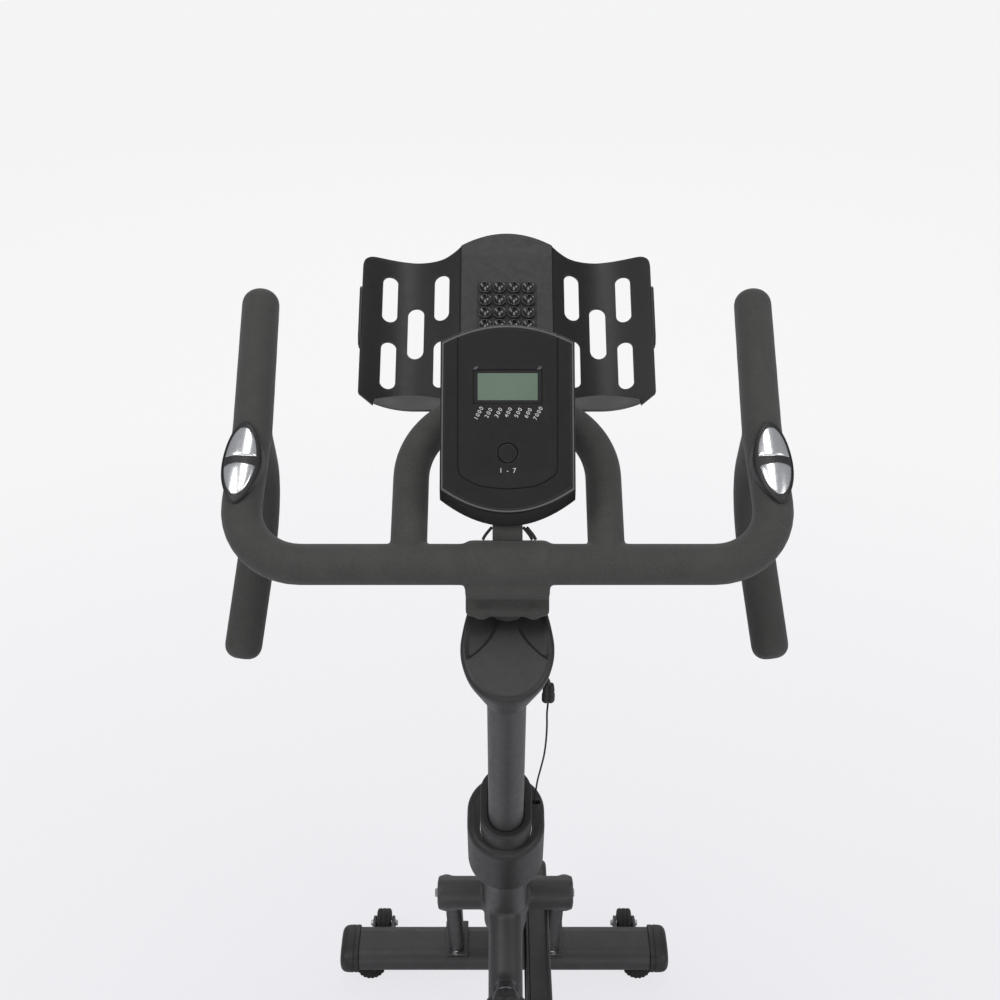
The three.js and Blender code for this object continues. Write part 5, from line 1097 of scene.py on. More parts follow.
def mode_button():
    r = BUTTON_RADIUS
    cap = turned("mode_button_cap", [
        (0, -8.8), (r - 1, -8.8), (r - 1, -4), (r, -3.8), (r, -0.7), (r - 0.15, -0.2), (r - 0.5, 0.12),
        (r - 1.1, 0.3), (r - 3, 0.42), (r - 5.5, 0.46), (0, 0.48)], 56)
    cap = eased(place(cap, CONSOLE @ shift(0, BUTTON_Y, 0)), 0, sharp=50)
    dress(cap, CONSOLE_PLASTIC, "mode_button", "mode_button")


def console_back():
    back = -FRONT_DEPTH - GAP
    deep = -CONSOLE_DEPTH
    rows = [(-20, deep, -43, -55), (-15.5, deep + 0.3, -46, -59), (-11, deep + 1.6, -51, -66),
            (-7.5, deep + 4.2, -55, -71), (-3.6, deep + 9, -59, -77.5), (-0.7, back - 4, -62.3, -84),
            (-0.45, back - 0.5, -62.5, -84.5), (-0.9, back, -62.2, -84)]
    shell = loft("console_rear", [console_ring(*row) for row in rows], fan=False)
    half = STEM_HALF + 0.4
    channel = prism("channel", [(-half, -100), (half, -100), (half, 12.4), (-half, 12.4)], -40, -15.6)
    screws = [place(rod("screw_bore", 3.4, -40, deep + 5, 24), shift(x, y, 0)) for x in (-38, 38)
              for y in (-36, 52)]
    cut(shell, channel, *screws)
    dress(place(eased(shell, 0.3, 2, sharp=30), CONSOLE), CONSOLE_PLASTIC, "bar_post", "console_back")


def console_stem():
    blade = place(prism("console_blade", rounded_rect(2 * STEM_HALF, 110, 1.0, 3), -21, -16.0),
                  shift(0, -43, 0))
    cut(blade, place(rod("seat", SLEEVE_RADIUS + 0.35, -40, 40, 64), CONSOLE.inverted() @ across_bike(BAR)))
    dress(place(eased(blade, 0.9, 3), CONSOLE), FOAM, "bar_post", "console_stem")


def pulse_leads():
    """Leads from the sleeve up behind the console, one on the left and two on the right."""
    for side, label in SIDES:
        strands = []
        for apart in ((0,) if side < 0 else (0, 3.1)):
            route = [BAR + Vector((side * (x + apart), y, z)) for x, y, z in LEAD_ROUTE]
            strands.append(sweep("strand", curve_through(route, 6), circle(1.35, 12)))
        dress(merged(f"pulse_lead_pair_{label}", *strands), RUBBER, "bar_post", f"pulse_lead_{label}")


console_front()
console_display()
console_print()
mode_button()
console_back()
console_stem()
pulse_leads()
console_rim()


# ---------------------------------------------------------------- tablet holder

HOLDER = leaned(math.radians(36), BAR + Vector((0, 166.5, 75)))
HOLDER_HALF, WALL = 140, 3.2
PANEL_HALF, PANEL_STEP = 44, 1.2
WING_DEPTH = 14
LEDGE_TILT = math.radians(46)               # ledge's fall toward the rider, from the plate's plane
LEDGE_HALF, LEDGE_REACH = 124.6, 22.5
BOW_END, BOW_START, BOW_BLEND = 85, 40, 24  # where the ledge draws in toward its end, and toward the middle
CORNER_SLOT, MIDDLE_SLOT = (14.4, 51), (15.8, 56)
SLOTS = [(88, 75.5, MIDDLE_SLOT)] + [(x, y, CORNER_SLOT) for x in (63, 113.5) for y in (111.5, 39.5)]
CUTTER = (-32, 22)                          # heights that clear the plate
CUP_PITCH, CUP_RADIUS = 13.8, 6


def wing_height(x):
    """Cross-section of the plate: a flat panel, then wings hollowed like shallow troughs."""
    side = abs(x)
    if side <= PANEL_HALF:
        return PANEL_STEP
    if side <= PANEL_HALF + 1:
        return PANEL_STEP - (PANEL_STEP + 0.1) * (side - PANEL_HALF)
    across = min(1.0, (side - PANEL_HALF - 1) / (HOLDER_HALF - PANEL_HALF - 1))
    return -0.1 - WING_DEPTH * abs(math.sin(math.pi * across)) ** 1.15


def ledge_point(x, reach, under=0.0):
    """A point of the ledge, by its reach from the plate's own plane."""
    out, up = math.cos(LEDGE_TILT), math.sin(LEDGE_TILT)
    return Vector((x, -4.6 - out * reach - up * under, up * reach - out * under))


def ledge_root(x):
    """Reach, negative in the troughs, where the ledge meets the plate."""
    return (wing_height(x) - 1.3) / math.sin(LEDGE_TILT)


def holder_outline():
    w = HOLDER_HALF
    side = [(w, 138, 0), (w - 0.1, 143, 0), (w - 0.9, 148, 0), (w - 3, 151.8, 0),
            (w - 7.5, 154.8, 0), (w - 14, 155.7, 0), (111, 155.5, 0), (97, 154.7, 0), (87, 153.8, 0),
            (70.7, 153.4, 0), (61, 154.6, 0), (53.6, 157.8, 0), (48.5, 161.2, 0), (45, 164.2, 0)]
    bottom = [(x, ledge_point(x, ledge_root(x), 1.4).y) for x in range(-124, 125, 4)]
    flank = [(p.x, p.y) for p in curve_through(side, 6)]
    right = [(w - 13.5, -4.6), (w - 0.8, 4.4), (w, 6.2), (w, 70)] + flank
    top = [(x, 165.2 + 13.4 * (1 - (x / PANEL_HALF) ** 2)) for x in
           (PANEL_HALF * math.cos(math.pi * k / 36) for k in range(0, 37))]
    return bottom + right + top + [(-x, y) for x, y in reversed(right)]


def curved_plate(name, y0, y1):
    wing = [PANEL_HALF + 1 + (HOLDER_HALF + 1 - PANEL_HALF) * k / 60 for k in range(61)]
    stations = [-x for x in reversed(wing)] + [-PANEL_HALF, PANEL_HALF] + wing
    upper = [(x, wing_height(x)) for x in stations]
    lower = [(x, wing_height(x) - WALL) for x in reversed(stations)]
    rings = [[(x, y0 + (y1 - y0) * k / 23, z) for x, z in upper + lower] for k in range(24)]
    return loft(name, rings, fan=False)


def holder_ledge():
    """Shelf that falls toward the rider from the plate's foot, bowed out under each wing."""
    rings = []
    for k in range(97):
        x = -LEDGE_HALF + 2 * LEDGE_HALF * k / 96
        side = abs(x)
        bow = 1 - max(0.0, (side - BOW_END) / (LEDGE_HALF - BOW_END)) ** 2
        middle = min(1.0, max(0.0, (side - BOW_START) / BOW_BLEND))
        front = 0.4 + (3 + (LEDGE_REACH - 3) * middle * middle * (3 - 2 * middle)) * bow
        root = ledge_root(x)
        rings.append([ledge_point(x, root), ledge_point(x, front - 0.7), ledge_point(x, front - 0.2, 0.2),
                      ledge_point(x, front, 0.8), ledge_point(x, front, 1.8),
                      ledge_point(x, front - 0.6, 2.4), ledge_point(x, root, 2.4)])
    return loft("tablet_holder_ledge", rings, fan=False)


def side_tab(side):
    """Grip tab that stands a little outside the plate's side and runs behind it."""
    outline = [(60, -14.5), (118, -14.5), (121, -12), (121, -2.2), (118, 0.6), (65, 0.6), (58, -4), (58, -12)]
    outer = side * (HOLDER_HALF + 2.3)
    tab = loft("tab", [[(x, y, z) for y, z in outline] for x in sorted((outer, outer - side * 3.4))],
               fan=False)
    return eased(tab, 1.0, 3, angle=50)


def holder_mount():
    """Clamp round the loop, with the web and spine that carry the plate."""
    apex = HOLDER.inverted() @ loop_point(0, LOOP_REACH)
    clamp = place(rod("clamp", 21.25, -22, 22, 48), across_bike(apex))
    foot = apex.y - 14
    spine = prism("spine", [(-16, foot), (16, foot), (16, 40), (-16, 40)], -WALL - 5, -1.2)
    web = prism("web", [(-16, foot), (16, foot), (16, foot + 28), (-16, foot + 28)], apex.z, -WALL - 3)
    mount = booled(clamp, "UNION", spine, web)
    cut(mount, place(loop_tube("loop_core", LOOP_RADIUS + 0.55), HOLDER.inverted()))
    return eased(mount, 0.8, 2, angle=40)


def holder_rib(side):
    """Tapered stiffener down the back of the panel."""
    line = [(40, -WALL + 0.6), (166, -WALL + 0.6), (166, -WALL - 0.8), (40, -WALL - 7)]
    rings = [[(side * 30 + off, y, z + PANEL_STEP) for y, z in line] for off in (-1.2, 1.2)]
    return eased(loft("rib", rings, fan=False), 0.5, 2, angle=50)


def tablet_holder():
    plate = curved_plate("holder_plate", -30, 200)
    booled(plate, "INTERSECT", prism("outline", holder_outline(), *CUTTER))
    for x, y, size in SLOTS:
        for side in (-1, 1):
            cut(plate, place(prism("slot", flat_oval(*size, 14), *CUTTER), shift(side * x, y, 0)))
    plate = eased(plate, 0.75, 2, angle=50, sharp=40)
    # the ledge is paler than the plate as a painted reflection of the backdrop
    dress(place(eased(holder_ledge(), 0, sharp=25), HOLDER), LEDGE_PAINTED_REFLECTION, "bar_post")
    extras = [side_tab(-1), side_tab(1), holder_rib(-1), holder_rib(1)]
    holder = sharpened(merged("tablet_holder_shell", plate, holder_mount(), *extras), 40)
    dress(place(holder, HOLDER), HOLDER_PLASTIC, "bar_post", "tablet_holder")


def suction_pad():
    """Mat of small suction cups in rows on the holder's middle panel."""
    columns, rows, first = 4, 6, 115
    middle = first - (rows - 1) * CUP_PITCH / 2
    mat = eased(prism("cup_mat", rounded_rect(columns * CUP_PITCH + 2, rows * CUP_PITCH + 2, 4), 1.3, 3.2),
                0.5, 2)
    dress(place(mat, HOLDER @ shift(0, middle, 0)), RUBBER, "bar_post")
    r = CUP_RADIUS
    profile = [(0, 3.0), (r - 2.2, 3.0), (r - 1.9, 3.8), (r - 1.5, 4.7), (r - 0.5, 5.9), (r, 6.5),
               (r - 0.1, 6.8), (r - 0.55, 6.85), (r - 1.2, 6.2), (r - 2.2, 5.2), (r - 3.6, 4.5),
               (r - 4.8, 4.25), (0, 4.2)]
    cups = [place(turned("cup", profile), shift((column - (columns - 1) / 2) * CUP_PITCH,
                                                first - row * CUP_PITCH, 0))
            for row in range(rows) for column in range(columns)]
    dress(place(merged("suction_cups", *cups), HOLDER), CUP_RUBBER, "bar_post", "suction_pad")


tablet_holder()
suction_pad()


# ---------------------------------------------------------------- post cover, post, collar and shroud

POST_SIZE = (38, 70)
BUSHED = (POST_SIZE[0] + 1, POST_SIZE[1] + 1)     # bore of the bushings
SHIELD_EDGE = [(0, -46), (16, -43), (27, -32), (32, -14), (35, 2), (39, 20), (41.5, 38), (40, 54), (34, 70),
               (24, 82), (12, 88.5), (0, 90)]
SHIELD_FALL = math.radians(30)
COVER_FOOT = 178
HEAD_TOP, SHROUD_LENGTH = 452, 84
PIN_DOWN, PIN_UP = HEAD_TOP + 108, 335      # pull pins, down the post line and up the seat tube
HOLE_PITCH, HOLE_RADIUS = 20, 5.2           # height holes of both posts
RIM_WIDE, RIM_TALL, RIM_LIP = 17, 30, 2.6   # rim of a bushing, and its rounding
PIN_BORE = 5.7                              # through the bushings


def grown(size, grow):
    return flat_oval(size[0] + 2 * grow, size[1] + 2 * grow, 24)


def shield_rim():
    right = [(x, q, 0) for x, q in SHIELD_EDGE]
    left = [(-x, q, 0) for x, q in reversed(SHIELD_EDGE[1:-1])]
    return curve_through(right + left, 16, closed=True)


def crease(x, q):
    """Depth of the two sunken cheeks beside the cover's tongue."""
    line = 6.5 + 28.5 * min(1.0, max(0.0, (q - 5) / 47)) ** 2.2
    beside = (abs(x) - line) / 1.7
    fade = min(1.0, max(0.0, (55 - q) / 8))
    return 2.6 * fade * min(1.0, max(0.0, beside))


def shield_ring(inset, drop, sunk=0.0):
    out = []
    for p in shield_rim():
        x = p.x * (1 - inset / 42)
        q = 22 + (p.y - 22) * (1 - inset / 68)
        down = drop + sunk * crease(x, q)
        out.append(BAR + Vector((x, 12 - q * math.cos(SHIELD_FALL) + down * math.sin(SHIELD_FALL),
                                 -52 - q * math.sin(SHIELD_FALL) - down * math.cos(SHIELD_FALL))))
    return out


def foot_ring(grow, down, count):
    """Outline of the cover's foot, round the post."""
    line = [squared(turn, 2.6) for turn in turns(count)]
    return [post_point((22 + grow) * s, (38 + grow) * c, down) for c, s in line]


def post_cover():
    count = len(shield_rim())
    face = [shield_ring(inset, 0.35 - 0.35 * (inset / 40), 1.0)
            for inset in (40 - 1.2 * k for k in range(28))]
    lip = [shield_ring(*row) for row in ((5.9, 0.15, 0.7), (4.6, 0.2, 0.3), (3.2, 0.55), (1.8, 1.35),
                                         (0.6, 2.7), (0.05, 4.6), (0, 7), (0.3, 11))]
    wall, foot = shield_ring(1, 16), foot_ring(2, COVER_FOOT, count)
    low = [[a.lerp(b, t) for a, b in zip(wall, foot)]
           for t in (0.0, 0.12, 0.25, 0.38, 0.5, 0.62, 0.75, 0.88, 0.96)]
    tuck = [foot_ring(1.9, COVER_FOOT - 0.6, count), foot_ring(1.2, COVER_FOOT, count)]
    shell = loft("cover_shell", face + lip + low + tuck)
    bore = prism("bore", flat_oval(POST_SIZE[0] + 2 * GAP, POST_SIZE[1] + 2 * GAP), -COVER_FOOT - 30, -61.5)
    neck = prism("neck", flat_oval(*NECK_HOLE), -80, 10)
    cut(shell, place(bore, POST_LINE), place(neck, POST_LINE))
    dress(eased(shell, 0, sharp=62), PLASTIC, "bar_post", "post_head_cover")


def post_tube(low, high, first_hole, holes, toward):
    """Oval tube with a row of height holes through one wall."""
    tube = prism("post_tube", flat_oval(*POST_SIZE, 24), low, high)
    cut(tube, prism("hollow", grown(POST_SIZE, -2.5), low - 5, high + 5))
    for k in holes:
        where = shift(0, 0, first_hole - HOLE_PITCH * k) @ spin("X", toward * math.pi / 2)
        cut(tube, place(rod("drill", HOLE_RADIUS, 10, 60), where))
    return tube


def handlebar_post():
    tube = post_tube(-625, -62, -PIN_DOWN, range(-3, 3), -1)
    dress(place(eased(tube, 0.35, 2, angle=50), POST_LINE), PAINT, "bar_post", "handlebar_post")


def lipped_ring(low, high):
    """Racetrack rim of a bushing, with rounded edges."""
    def between(t, z):
        return [(x, y, z) for x, y in flat_oval(BUSHED[0] + RIM_WIDE * t, BUSHED[1] + RIM_WIDE * t, 24)]

    rings = [between(0, low), between(1, low)]
    for k in range(6):
        turn = math.pi / 2 * k / 5
        reach = 1 - (1 - math.sin(turn + math.pi / 2)) * 0.34
        rings.append(between(reach, high - RIM_LIP + RIM_LIP * math.sin(turn)))
    rings += [between(0.12, high), between(0.03, high - 0.3), between(0, high - 0.9), between(0, low)]
    return hoop("rim", rings)


def bushing(node, line, top, sleeve_top, pin):
    """Plastic sleeve in a tube's mouth, with its rim and the pull pin's bore."""
    sleeve = prism("sleeve", grown(BUSHED, 3), top - 70, sleeve_top)
    bore = prism("bore", grown(BUSHED, 0), top - 80, top + 10)
    cut(sleeve, bore, place(rod("drill", PIN_BORE, -60, 60), shift(0, 0, pin) @ spin("X")))
    ring = sharpened(merged(f"{node}_ring", lipped_ring(top + GAP, top + RIM_TALL), sleeve), 50)
    dress(place(ring, line), PLASTIC, "frame", node)


def shroud():
    """Stadium-shaped housing at the top of the head tube, with rounded shoulders."""
    top, low = -HEAD_TOP + 2, -HEAD_TOP + 2 - SHROUD_LENGTH
    rows = [(4, low), (1.6, low + 0.8), (0.3, low + 2.4), (0, low + 5), (0, top - 9)]
    rows += [(6.5 * (1 - math.cos(turn)), top - 9 + 8.6 * math.sin(turn))
             for turn in (math.pi / 2 * k / 7 for k in range(1, 8))]
    rows.append((8.2, top - 0.1))
    shell = loft("shroud_shell", [[(x, y, z) for x, y in flat_oval(86 - 2 * inset, 104 - 2 * inset, 26)]
                                  for inset, z in rows], fan=False)
    hollow = prism("hollow", flat_oval(80, 98, 26), low - 10, -HEAD_TOP - 3)
    mouth = prism("mouth", flat_oval(56.6, 88.6, 24), -HEAD_TOP - 20, -HEAD_TOP + 20)
    slot = place(prism("wire_slot", flat_oval(9, 5, 12), -HEAD_TOP - 20, -HEAD_TOP + 20), shift(34, 15, 0))
    cut(shell, hollow, mouth, slot)
    ribs = [place(eased(prism("rib", rounded_rect(3, 9.6, 0.8, 3), low + 8, top - 4), 0),
                  shift(0, side * 47, 0))
            for side in (-1, 1)]
    whole = sharpened(merged("head_tube_housing", eased(shell, 0.3, 2, angle=60, sharp=50), *ribs), 50)
    dress(place(whole, POST_LINE), PLASTIC, "frame", "head_tube_shroud")


def connector():
    """Two-lobed plug that joins the wire under the cover."""
    profile = [(0, 0), (2.4, 0), (3.4, 0.5), (4.1, 1.6), (4.5, 3), (4.5, 12), (4.2, 13.4), (3.7, 14.2),
               (3.7, 19), (3.9, 19.4), (3.9, 20.6), (3.7, 21), (3.6, 24), (3.2, 27), (2.6, 30), (0, 30.5)]
    lobes = [place(turned("plug", [(r * 0.92, z) for r, z in profile], 32),
                   POST_LINE @ shift(41.5 + off, 12, -237)) for off in (-2.4, 2.4)]
    rise = [(41.5, 12, 208), (40, 11, 197), (32.5, 8, 181), (24.5, 6, 169), (22.5, 5.5, 161)]
    lead = sweep("lead", curve_through([post_point(*p) for p in rise], 6), circle(1.95, 16))
    dress(merged("wire_connector_plug", *lobes, lead), RUBBER, "bar_post", "wire_connector")


post_cover()
handlebar_post()
bushing("post_collar", POST_LINE, -HEAD_TOP, -HEAD_TOP + 0.5, -PIN_DOWN)
shroud()
connector()


# ---------------------------------------------------------------- frame

BEAM_END = -645                             # rear end of the main beam
CROWN = post_point(0, 0, HEAD_TOP + 198)    # fork crown, on the post line
HEAD_LENGTH, SEAT_TUBE = 238, 380
TUBE_SKIN, TUBE_BORE = 6.3, 3.4             # head and seat tubes, outward from the bushings' bore
PIN_SEAT = 41.8                             # foot of a pull pin's boss, from the post's middle
FORK_X, CRANK_X, BELT_X = 72, 68, 42
BAR_CLEAR, BAR_TALL, BAR_DEEP = 24, 40, 70        # stabilizer above the floor, and its section
FRONT_Y, REAR_Y = 452, -612
BRAKE_AT = (30, 455)                        # brake's mark on the beam, along and up
BRAKE_RIM = 5                               # pad's wrap, outside the flywheel


def along(y, z, x=0):
    """A point from the bike's own length, which starts under the bar."""
    return Vector((x, y + BAR.y, z))


def tube_on(line, name, grow, low, high):
    return place(prism(name, grown(BUSHED, grow), low, high), line)


def beam_height(y):
    return BEAM_START[1] + (y - BEAM_START[0]) * BEAM_RISE


def bar_across(name, radius, x0, x1, at, sides=48):
    """A round bar across the bike."""
    return place(rod(name, radius, x0, x1, sides), across_bike(at))


def box_of(name, low, high, edge=0.0):
    (x0, y0, z0), (x1, y1, z1) = low, high
    return eased(prism(name, [(x0, y0), (x1, y0), (x1, y1), (x0, y1)], z0, z1), edge)


def brake_line():
    run = HUB - along(*BRAKE_AT)
    return leaned(math.atan2(run.y, -run.z), along(*BRAKE_AT))


BRAKE_LINE = brake_line()
BRAKE_REACH = (HUB - along(*BRAKE_AT)).length


def fork_leg(side):
    x = side * FORK_X
    corners = [Vector((x, CROWN.y, CROWN.z)), Vector((x, HUB.y, HUB.z)), along(FRONT_Y, 60, x)]
    return sweep("fork_leg", bent_path(corners, [120], 14), flat_oval(22, 44, 14), up=(1, 0, 0))


def gusset():
    foot, top = SEAT_LINE @ Vector((0, 0, 0)), SEAT_LINE @ Vector((0, 0, 150))
    back = along(foot.y - BAR.y - 112, beam_height(foot.y - BAR.y - 112) + 8)
    line = [(foot.y, foot.z), (back.y, back.z)]
    for k in range(1, 13):
        t = k / 12
        knee = Vector((0, foot.y - 72, foot.z + 18))
        p = back.lerp(knee, t).lerp(knee.lerp(Vector((0, top.y - 20, top.z)), t), t)
        line.append((p.y, p.z))
    return place(prism("gusset", line, -3.2, 3.2), side_view())


def frame_tubes():
    """Every tube of the frame grown into one body with welds for fillets, then bored."""
    beam = sweep("beam", bent_path([along(*BEAM_START), along(BEAM_END, beam_height(BEAM_END))], []),
                 flat_oval(40, 70, 20))
    whole = melted(
        "main_frame_tubes", 2.3, 5,
        beam, place(rod("brake_sleeve", 11, -140, -30, 40), BRAKE_LINE), gusset(), fork_leg(-1), fork_leg(1),
        tube_on(POST_LINE, "head", TUBE_SKIN, -HEAD_TOP - HEAD_LENGTH, -HEAD_TOP),
        tube_on(SEAT_LINE, "seat", TUBE_SKIN, 0, SEAT_TUBE),
        bar_across("crown", 20, -FORK_X - 10, FORK_X + 10, CROWN),
        bar_across("shell", 25, -26, 26, CRANK),
    )
    bores = [
        box_of("floor", (-200, -900, -60), (200, 900, BAR_CLEAR + BAR_TALL + 0.6)),
        tube_on(POST_LINE, "bore", TUBE_BORE, -HEAD_TOP - HEAD_LENGTH - 40, -HEAD_TOP + 20),
        tube_on(SEAT_LINE, "bore", TUBE_BORE, 60, SEAT_TUBE + 20),
        bar_across("bore", 8.9, -60, 60, CRANK),
        bar_across("bore", 6.3, -120, 120, HUB),
        place(rod("bore", 5.4, -200, 10), BRAKE_LINE),
    ]
    return sharpened(booled(whole, "DIFFERENCE", *bores, solver="MANIFOLD"), 40)


def foot_plate(x, y, half):
    level = BAR_CLEAR + BAR_TALL
    return box_of("plate", (x - half, BAR.y + y - 32, level + 0.3), (x + half, BAR.y + y + 32, level + 5.2),
                  1.2)


def foot_plates():
    """Plates welded over the stabilizers, each with its two bolts."""
    plates = [foot_plate(0, REAR_Y, 45)]
    heads = []
    level = BAR_CLEAR + BAR_TALL + 5
    for side in (-1, 1):
        plates.append(foot_plate(side * FORK_X, FRONT_Y, 17))
        heads += [along(FRONT_Y + y, level, side * FORK_X)
                  for y in (-27, 27)] + [along(REAR_Y, level, side * 36)]
    return merged("foot_plates", *plates), [hex_bolt(at, 4.2) for at in heads]


def hex_bolt(at, size, up=None):
    """Bolt head with its washer, standing along `up`."""
    washer = turned("washer", [(0, 0), (size * 1.55, 0), (size * 1.6, 0.25), (size * 1.55, 1.1), (0, 1.1)],
                    32)
    head = turned("head", [(0, 1), (size * 1.1, 1), (size * 1.15, size * 0.85), (size * 0.98, size * 1.1),
                           (0, size * 1.12)], 6)
    bolt = merged("hex_bolt", washer, eased(head, 0.25, 2))
    turn = Vector((0, 0, 1)).rotation_difference(Vector(up or (0, 0, 1))).to_matrix().to_4x4()
    return place(bolt, shift(*at) @ turn)


def pin_place(line, at, toward):
    """Frame of a pull pin, its z pointing out of the tube."""
    return line @ shift(0, toward * PIN_SEAT, at) @ spin("X", -toward * math.pi / 2)


def pin_boss(where):
    """Threaded boss that a pull pin works in."""
    profile = [(5.1, -4), (12, -4), (12, 18), (11.2, 20), (9.8, 21), (5.9, 21), (5.1, 20.2), (5.1, -4)]
    return place(turned("boss", profile, 40), where)


POST_PIN, SEAT_PIN = pin_place(POST_LINE, -PIN_DOWN, 1), pin_place(SEAT_LINE, PIN_UP, -1)


def frame_fittings():
    """Bosses, plugs and rings on the welded frame."""
    bosses = [pin_boss(POST_PIN), pin_boss(SEAT_PIN)]
    bosses += [bar_across("cover_boss", 7, 0, 26, along(y, beam_height(y) - 12), 32) for y in (-60, 60)]
    dress(merged("frame_bosses", *bosses), PAINT, "frame")
    cap = loft("beam_plug", [[(x, y, z) for x, y in flat_oval(40.6 - 2 * inset, 70.6 - 2 * inset, 20)]
                             for inset, z in ((0, -2), (0, 2.6), (0.8, 4.0), (2.4, 5.0), (7, 5.6))])
    end = shift(*along(BEAM_END, beam_height(BEAM_END))) @ spin("X", math.pi / 2 + math.atan(BEAM_RISE))
    dress(place(eased(cap, 0, sharp=50), end), PLASTIC, "frame")
    profile = [(8.8, 0), (23.5, 0), (24, 0.4), (24, 1.2), (22, 1.6), (13, 1.7), (12.4, 1.2), (9.4, 1.2),
               (8.8, 0.6), (8.8, 0)]
    cups = [place(turned("bearing_cup", profile, 56), across_bike(CRANK + Vector((side * 25.2, 0, 0)))
                  @ mirror(side))
            for side in (-1, 1)]
    dress(outward(merged("bearing_cups", *cups)), STEEL, "frame")


def main_frame():
    tubes = frame_tubes()
    plates, bolts = foot_plates()
    dress(merged("main_frame_welded", tubes, plates), PAINT, "frame", "main_frame")
    dress(merged("stabilizer_bolts", *bolts), STEEL, "frame")
    frame_fittings()


# ---------------------------------------------------------------- stabilizers, feet and wheels


FOOT_X, WHEEL_X = 205, 188
MIDDLE_Z = BAR_CLEAR + BAR_TALL / 2
WHEEL_OUT, WHEEL_Z = BAR_DEEP / 2 + 25, 32


def wheel_cheeks(side):
    line = [(10, MIDDLE_Z - 8)] + arc(WHEEL_OUT, WHEEL_Z, 11, -90, 90, 16) + [(10, MIDDLE_Z + 12)]
    return [place(eased(prism("cheek", line, -2, 2), 0.6, 2),
                  side_view(side * WHEEL_X + cheek * 14.5) @ shift(FRONT_Y + BAR.y, 0, 0))
                  for cheek in (-1, 1)]


def stabilizer(name, y, wheels):
    section = flat_oval(BAR_DEEP, BAR_TALL, 24)
    rings = [[Vector((x, p + y + BAR.y, q + MIDDLE_Z)) for p, q in section]
             for x in (-220, -110, 0, 110, 220)]
    bar = loft(f"{name}_bar", rings, fan=False)
    for side in (-1, 1):
        cut(bar, place(rod("hole", 5.3, 0, MIDDLE_Z, 24), shift(side * FOOT_X, y + BAR.y, 0)))
    bar = eased(bar, 0.4, 2, angle=50)
    cheeks = wheel_cheeks(-1) + wheel_cheeks(1) if wheels else []
    dress(merged(f"{name}_tube", bar, *cheeks), PAINT, "frame", name)


def wheel_axles():
    axles = []
    for x in (-WHEEL_X, WHEEL_X):
        for end in (-1, 1):
            axles.append(hex_bolt(along(FRONT_Y + WHEEL_OUT, WHEEL_Z, x + end * 16.5), 4.0, (end, 0, 0)))
        axles.append(bar_across("pin", 4, x - 16, x + 16, along(FRONT_Y + WHEEL_OUT, WHEEL_Z), 24))
    dress(merged("wheel_axles", *axles), STEEL, "frame")


def end_cap(name, side, y):
    """Rounded plastic cap with a grip groove round its mouth."""
    rings = []
    for grow, out in ((0.6, 0), (2.2, 0.3), (2.6, 1.2), (2.75, 4), (2.8, 6), (2.0, 6.6), (2.0, 7.8),
                      (2.8, 8.4), (2.7, 13), (2.4, 18), (1.6, 21.5), (0, 24.2), (-2.4, 26.3), (-5.8, 27.6),
                      (-10, 28)):
        line = [squared(turn, 2.8) for turn in turns(88)]
        rings.append([along(y + (BAR_DEEP / 2 + grow) * c, MIDDLE_Z + (BAR_TALL / 2 + grow) * s,
                            side * (220.3 + out))
                      for c, s in line])
    dress(eased(loft(f"{name}_moulding", rings), 0, sharp=38), PLASTIC, "frame", name)


def rippled(obj, count, depth, least, power=2.0):
    """Presses flutes into the outer surface of a body turned about z."""
    for vertex in obj.data.vertices:
        x, y = vertex.co.x / MM, vertex.co.y / MM
        radius = math.hypot(x, y)
        if radius > least:
            wave = abs(math.cos(count * math.atan2(y, x) / 2)) ** power
            shrink = 1 - depth * wave / radius * min(1, (radius - least) / 2)
            vertex.co.x *= shrink
            vertex.co.y *= shrink
    return obj


def levelling_foot(name, side, y):
    profile = [(0, 0.4), (14, 0.4), (15, 0), (20, 0), (21.4, 0.6), (22, 2), (22, 9.2), (21.2, 10.6),
               (18.4, 14.2), (16.4, 15.4), (10.4, 16.6), (9, 17.2), (9, 21.5), (8.4, 22), (5, 22),
               (5, 39.2), (4.2, 40), (0, 40)]
    foot = rippled(turned(f"{name}_knob", profile, 160), 20, 1.5, 18.5, 5)
    dress(eased(place(foot, shift(*along(y, 0, side * FOOT_X))), 0, sharp=40), RUBBER, name, name)


def transport_wheel(side, label):
    w = 10.7
    right = [(22, 2.6), (21.2, 3.2), (21.2, 4), (22, 4.6), (22, w - 4), (21.4, w - 1.4), (19, w), (13.5, w),
             (12.5, w - 1.2), (9.6, w - 1.6)]
    tyre = [(radius, -z) for radius, z in reversed(right)] + right
    hub = [(4.3, -w), (8.6, -w), (9.4, -w + 0.8), (9.4, w - 0.8), (8.6, w), (4.3, w), (4.3, -w)]
    at = across_bike(along(FRONT_Y + WHEEL_OUT, WHEEL_Z, side * WHEEL_X))
    wheel = eased(place(turned(f"transport_wheel_{label}_tyre", tyre + tyre[:1], 64), at), 0, sharp=40)
    dress(wheel, RUBBER, f"wheel_{label}", f"transport_wheel_{label}")
    dress(eased(place(turned("wheel_hub", hub, 40), at), 0, sharp=40), PLASTIC, f"wheel_{label}")


main_frame()
stabilizer("front_stabilizer", FRONT_Y, True)
wheel_axles()
stabilizer("rear_stabilizer", REAR_Y, False)
for end, y in (("front", FRONT_Y), ("rear", REAR_Y)):
    for side, label in SIDES:
        end_cap(f"{end}_cap_{label}", side, y)
        levelling_foot(f"{end}_foot_{label}", side, y)
for side, label in SIDES:
    transport_wheel(side, label)


# ---------------------------------------------------------------- flywheel, belt and cranks

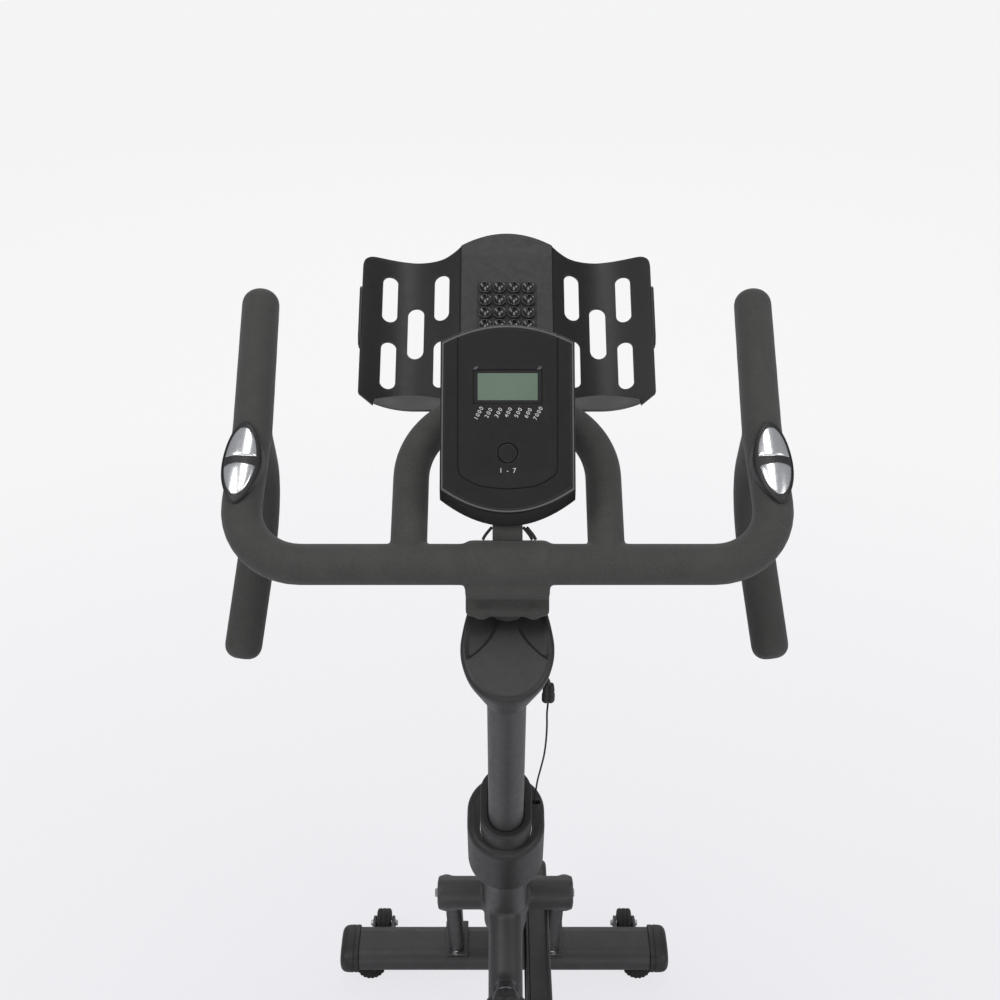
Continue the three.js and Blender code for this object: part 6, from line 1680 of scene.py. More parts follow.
FLYWHEEL_RADIUS, FLYWHEEL_RIM, FLYWHEEL_WEB = 180, 13, 5
BIG_PULLEY, SMALL_PULLEY, BELT_THICK = 95, 31, 3.2
BELT_NEAR, BELT_FAR, BELT_RIBS = BELT_X - 6.3, BELT_X + 6.3, 6
COVER_MARGIN = BELT_THICK + 10              # belt cover's edge, out from the pulleys
CRANK_LENGTH, PEDAL_OUT, PEDAL_WIDE, ARM_HALF = 170, 54, 84, 6.5
THREAD_PITCH, THREAD_DEPTH = 1.5, 0.45
SPINDLE_TIP = CRANK_X + PEDAL_OUT + PEDAL_WIDE / 2 + 2
HUB_LINE, CRANK_LINE = across_bike(HUB), across_bike(CRANK)


def ring_of(count, radius, start=0.0):
    """Shifts to points spread round an axis."""
    return [shift(radius * math.cos(start + turn), radius * math.sin(start + turn), 0)
            for turn in turns(count)]


def round_holes(count, radius, size, low, high):
    """Drills set round an axis."""
    return [place(rod("drill", size, low, high, 40), spot) for spot in ring_of(count, radius)]


def flywheel():
    r, rim, web = FLYWHEEL_RADIUS, FLYWHEEL_RIM, FLYWHEEL_WEB
    disc = turned("disc", looped([
        (6.4, -60.6), (12, -60.6), (13, -59.8), (13, -27), (14.5, -24), (26, -7), (30, -web - 0.4),
        (34, -web), (r - 38, -web), (r - 34.5, -web - 1), (r - 31, -rim + 1), (r - 29, -rim), (r - 8, -rim),
        (r - 8, rim), (r - 29, rim), (r - 31, rim - 1), (r - 34.5, web + 1), (r - 38, web), (34, web),
        (30, web + 0.4), (26, 9), (24, 12), (24, 33.9), (6.4, 33.9)]), 144)
    cut(disc, *round_holes(6, 86, 20, -30, 30))
    dress(place(eased(disc, 0.9, 3, angle=55, sharp=50), HUB_LINE), IRON, "flywheel", "flywheel")
    half = [(r, rim - 1.7), (r - 0.6, rim - 0.5), (r - 1.8, rim), (r - 9.6, rim), (r - 12, rim - 0.3)]
    band = turned("flywheel_machined_rim", looped([(radius, -z) for radius, z in reversed(half)] + half), 200)
    dress(place(eased(band, 0, sharp=30), HUB_LINE), STEEL, "flywheel")
    bolts = []
    for spot in ring_of(6, 42, math.pi / 6):
        for face in (0, math.pi):
            bolts.append(place(hex_bolt((0, 0, web - 0.2), 3.4), spot @ spin("X", face)))
    dress(place(merged("flywheel_bolts", *bolts), HUB_LINE), STEEL, "flywheel")


def ribbed(radius):
    """Profile of the belt's seat on a pulley: six vees between its faces."""
    step = (BELT_FAR - BELT_NEAR) / BELT_RIBS
    return [(radius - deep, BELT_NEAR + step * (k + at)) for k in range(BELT_RIBS)
            for deep, at in ((0, 0.15), (1, 0.5), (0, 0.85))]


def pulleys():
    near, far, r = BELT_NEAR, BELT_FAR, SMALL_PULLEY
    small = turned("flywheel_pulley_turned", looped([
        (6.4, near - 1.5), (r + 2, near - 1.5), (r + 3, near - 1.1), (r + 3, near - 0.3), (r + 0.4, near),
        *ribbed(r),
        (r + 0.4, far), (r + 3, far + 0.3), (r + 3, far + 1.1), (r + 2, far + 1.5), (14, far + 2),
        (12.4, far + 3), (12, 60.4), (11.4, 60.7), (6.4, 60.7)]), 96)
    dress(place(eased(small, 0, sharp=25), HUB_LINE), ALLOY, "flywheel", "flywheel_pulley")
    r = BIG_PULLEY
    big = turned("crank_pulley_turned", looped([
        (8.9, near - 3), (21, near - 3), (22, near - 2.4), (24, BELT_X - 3), (27, BELT_X - 2),
        (r - 11, BELT_X - 2), (r - 8.6, BELT_X - 3.2), (r - 7.6, near + 0.6), (r - 6.8, near),
        (r, near), *ribbed(r), (r, far), (r - 6.8, far), (r - 7.6, far - 0.6), (r - 8.6, BELT_X + 3.2),
        (r - 11, BELT_X + 2), (27, BELT_X + 2), (24, BELT_X + 3), (22, far + 1.4), (21, far + 2),
        (8.9, far + 2)]), 144)
    cut(big, *round_holes(5, 54, 17, 0, 90))
    dress(place(eased(big, 0.4, 2, angle=60, sharp=25), CRANK_LINE), ALLOY, "crank", "crank_pulley")


def threaded(radius, low, high):
    """Profile of a screw thread drawn as rings, from low to high."""
    root, line, z = radius - THREAD_DEPTH, [], low
    while z < high - THREAD_PITCH:
        line += [(root, z), (radius, z + THREAD_PITCH * 0.35), (radius, z + THREAD_PITCH * 0.6)]
        z += THREAD_PITCH
    return line + [(root, z), (root, high - 0.6), (radius - 1.2, high)]


def flywheel_axle():
    out = FORK_X + 11
    parts = []
    for side in (-1, 1):
        axle = turned("axle", [(0, 0), (6, 0), (6, out + 0.2), *threaded(6, out + 0.2, out + 14),
                               (0, out + 14)], 40)
        nut = turned("nut", looped([(6.2, out + 1.9), (10.3, out + 1.9), (11, out + 2.8), (11, out + 8.4),
                                    (10, out + 9.2), (6.2, out + 9.2)]), 6)
        washer = turned("washer", looped([(6.2, out + 0.3), (13.6, out + 0.3), (14, out + 0.8),
                                          (13.6, out + 1.8), (6.2, out + 1.8)]), 48)
        parts += [outward(place(part, HUB_LINE @ mirror(side)))
                  for part in (axle, eased(nut, 0.35, 2, sharp=30), washer)]
    dress(sharpened(merged("flywheel_axle_nutted", *parts), 30), STEEL, "frame", "flywheel_axle")


def round_both(ra, rb):
    """A line round two circles, the crank's and the flywheel's, as (along, up)."""
    rise, run = HUB.z - CRANK.z, HUB.y - CRANK.y
    toward = math.degrees(math.atan2(rise, run))
    spread = math.degrees(math.acos((ra - rb) / math.hypot(run, rise)))
    return (arc(CRANK.y, CRANK.z, ra, toward + spread, toward - spread + 360, 96)
            + arc(HUB.y, HUB.z, rb, toward - spread, toward + spread, 48))


def loop_line(grow, x):
    """A line round both pulleys, a margin outside them."""
    return [Vector((x, y, z)) for y, z in round_both(BIG_PULLEY + grow, SMALL_PULLEY + grow)]


def stacked(name, layers):
    """A body across the bike through loops round crank and flywheel, from (margin, x) pairs."""
    return loft(name, [loop_line(*layer) for layer in layers], fan=False)


def drive_belt():
    back = BELT_THICK + 0.3
    section = [(back, -5.4), (back, 5.4), (BELT_THICK, 6), (1.3, 6)]
    for k in range(BELT_RIBS):
        section += [(1.3, 5.4 - 2 * k), (0.4, 4.9 - 2 * k), (0.4, 4.5 - 2 * k), (1.3, 4.0 - 2 * k)]
    section += [(1.3, -6), (BELT_THICK, -6)]
    rings = [loop_line(grow, BELT_X + out) for grow, out in looped(section)]
    belt = sharpened(hoop("drive_belt_ribbed", rings), 40)
    dress(belt, RUBBER, "frame", "drive_belt")


def belt_cover_outer():
    m = COVER_MARGIN
    near, far = 30.7, 57.5
    shoulder = [(m - 7 * (1 - math.cos(t)), far - 7 + 7 * math.sin(t))
                for t in (math.pi / 16 * k for k in range(9))]
    shell = stacked("belt_cover_shell", [(m, near), *shoulder, (m - 16, far), (m - 17.2, far - 0.4),
                                         (m - 18.4, far - 1.4), (m - 21, far - 1.6)])
    hollow = stacked("hollow", [(m - 2.6, near - 5), (m - 2.6, far - 8), (m - 4.4, far - 4.2),
                                (m - 8, far - 3)])
    cut(shell, hollow, place(rod("hole", 16, 0, 100, 64), CRANK_LINE),
        place(rod("hole", 15, 0, 100, 64), HUB_LINE))
    shell = eased(shell, 0.35, 2, angle=55, sharp=45)
    rings = []
    for line, profile, sides in (
            (CRANK_LINE, [(19, -2.4), (19.4, -0.2), (20.4, 0.7), (28, 0.8), (29, 0.2), (29.4, -2.4)], 72),
            (HUB_LINE, [(17, -2.4), (17.4, -0.4), (18.2, 0.3), (23, 0.3), (23.8, -0.3), (24, -2.4)], 64)):
        ring = turned("ring", looped([(radius, far + out) for radius, out in profile]), sides)
        rings.append(eased(place(ring, line), 0, sharp=35))
    dress(merged("belt_cover_outer_shell", shell, *rings), PLASTIC, "frame", "belt_cover_outer")
    screws = []
    for t in (0.06, 0.2, 0.34, 0.55, 0.7, 0.9):
        line = round_both(BIG_PULLEY + m - 26, SMALL_PULLEY + m - 16)
        head = turned("screw", [(0, 0), (1.2, 0.0), (1.4, 0.9), (3.0, 0.9), (3.6, 0.3), (3.7, -0.9),
                                (0, -0.9)], 28)
        screws.append(place(head, across_bike((far - 1.4, *line[int(t * len(line))]))))
    dress(merged("belt_cover_screws", *screws), STEEL, "frame")


def belt_cover_inner():
    m = COVER_MARGIN
    plate = stacked("belt_cover_plate", [(m - 1.6, 26.4), (m - 0.4, 26.8), (m, 27.6), (m, 29.4),
                                         (m - 0.4, 30.1), (m - 1.4, 30.4)])
    cut(plate, place(rod("hole", 12.5, 0, 100, 48), CRANK_LINE), place(rod("hole", 28, 0, 100, 56), HUB_LINE))
    dress(eased(plate, 0, sharp=40), PLASTIC, "frame", "belt_cover_inner")


def crank_spindle():
    end = CRANK_X + 4
    half = [(0, 0), (8.5, 0), (8.5, end - 1), (7.7, end), (0, end)]
    both = [outward(place(turned("spindle", half, 48), CRANK_LINE @ mirror(side))) for side in (-1, 1)]
    dress(eased(merged("crank_spindle_turned", *both), 0, sharp=40), STEEL, "crank", "crank_spindle")
    for side in (-1, 1):
        nut = turned("nut", [(0, end - 0.4), (7.6, end - 0.4), (8.2, end + 0.4), (7.6, end + 1.2),
                             (0, end + 1.3)], 6)
        dress(outward(place(eased(nut, 0.3, 2), CRANK_LINE @ mirror(side))), STEEL, "crank")


def pedal_at(side):
    return shift(*(CRANK + Vector((side * (CRANK_X + PEDAL_OUT), side * CRANK_LENGTH, 0))))


def crank_arm(side, label):
    """Forged arm with a sunken panel along its outer face."""
    end = CRANK + Vector((0, side * CRANK_LENGTH, 0))
    toward = 0 if side > 0 else 180

    def layer(x, ra, rb, back=0.0, front=CRANK_LENGTH):
        spread = math.degrees(math.acos((ra - rb) / abs(front - back)))
        line = (arc(CRANK.y + side * back, CRANK.z, ra, toward + spread, toward - spread + 360, 40)
                + arc(CRANK.y + side * front, CRANK.z, rb, toward - spread, toward + spread, 30))
        return [Vector((side * x, y, z)) for y, z in line]

    inner, outer = CRANK_X - ARM_HALF, CRANK_X + ARM_HALF
    rows = [(2.2, inner), (0.7, inner + 0.6), (0, inner + 2.2), (0, outer - 2.6), (0.8, outer - 0.8),
            (2.6, outer)]
    arm = loft("arm", [layer(x, 19 - inset, 13.5 - inset) for inset, x in rows], fan=False)
    panel = loft("panel", [layer(x, grow + 8, grow + 5.2, 34, 144)
                           for grow, x in ((0, outer - 1.4), (1.2, outer + 1))], fan=False)
    cut(arm, panel, bar_across("bore", 8.8, side * CRANK_X - 20, side * CRANK_X + 20, CRANK))
    arm = eased(arm, 0.35, 2, angle=50, sharp=45)
    spindle = bar_across("spindle", 6.5, *sorted((side * CRANK_X, side * SPINDLE_TIP)), end, 40)
    collar = turned("collar", [(0, outer - 1), (10, outer - 1), (10, outer + 2.2), (9.2, outer + 3),
                               (0, outer + 3)], 40)
    collar = outward(place(collar, across_bike(end) @ mirror(side)))
    whole = merged(f"crank_arm_{label}_forged", arm, eased(spindle, 0.8, 2, angle=50),
                   eased(collar, 0, sharp=40))
    dress(whole, ALLOY, "crank", f"crank_arm_{label}")


def pedal(side, label):
    """Caged platform with toothed rails, bored for the spindle, and its end cap."""
    at, body_name = pedal_at(side), f"pedal_{label}"
    body = prism("rim", rounded_rect(PEDAL_WIDE, 96, 12, 10), -12, 12)
    cut(body, *(place(prism("gap", rounded_rect(68, 20, 4), -14, 14), shift(0, y, 0)) for y in (27, -27)))
    for face in (-12, 12):
        for y in (-43, 43):
            cut(body, *(place(prism("notch", rounded_rect(4.4, 12, 1, 2), face - 2.2, face + 2.2),
                              shift(-27 + 9 * k, y, 0)) for k in range(7)))
        cut(body, prism("tray", rounded_rect(60, 12, 2), face - 1.6, face + 1.6))
    cut(body, bar_across("bore", 6.8, -80, 80, (0, 0, 0)))
    dress(place(eased(body, 0.9, 2, angle=50, sharp=40), at), PLASTIC, body_name, body_name)
    cap = turned("cap", [(0, 42.6), (8, 42.6), (8.6, 42), (9, 40.5), (0, 40.5)])
    cap = outward(place(cap, at @ spin("Y") @ mirror(side)))
    dress(eased(cap, 0, sharp=40), GLOSS, body_name)


def toe_cage(side, label):
    """Basket round the toe, its strap and the strap's buckle."""
    at = pedal_at(side)
    edge, front, strap_y = PEDAL_WIDE / 2 + 1.8, 49.8, 26
    strip = [(-1.5, -20.5), (-1.5, -13), (-1.5, -8), (-1.5, 8), (-1.5, 13), (-1.5, 20.5), (0, 22),
             (1.5, 20.5), (1.5, 8), (1.5, -8), (1.5, -20.5), (0, -22)]
    toe_line = [Vector(p) for p in ((0, front, -10), (0, front, 26), (0, front - 13.5, 64), (0, 18, 70))]
    toe = sweep(f"toe_cage_{label}_basket", bent_path(toe_line, [60, 24], 12, 6), strip, up=(0, -1, 0))
    for z in (8, 30):
        cut(toe, place(prism("window", rounded_rect(26, 12, 4), 0, 90), shift(0, 0, z + 3)
                       @ spin("X", -math.pi / 2)))
    strap_line = [Vector((x, strap_y, z))
                  for x, z in ((-edge, -9), (-edge, 44), (-24, 70), (24, 70), (edge, 44),
                                                      (edge, -9))]
    band = [(-1.4, -12.4), (-1.4, 12.4), (-0.8, 13), (0.8, 13), (1.4, 12.4), (1.4, -12.4), (0.8, -13),
            (-0.8, -13)]
    strap = sweep(f"toe_strap_{label}", bent_path(strap_line, [18] * 4, 10, 8), band, up=(0.1, 0, 0.1))
    dress(place(eased(toe, 0.6, 2, angle=50, sharp=45), at), PLASTIC, f"pedal_{label}", f"toe_cage_{label}")
    dress(place(eased(strap, 0, sharp=50), at), RUBBER, f"pedal_{label}")
    buckle = cut(prism("buckle", rounded_rect(8, 30, 2.5, 5), -2.6, 2.6),
                 prism("slot", rounded_rect(4.4, 26.6, 1, 3), -9, 9))
    dress(place(eased(buckle, 0.5, 2), at @ shift(side * edge, strap_y, 28) @ spin("Y")), STEEL,
          f"pedal_{label}")


flywheel()
pulleys()
flywheel_axle()
drive_belt()
belt_cover_outer()
belt_cover_inner()
crank_spindle()
for side, label in SIDES:
    crank_arm(side, label)
    pedal(side, label)
    toe_cage(side, label)


# ---------------------------------------------------------------- brake, pull pins and knobs


def brake():
    foot = -24.9                            # knob's underside, up the brake line from its mark
    shoe_top = FLYWHEEL_RADIUS + BRAKE_RIM + 11 - BRAKE_REACH
    stem = turned("brake_rod_turned", [(0, shoe_top - 1), (5, shoe_top - 1), (5, foot - 1),
                                       *threaded(5, foot - 1, foot + 31), (0, foot + 31)], 40)
    shoe = box_of("shoe", (-12, -20, shoe_top - 4), (12, 20, shoe_top), 1.0)
    nut = hex_bolt((0, 0, shoe_top - 0.4), 7.0)
    whole = sharpened(merged("brake_rod_and_shoe", eased(stem, 0, sharp=30), shoe, nut), 35)
    dress(place(whole, BRAKE_LINE), STEEL, "brake_shoe", "brake_rod")
    top = shoe_top - 4.3
    block = box_of("pad", (-11, -19, top - 13), (11, 19, top), 1.1)
    cut(block, bar_across("rim", FLYWHEEL_RADIUS + BRAKE_RIM, -40, 40, (0, 0, -BRAKE_REACH), 256))
    dress(place(eased(block, 0, sharp=40), BRAKE_LINE), FELT, "brake_shoe", "brake_pad")
    knob = turned("resistance_knob_moulding", [(radius, foot + up) for radius, up in (
        (5.4, 0), (15.2, 0), (16, 0.8), (17, 5), (16.4, 8), (14.3, 13), (14, 16), (14.6, 22), (17, 29),
        (21, 35), (23.4, 41), (24, 46), (24, 53), (23, 57), (20.4, 60), (19.4, 60.4), (18.4, 59.6),
        (17.4, 59.9), (12, 61.3), (0, 62), (0, 34), (5.4, 32.4), (5.4, 0))], 192)
    rippled(knob, 8, 3.0, 15.2, 3)
    dress(place(eased(knob, 0, sharp=38), BRAKE_LINE), PLASTIC, "resistance_knob", "resistance_knob")
    ring = turned("knob_ring", [(radius, foot + up) for radius, up in (
        (13.6, 15), (14.6, 15.3), (14.9, 16.4), (14.6, 17.5), (13.6, 17.8), (13.6, 15))], 64)
    dress(place(eased(ring, 0, sharp=50), BRAKE_LINE), STEEL, "resistance_knob")


def pull_pin(name, body, where):
    """Fluted knob with its steel pin."""
    head = turned(f"{name}_moulding", [
        (0, 30), (8.4, 30), (9.2, 30.6), (12.6, 33.6), (13.8, 37), (15, 42), (16.6, 48), (18.4, 52.5),
        (19, 55.5), (19, 59), (18, 62), (15.4, 64.6), (14.4, 65), (13.6, 64.6), (8, 66.2), (0, 66.8)], 168)
    rippled(head, 6, 2.6, 13.2, 3)
    dress(place(eased(head, 0, sharp=38), where), PLASTIC, body, name)
    pin = turned(f"{name}_steel", [(0, -6.3), (3.6, -6.3), (4.7, -5.2), (4.7, 31), (0, 31)], 36)
    dress(place(eased(pin, 0, sharp=40), where), STEEL, body)


# ---------------------------------------------------------------- seat post and slider


SEAT_TOP = SEAT_LINE @ Vector((0, 0, 560))
RAIL_Z = SEAT_TOP.z + 18
SLEEVE_ENDS = (SEAT_TOP.y - 88, SEAT_TOP.y + 42)
SLIDER_KNOB_Y = SLEEVE_ENDS[0] + 22
SADDLE_Y = sum(SLEEVE_ENDS) / 2
BRIDGE_Z = RAIL_Z + 24
BEAD_SIDES = 12


def run_along(name, outline, y0, y1, z, edge=0.0):
    """An outline of (x, z) pairs made long along the bike."""
    turn = Matrix(((1, 0, 0, 0), (0, 0, -1, y1), (0, 1, 0, z), (0, 0, 0, 1)))
    return place(eased(prism(name, outline, 0, y1 - y0), edge, 2, angle=50), turn)


def closed_tube(path, radius):
    """A round bead along a closed path."""
    rings = []
    for i, at in enumerate(path):
        along_path = (path[(i + 1) % len(path)] - path[i - 1]).normalized()
        side = Vector((0, 0, 1)).cross(along_path).normalized()
        rise = along_path.cross(side)
        rings.append([at + side * a + rise * b for a, b in circle(radius, BEAD_SIDES)])
    return hoop("bead", looped(rings))


def weld_bead(line, size, level):
    """Rippled bead round an upright tube where it meets a level face."""
    path = []
    rise = line.to_3x3() @ Vector((0, 0, 1))
    for x, y in flat_oval(*size, 20):
        foot = line @ Vector((x, y, 0))
        path.append(foot + rise * ((level - foot.z) / rise.z))
    bead = closed_tube(path, 2.0)
    for k, vertex in enumerate(bead.data.vertices):
        vertex.co.z += 0.25 * MM * math.sin(k // BEAD_SIDES * 1.9)
    return bead


def seat_post():
    tube = place(post_tube(215, 590, PIN_UP, range(-3, 5), 1), SEAT_LINE)
    under = RAIL_Z - 14
    cut(tube, box_of("above", (-60, SEAT_TOP.y - 120, under - 1), (60, SEAT_TOP.y + 120, under + 200)))
    sleeve = run_along("sleeve", rounded_rect(46, 36, 5), *SLEEVE_ENDS, RAIL_Z)
    cut(sleeve, run_along("bore", rounded_rect(38.8, 28.8, 3), SLEEVE_ENDS[0] - 5, SLEEVE_ENDS[1] + 5,
                          RAIL_Z),
        place(rod("drill", 5.3, under - 20, under + 6), shift(0, SLIDER_KNOB_Y, 0)))
    nut = turned("nut", [(5.4, under - 12), (9, under - 12), (9, under - 1), (5.4, under - 1),
                         (5.4, under - 12)], 6)
    place(eased(nut, 0.4, 2), shift(0, SLIDER_KNOB_Y, 0))
    bead = weld_bead(SEAT_LINE, (POST_SIZE[0] + 1.6, POST_SIZE[1] + 1.6), under - 4.4)
    whole = merged("seat_post_welded", eased(tube, 0.3, 2, angle=50), eased(sleeve, 0.7, 2, angle=50), nut,
                   bead)
    dress(sharpened(whole, 40), PAINT, "seat_post", "seat_post")


def slider_knob():
    top = RAIL_Z - 26.3
    rings = []
    for drop, inset in ((0, 1.6), (0.5, 0.5), (1.8, 0), (13, 0), (15.4, 0.8), (17, 2.6), (17.8, 5.5),
                        (18, 9)):
        ring = []
        for turn in turns(144):
            reach = 15 + 8 * (0.5 + 0.5 * math.cos(3 * (turn - math.pi / 2))) ** 1.4 - inset
            ring.append((reach * math.cos(turn), reach * math.sin(turn), top - drop))
        rings.append(ring)
    where = shift(0, SLIDER_KNOB_Y, 0)
    grip = eased(loft("slider_knob_moulding", rings), 0, sharp=40)
    dress(place(grip, where), PLASTIC, "slider_knob", "slider_knob")
    stud = turned("slider_stud", [(0, top - 4), *threaded(5, top - 4, top + 11.2), (0, top + 11.2)])
    dress(place(eased(stud, 0, sharp=30), where), STEEL, "slider_knob")


def seat_slider():
    y0, y1 = SADDLE_Y - 125, SADDLE_Y + 125
    tube = run_along("tube", rounded_rect(38, 28, 3), y0, y1, RAIL_Z)
    cut(tube, run_along("hollow", rounded_rect(33, 23, 2), y0 - 5, y1 + 5, RAIL_Z))
    plate = box_of("plate", (-19, y0, BRIDGE_Z), (19, y1, BRIDGE_Z + 5), 1.2)
    feet = [box_of("foot", (-19, y, RAIL_Z + 13), (19, y + 8, BRIDGE_Z + 1), 0.8) for y in (y0, y1 - 8)]
    stub = turned("stub", [(0, 2), (11, 2), (11, 36.4), (10, 37.7), (0, 37.7)], 48)
    place(stub, shift(0, SADDLE_Y, BRIDGE_Z))
    bead = closed_tube([Vector((x, y + SADDLE_Y, BRIDGE_Z + 5.2)) for x, y in circle(11.6, 60)], 1.9)
    whole = merged("seat_slider_welded", eased(tube, 0.3, 2, angle=50), plate, *feet,
                   eased(stub, 0, sharp=40), bead)
    dress(sharpened(whole, 40), PAINT, "seat_slider", "seat_slider")
    marks = []
    for side in (-1, 1):
        for k in range(13):
            mark = prism("mark", rounded_rect(0.7, 9 if k % 4 == 0 else 5, 0.3, 2), -0.04, 0.04)
            at = shift(side * 19.02, SADDLE_Y - 60 + 10 * k, RAIL_Z)
            marks.append(place(mark, at @ spin("Y") @ spin("Z")))
    dress(merged("slider_marks", *marks), DIM_INK, "seat_slider")


def saddle_clamp():
    y, z = SADDLE_Y, BRIDGE_Z + 40
    block = box_of("block", (-27, y - 20, z - 22), (27, y + 20, z + 4))
    grooves = [box_of("groove", (-40, y + at - 0.8, z - 3.2), (40, y + at + 0.8, z + 9)) for at in (-12, 12)]
    cut(block, place(rod("bore", 11.35, z - 30, z - 2, 48), shift(0, y, 0)), *grooves)
    bolts = [hex_bolt((side * 27, y, z - 12), 5.2, (side, 0, 0)) for side in (-1, 1)]
    whole = merged("saddle_clamp_block", eased(block, 1.6, 3, angle=50, sharp=40), *bolts)
    dress(whole, STEEL, "seat_slider", "saddle_clamp")
    under = SADDLE_FOOT - 3.8
    rails = []
    for side in (-1, 1):
        corners = [Vector((side * x, y + at, height)) for x, at, height in (
            (30, -118, under), (24, -88, under), (22, -45, z - 3), (22, 45, z - 3), (16, 84, under),
            (12, 112, under))]
        rails.append(sweep("rail", bent_path(corners, [20, 24, 24, 24], 12, 8), circle(3.5, 20)))
    dress(merged("saddle_rails", *rails), CHROME, "seat_slider")


# ---------------------------------------------------------------- saddle


SADDLE_LONG, SADDLE_FOOT, PAD_RISE, SEAM_INSET = 272, BRIDGE_Z + 66, 37, 9
SADDLE_EDGE = [(0, 1), (16, 0.985), (24, 0.9), (28, 0.7), (38, 0.52), (62, 0.36), (88, 0.22), (97, 0.1),
               (88, 0.02), (50, -0.005), (16, 0.015)]
SADDLE_START = SADDLE_Y - SADDLE_LONG / 2
CLOTH_FRAMES = 20


def evenly(points, count):
    """Points of a closed line, spread evenly."""
    points = [Vector(p) for p in points]
    steps = [(b - a).length for a, b in zip(points, points[1:] + points[:1])]
    total, out, i, run = sum(steps), [], 0, 0.0
    for k in range(count):
        want = total * k / count
        while run + steps[i] < want:
            run += steps[i]
            i += 1
        out.append(points[i].lerp(points[(i + 1) % len(points)], (want - run) / steps[i]))
    return out


def saddle_ring(inset, z, crown=0.0, count=120):
    right = [(x, t * SADDLE_LONG, 0) for x, t in SADDLE_EDGE]
    left = [(-x, t * SADDLE_LONG, 0) for x, t in reversed(SADDLE_EDGE[1:])]
    middle = 0.42 * SADDLE_LONG
    ring = []
    for p in evenly(curve_through(right + left, 8, closed=True), count):
        along_saddle = middle + (p.y - middle) * (1 - inset / 130)
        tail = max(0.0, 0.3 - p.y / SADDLE_LONG) * crown
        ring.append(Vector((p.x * max(0.1, 1 - inset / 40), SADDLE_START + along_saddle, z + tail)))
    return ring


def saddle_shell():
    z = SADDLE_FOOT
    shell = loft("saddle_shell_moulding", [saddle_ring(inset, z + up) for inset, up in (
        (24, 0.4), (16, 0), (12, 0.5), (7, 2.0), (4, 4.0), (2, 6.6), (1.1, 9), (0.5, 12), (0.2, 14.2),
        (1.0, 15))])
    profile = [(0, 0.6), (4.4, 0.6), (5.2, 0), (5.4, -1), (0, -1.4)]
    screws = [place(turned("screw", profile, 28), shift(x, SADDLE_Y + y, z + 0.6))
              for x, y in ((30, -96), (-30, -96), (14, 92), (-14, 92))]
    whole = sharpened(merged("saddle_shell_screwed", shell, *screws), 45)
    dress(whole, PLASTIC, "seat_slider", "saddle_shell")


def inflated(obj, pressure, cap):
    """Blows a closed skin up as cloth, no point moving further than the cap in millimetres."""
    start = moved = np.array([v.co[:] for v in obj.data.vertices])
    skin = obj.modifiers.new("cloth", "CLOTH")
    skin.settings.use_pressure = True
    skin.settings.uniform_pressure_force = pressure
    skin.settings.quality = 6
    skin.settings.effector_weights.gravity = 0
    skin.point_cache.frame_start, skin.point_cache.frame_end = 1, CLOTH_FRAMES
    for step in range(1, CLOTH_FRAMES + 1):
        bpy.context.scene.frame_set(step)
        bpy.context.view_layer.update()
    blown = obj.evaluated_get(bpy.context.evaluated_depsgraph_get())
    moved = np.array([v.co[:] for v in blown.data.vertices])
    obj.modifiers.clear()
    bpy.context.scene.frame_set(1)
    travel = moved - start
    reach = np.linalg.norm(travel, axis=1)
    travel *= np.minimum(1, cap * MM / np.maximum(reach, 1e-9))[:, None]
    obj.data.vertices.foreach_set("co", (start + travel).ravel())
    obj.data.update()
    return obj


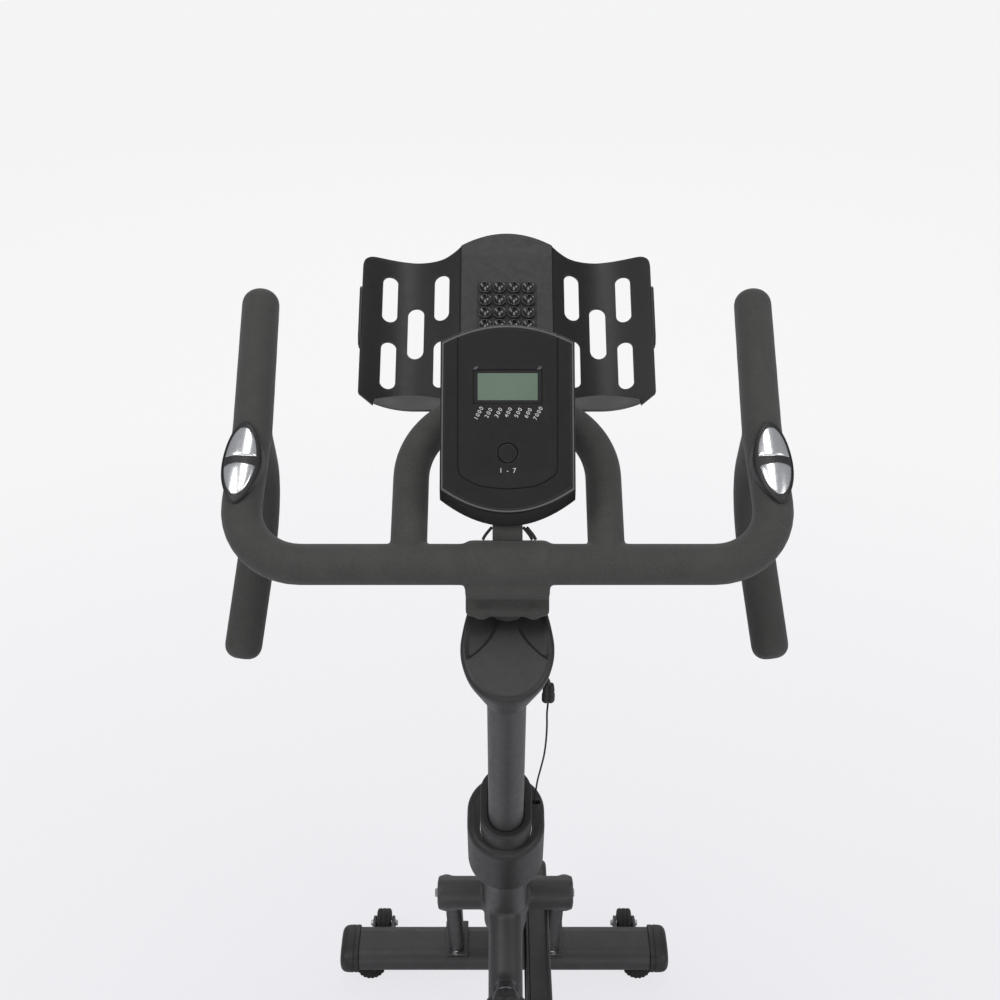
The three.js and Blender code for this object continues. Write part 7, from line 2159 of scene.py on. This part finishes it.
def saddle_pad():
    z = SADDLE_FOOT + 15.6
    top = z + PAD_RISE
    skin = loft("saddle_cushion", [saddle_ring(inset, up, crown) for inset, up, crown in (
        (4.0, z + 2.4, 0), (3.2, z + 4, 2), (2.6, z + 9, 8), (3.2, z + 15, 14), (5, z + 21, 20),
        (8, z + 26, 26), (12, top - 8, 32), (18, top - 4.6, 38), (25, top - 3.2, 41), (32, top - 2.8, 42))])
    skin = inflated(melted("saddle_cushion", 4.5, 2, skin), 4.0, 3.2)
    finer = skin.modifiers.new("finer", "SUBSURF")
    finer.levels = finer.render_levels = 1
    settle(skin)
    settle_seat(skin, z)
    skin.data.shade_smooth()
    dress(skin, VINYL, "seat_slider", "saddle_pad")
    stitch_seam(skin, z)


def settle_seat(skin, floor):
    """Presses the relief channel and the seam groove into the cushion, and flattens its foot."""
    seam = np.array([[p.x, p.y] for p in saddle_ring(SEAM_INSET, 0, 0, 360)]) * MM
    points = np.array([v.co[:] for v in skin.data.vertices])
    x, y = points[:, 0] / MM, (points[:, 1] / MM - SADDLE_START) / SADDLE_LONG
    upper = np.clip((points[:, 2] / MM - floor - 12) / 10, 0, 1)
    window = np.clip((y - 0.12) / 0.1, 0, 1) * np.clip((0.8 - y) / 0.12, 0, 1)
    sink = 3.4 * np.exp(-(x / 9) ** 2) * window * upper
    near = np.min(np.linalg.norm(points[:, None, :2] - seam[None], axis=2), axis=1) / MM
    sink += 1.1 * np.exp(-(near / 2.2) ** 2) * upper
    points[:, 2] -= sink * MM
    points[:, 2] = np.maximum(points[:, 2], (floor + 0.1) * MM)
    skin.data.vertices.foreach_set("co", points.ravel())
    skin.data.update()


def stitch_seam(skin, floor):
    """A row of stitches that lies in the seam groove."""
    tree = BVHTree.FromObject(skin, bpy.context.evaluated_depsgraph_get())
    line = []
    for p in saddle_ring(SEAM_INSET, 0, 0, 340):
        hit = tree.ray_cast(Vector((p.x, p.y, floor + 120)) * MM, Vector((0, 0, -1)))[0]
        line.append(hit / MM + Vector((0, 0, 0.25)))
    stitches = []
    for a, b in zip(line[::2], line[1::2]):
        middle = (a + b) / 2 + Vector((0, 0, 0.35))
        path = [a.lerp(b, -0.12), a.lerp(middle, 0.6), middle, b.lerp(middle, 0.6), b.lerp(a, -0.12)]
        stitches.append(sweep("stitch", path, circle(0.42, 8), up=(0, 0, 1)))
    dress(merged("saddle_stitches", *stitches), THREAD, "seat_slider")


brake()
pull_pin("post_pin_knob", "post_pin", POST_PIN)
pull_pin("seat_pin_knob", "seat_pin", SEAT_PIN)
bushing("seat_collar", SEAT_LINE, SEAT_TUBE, SEAT_TUBE + 1, PIN_UP)
seat_post()
slider_knob()
seat_slider()
saddle_clamp()
saddle_shell()
saddle_pad()
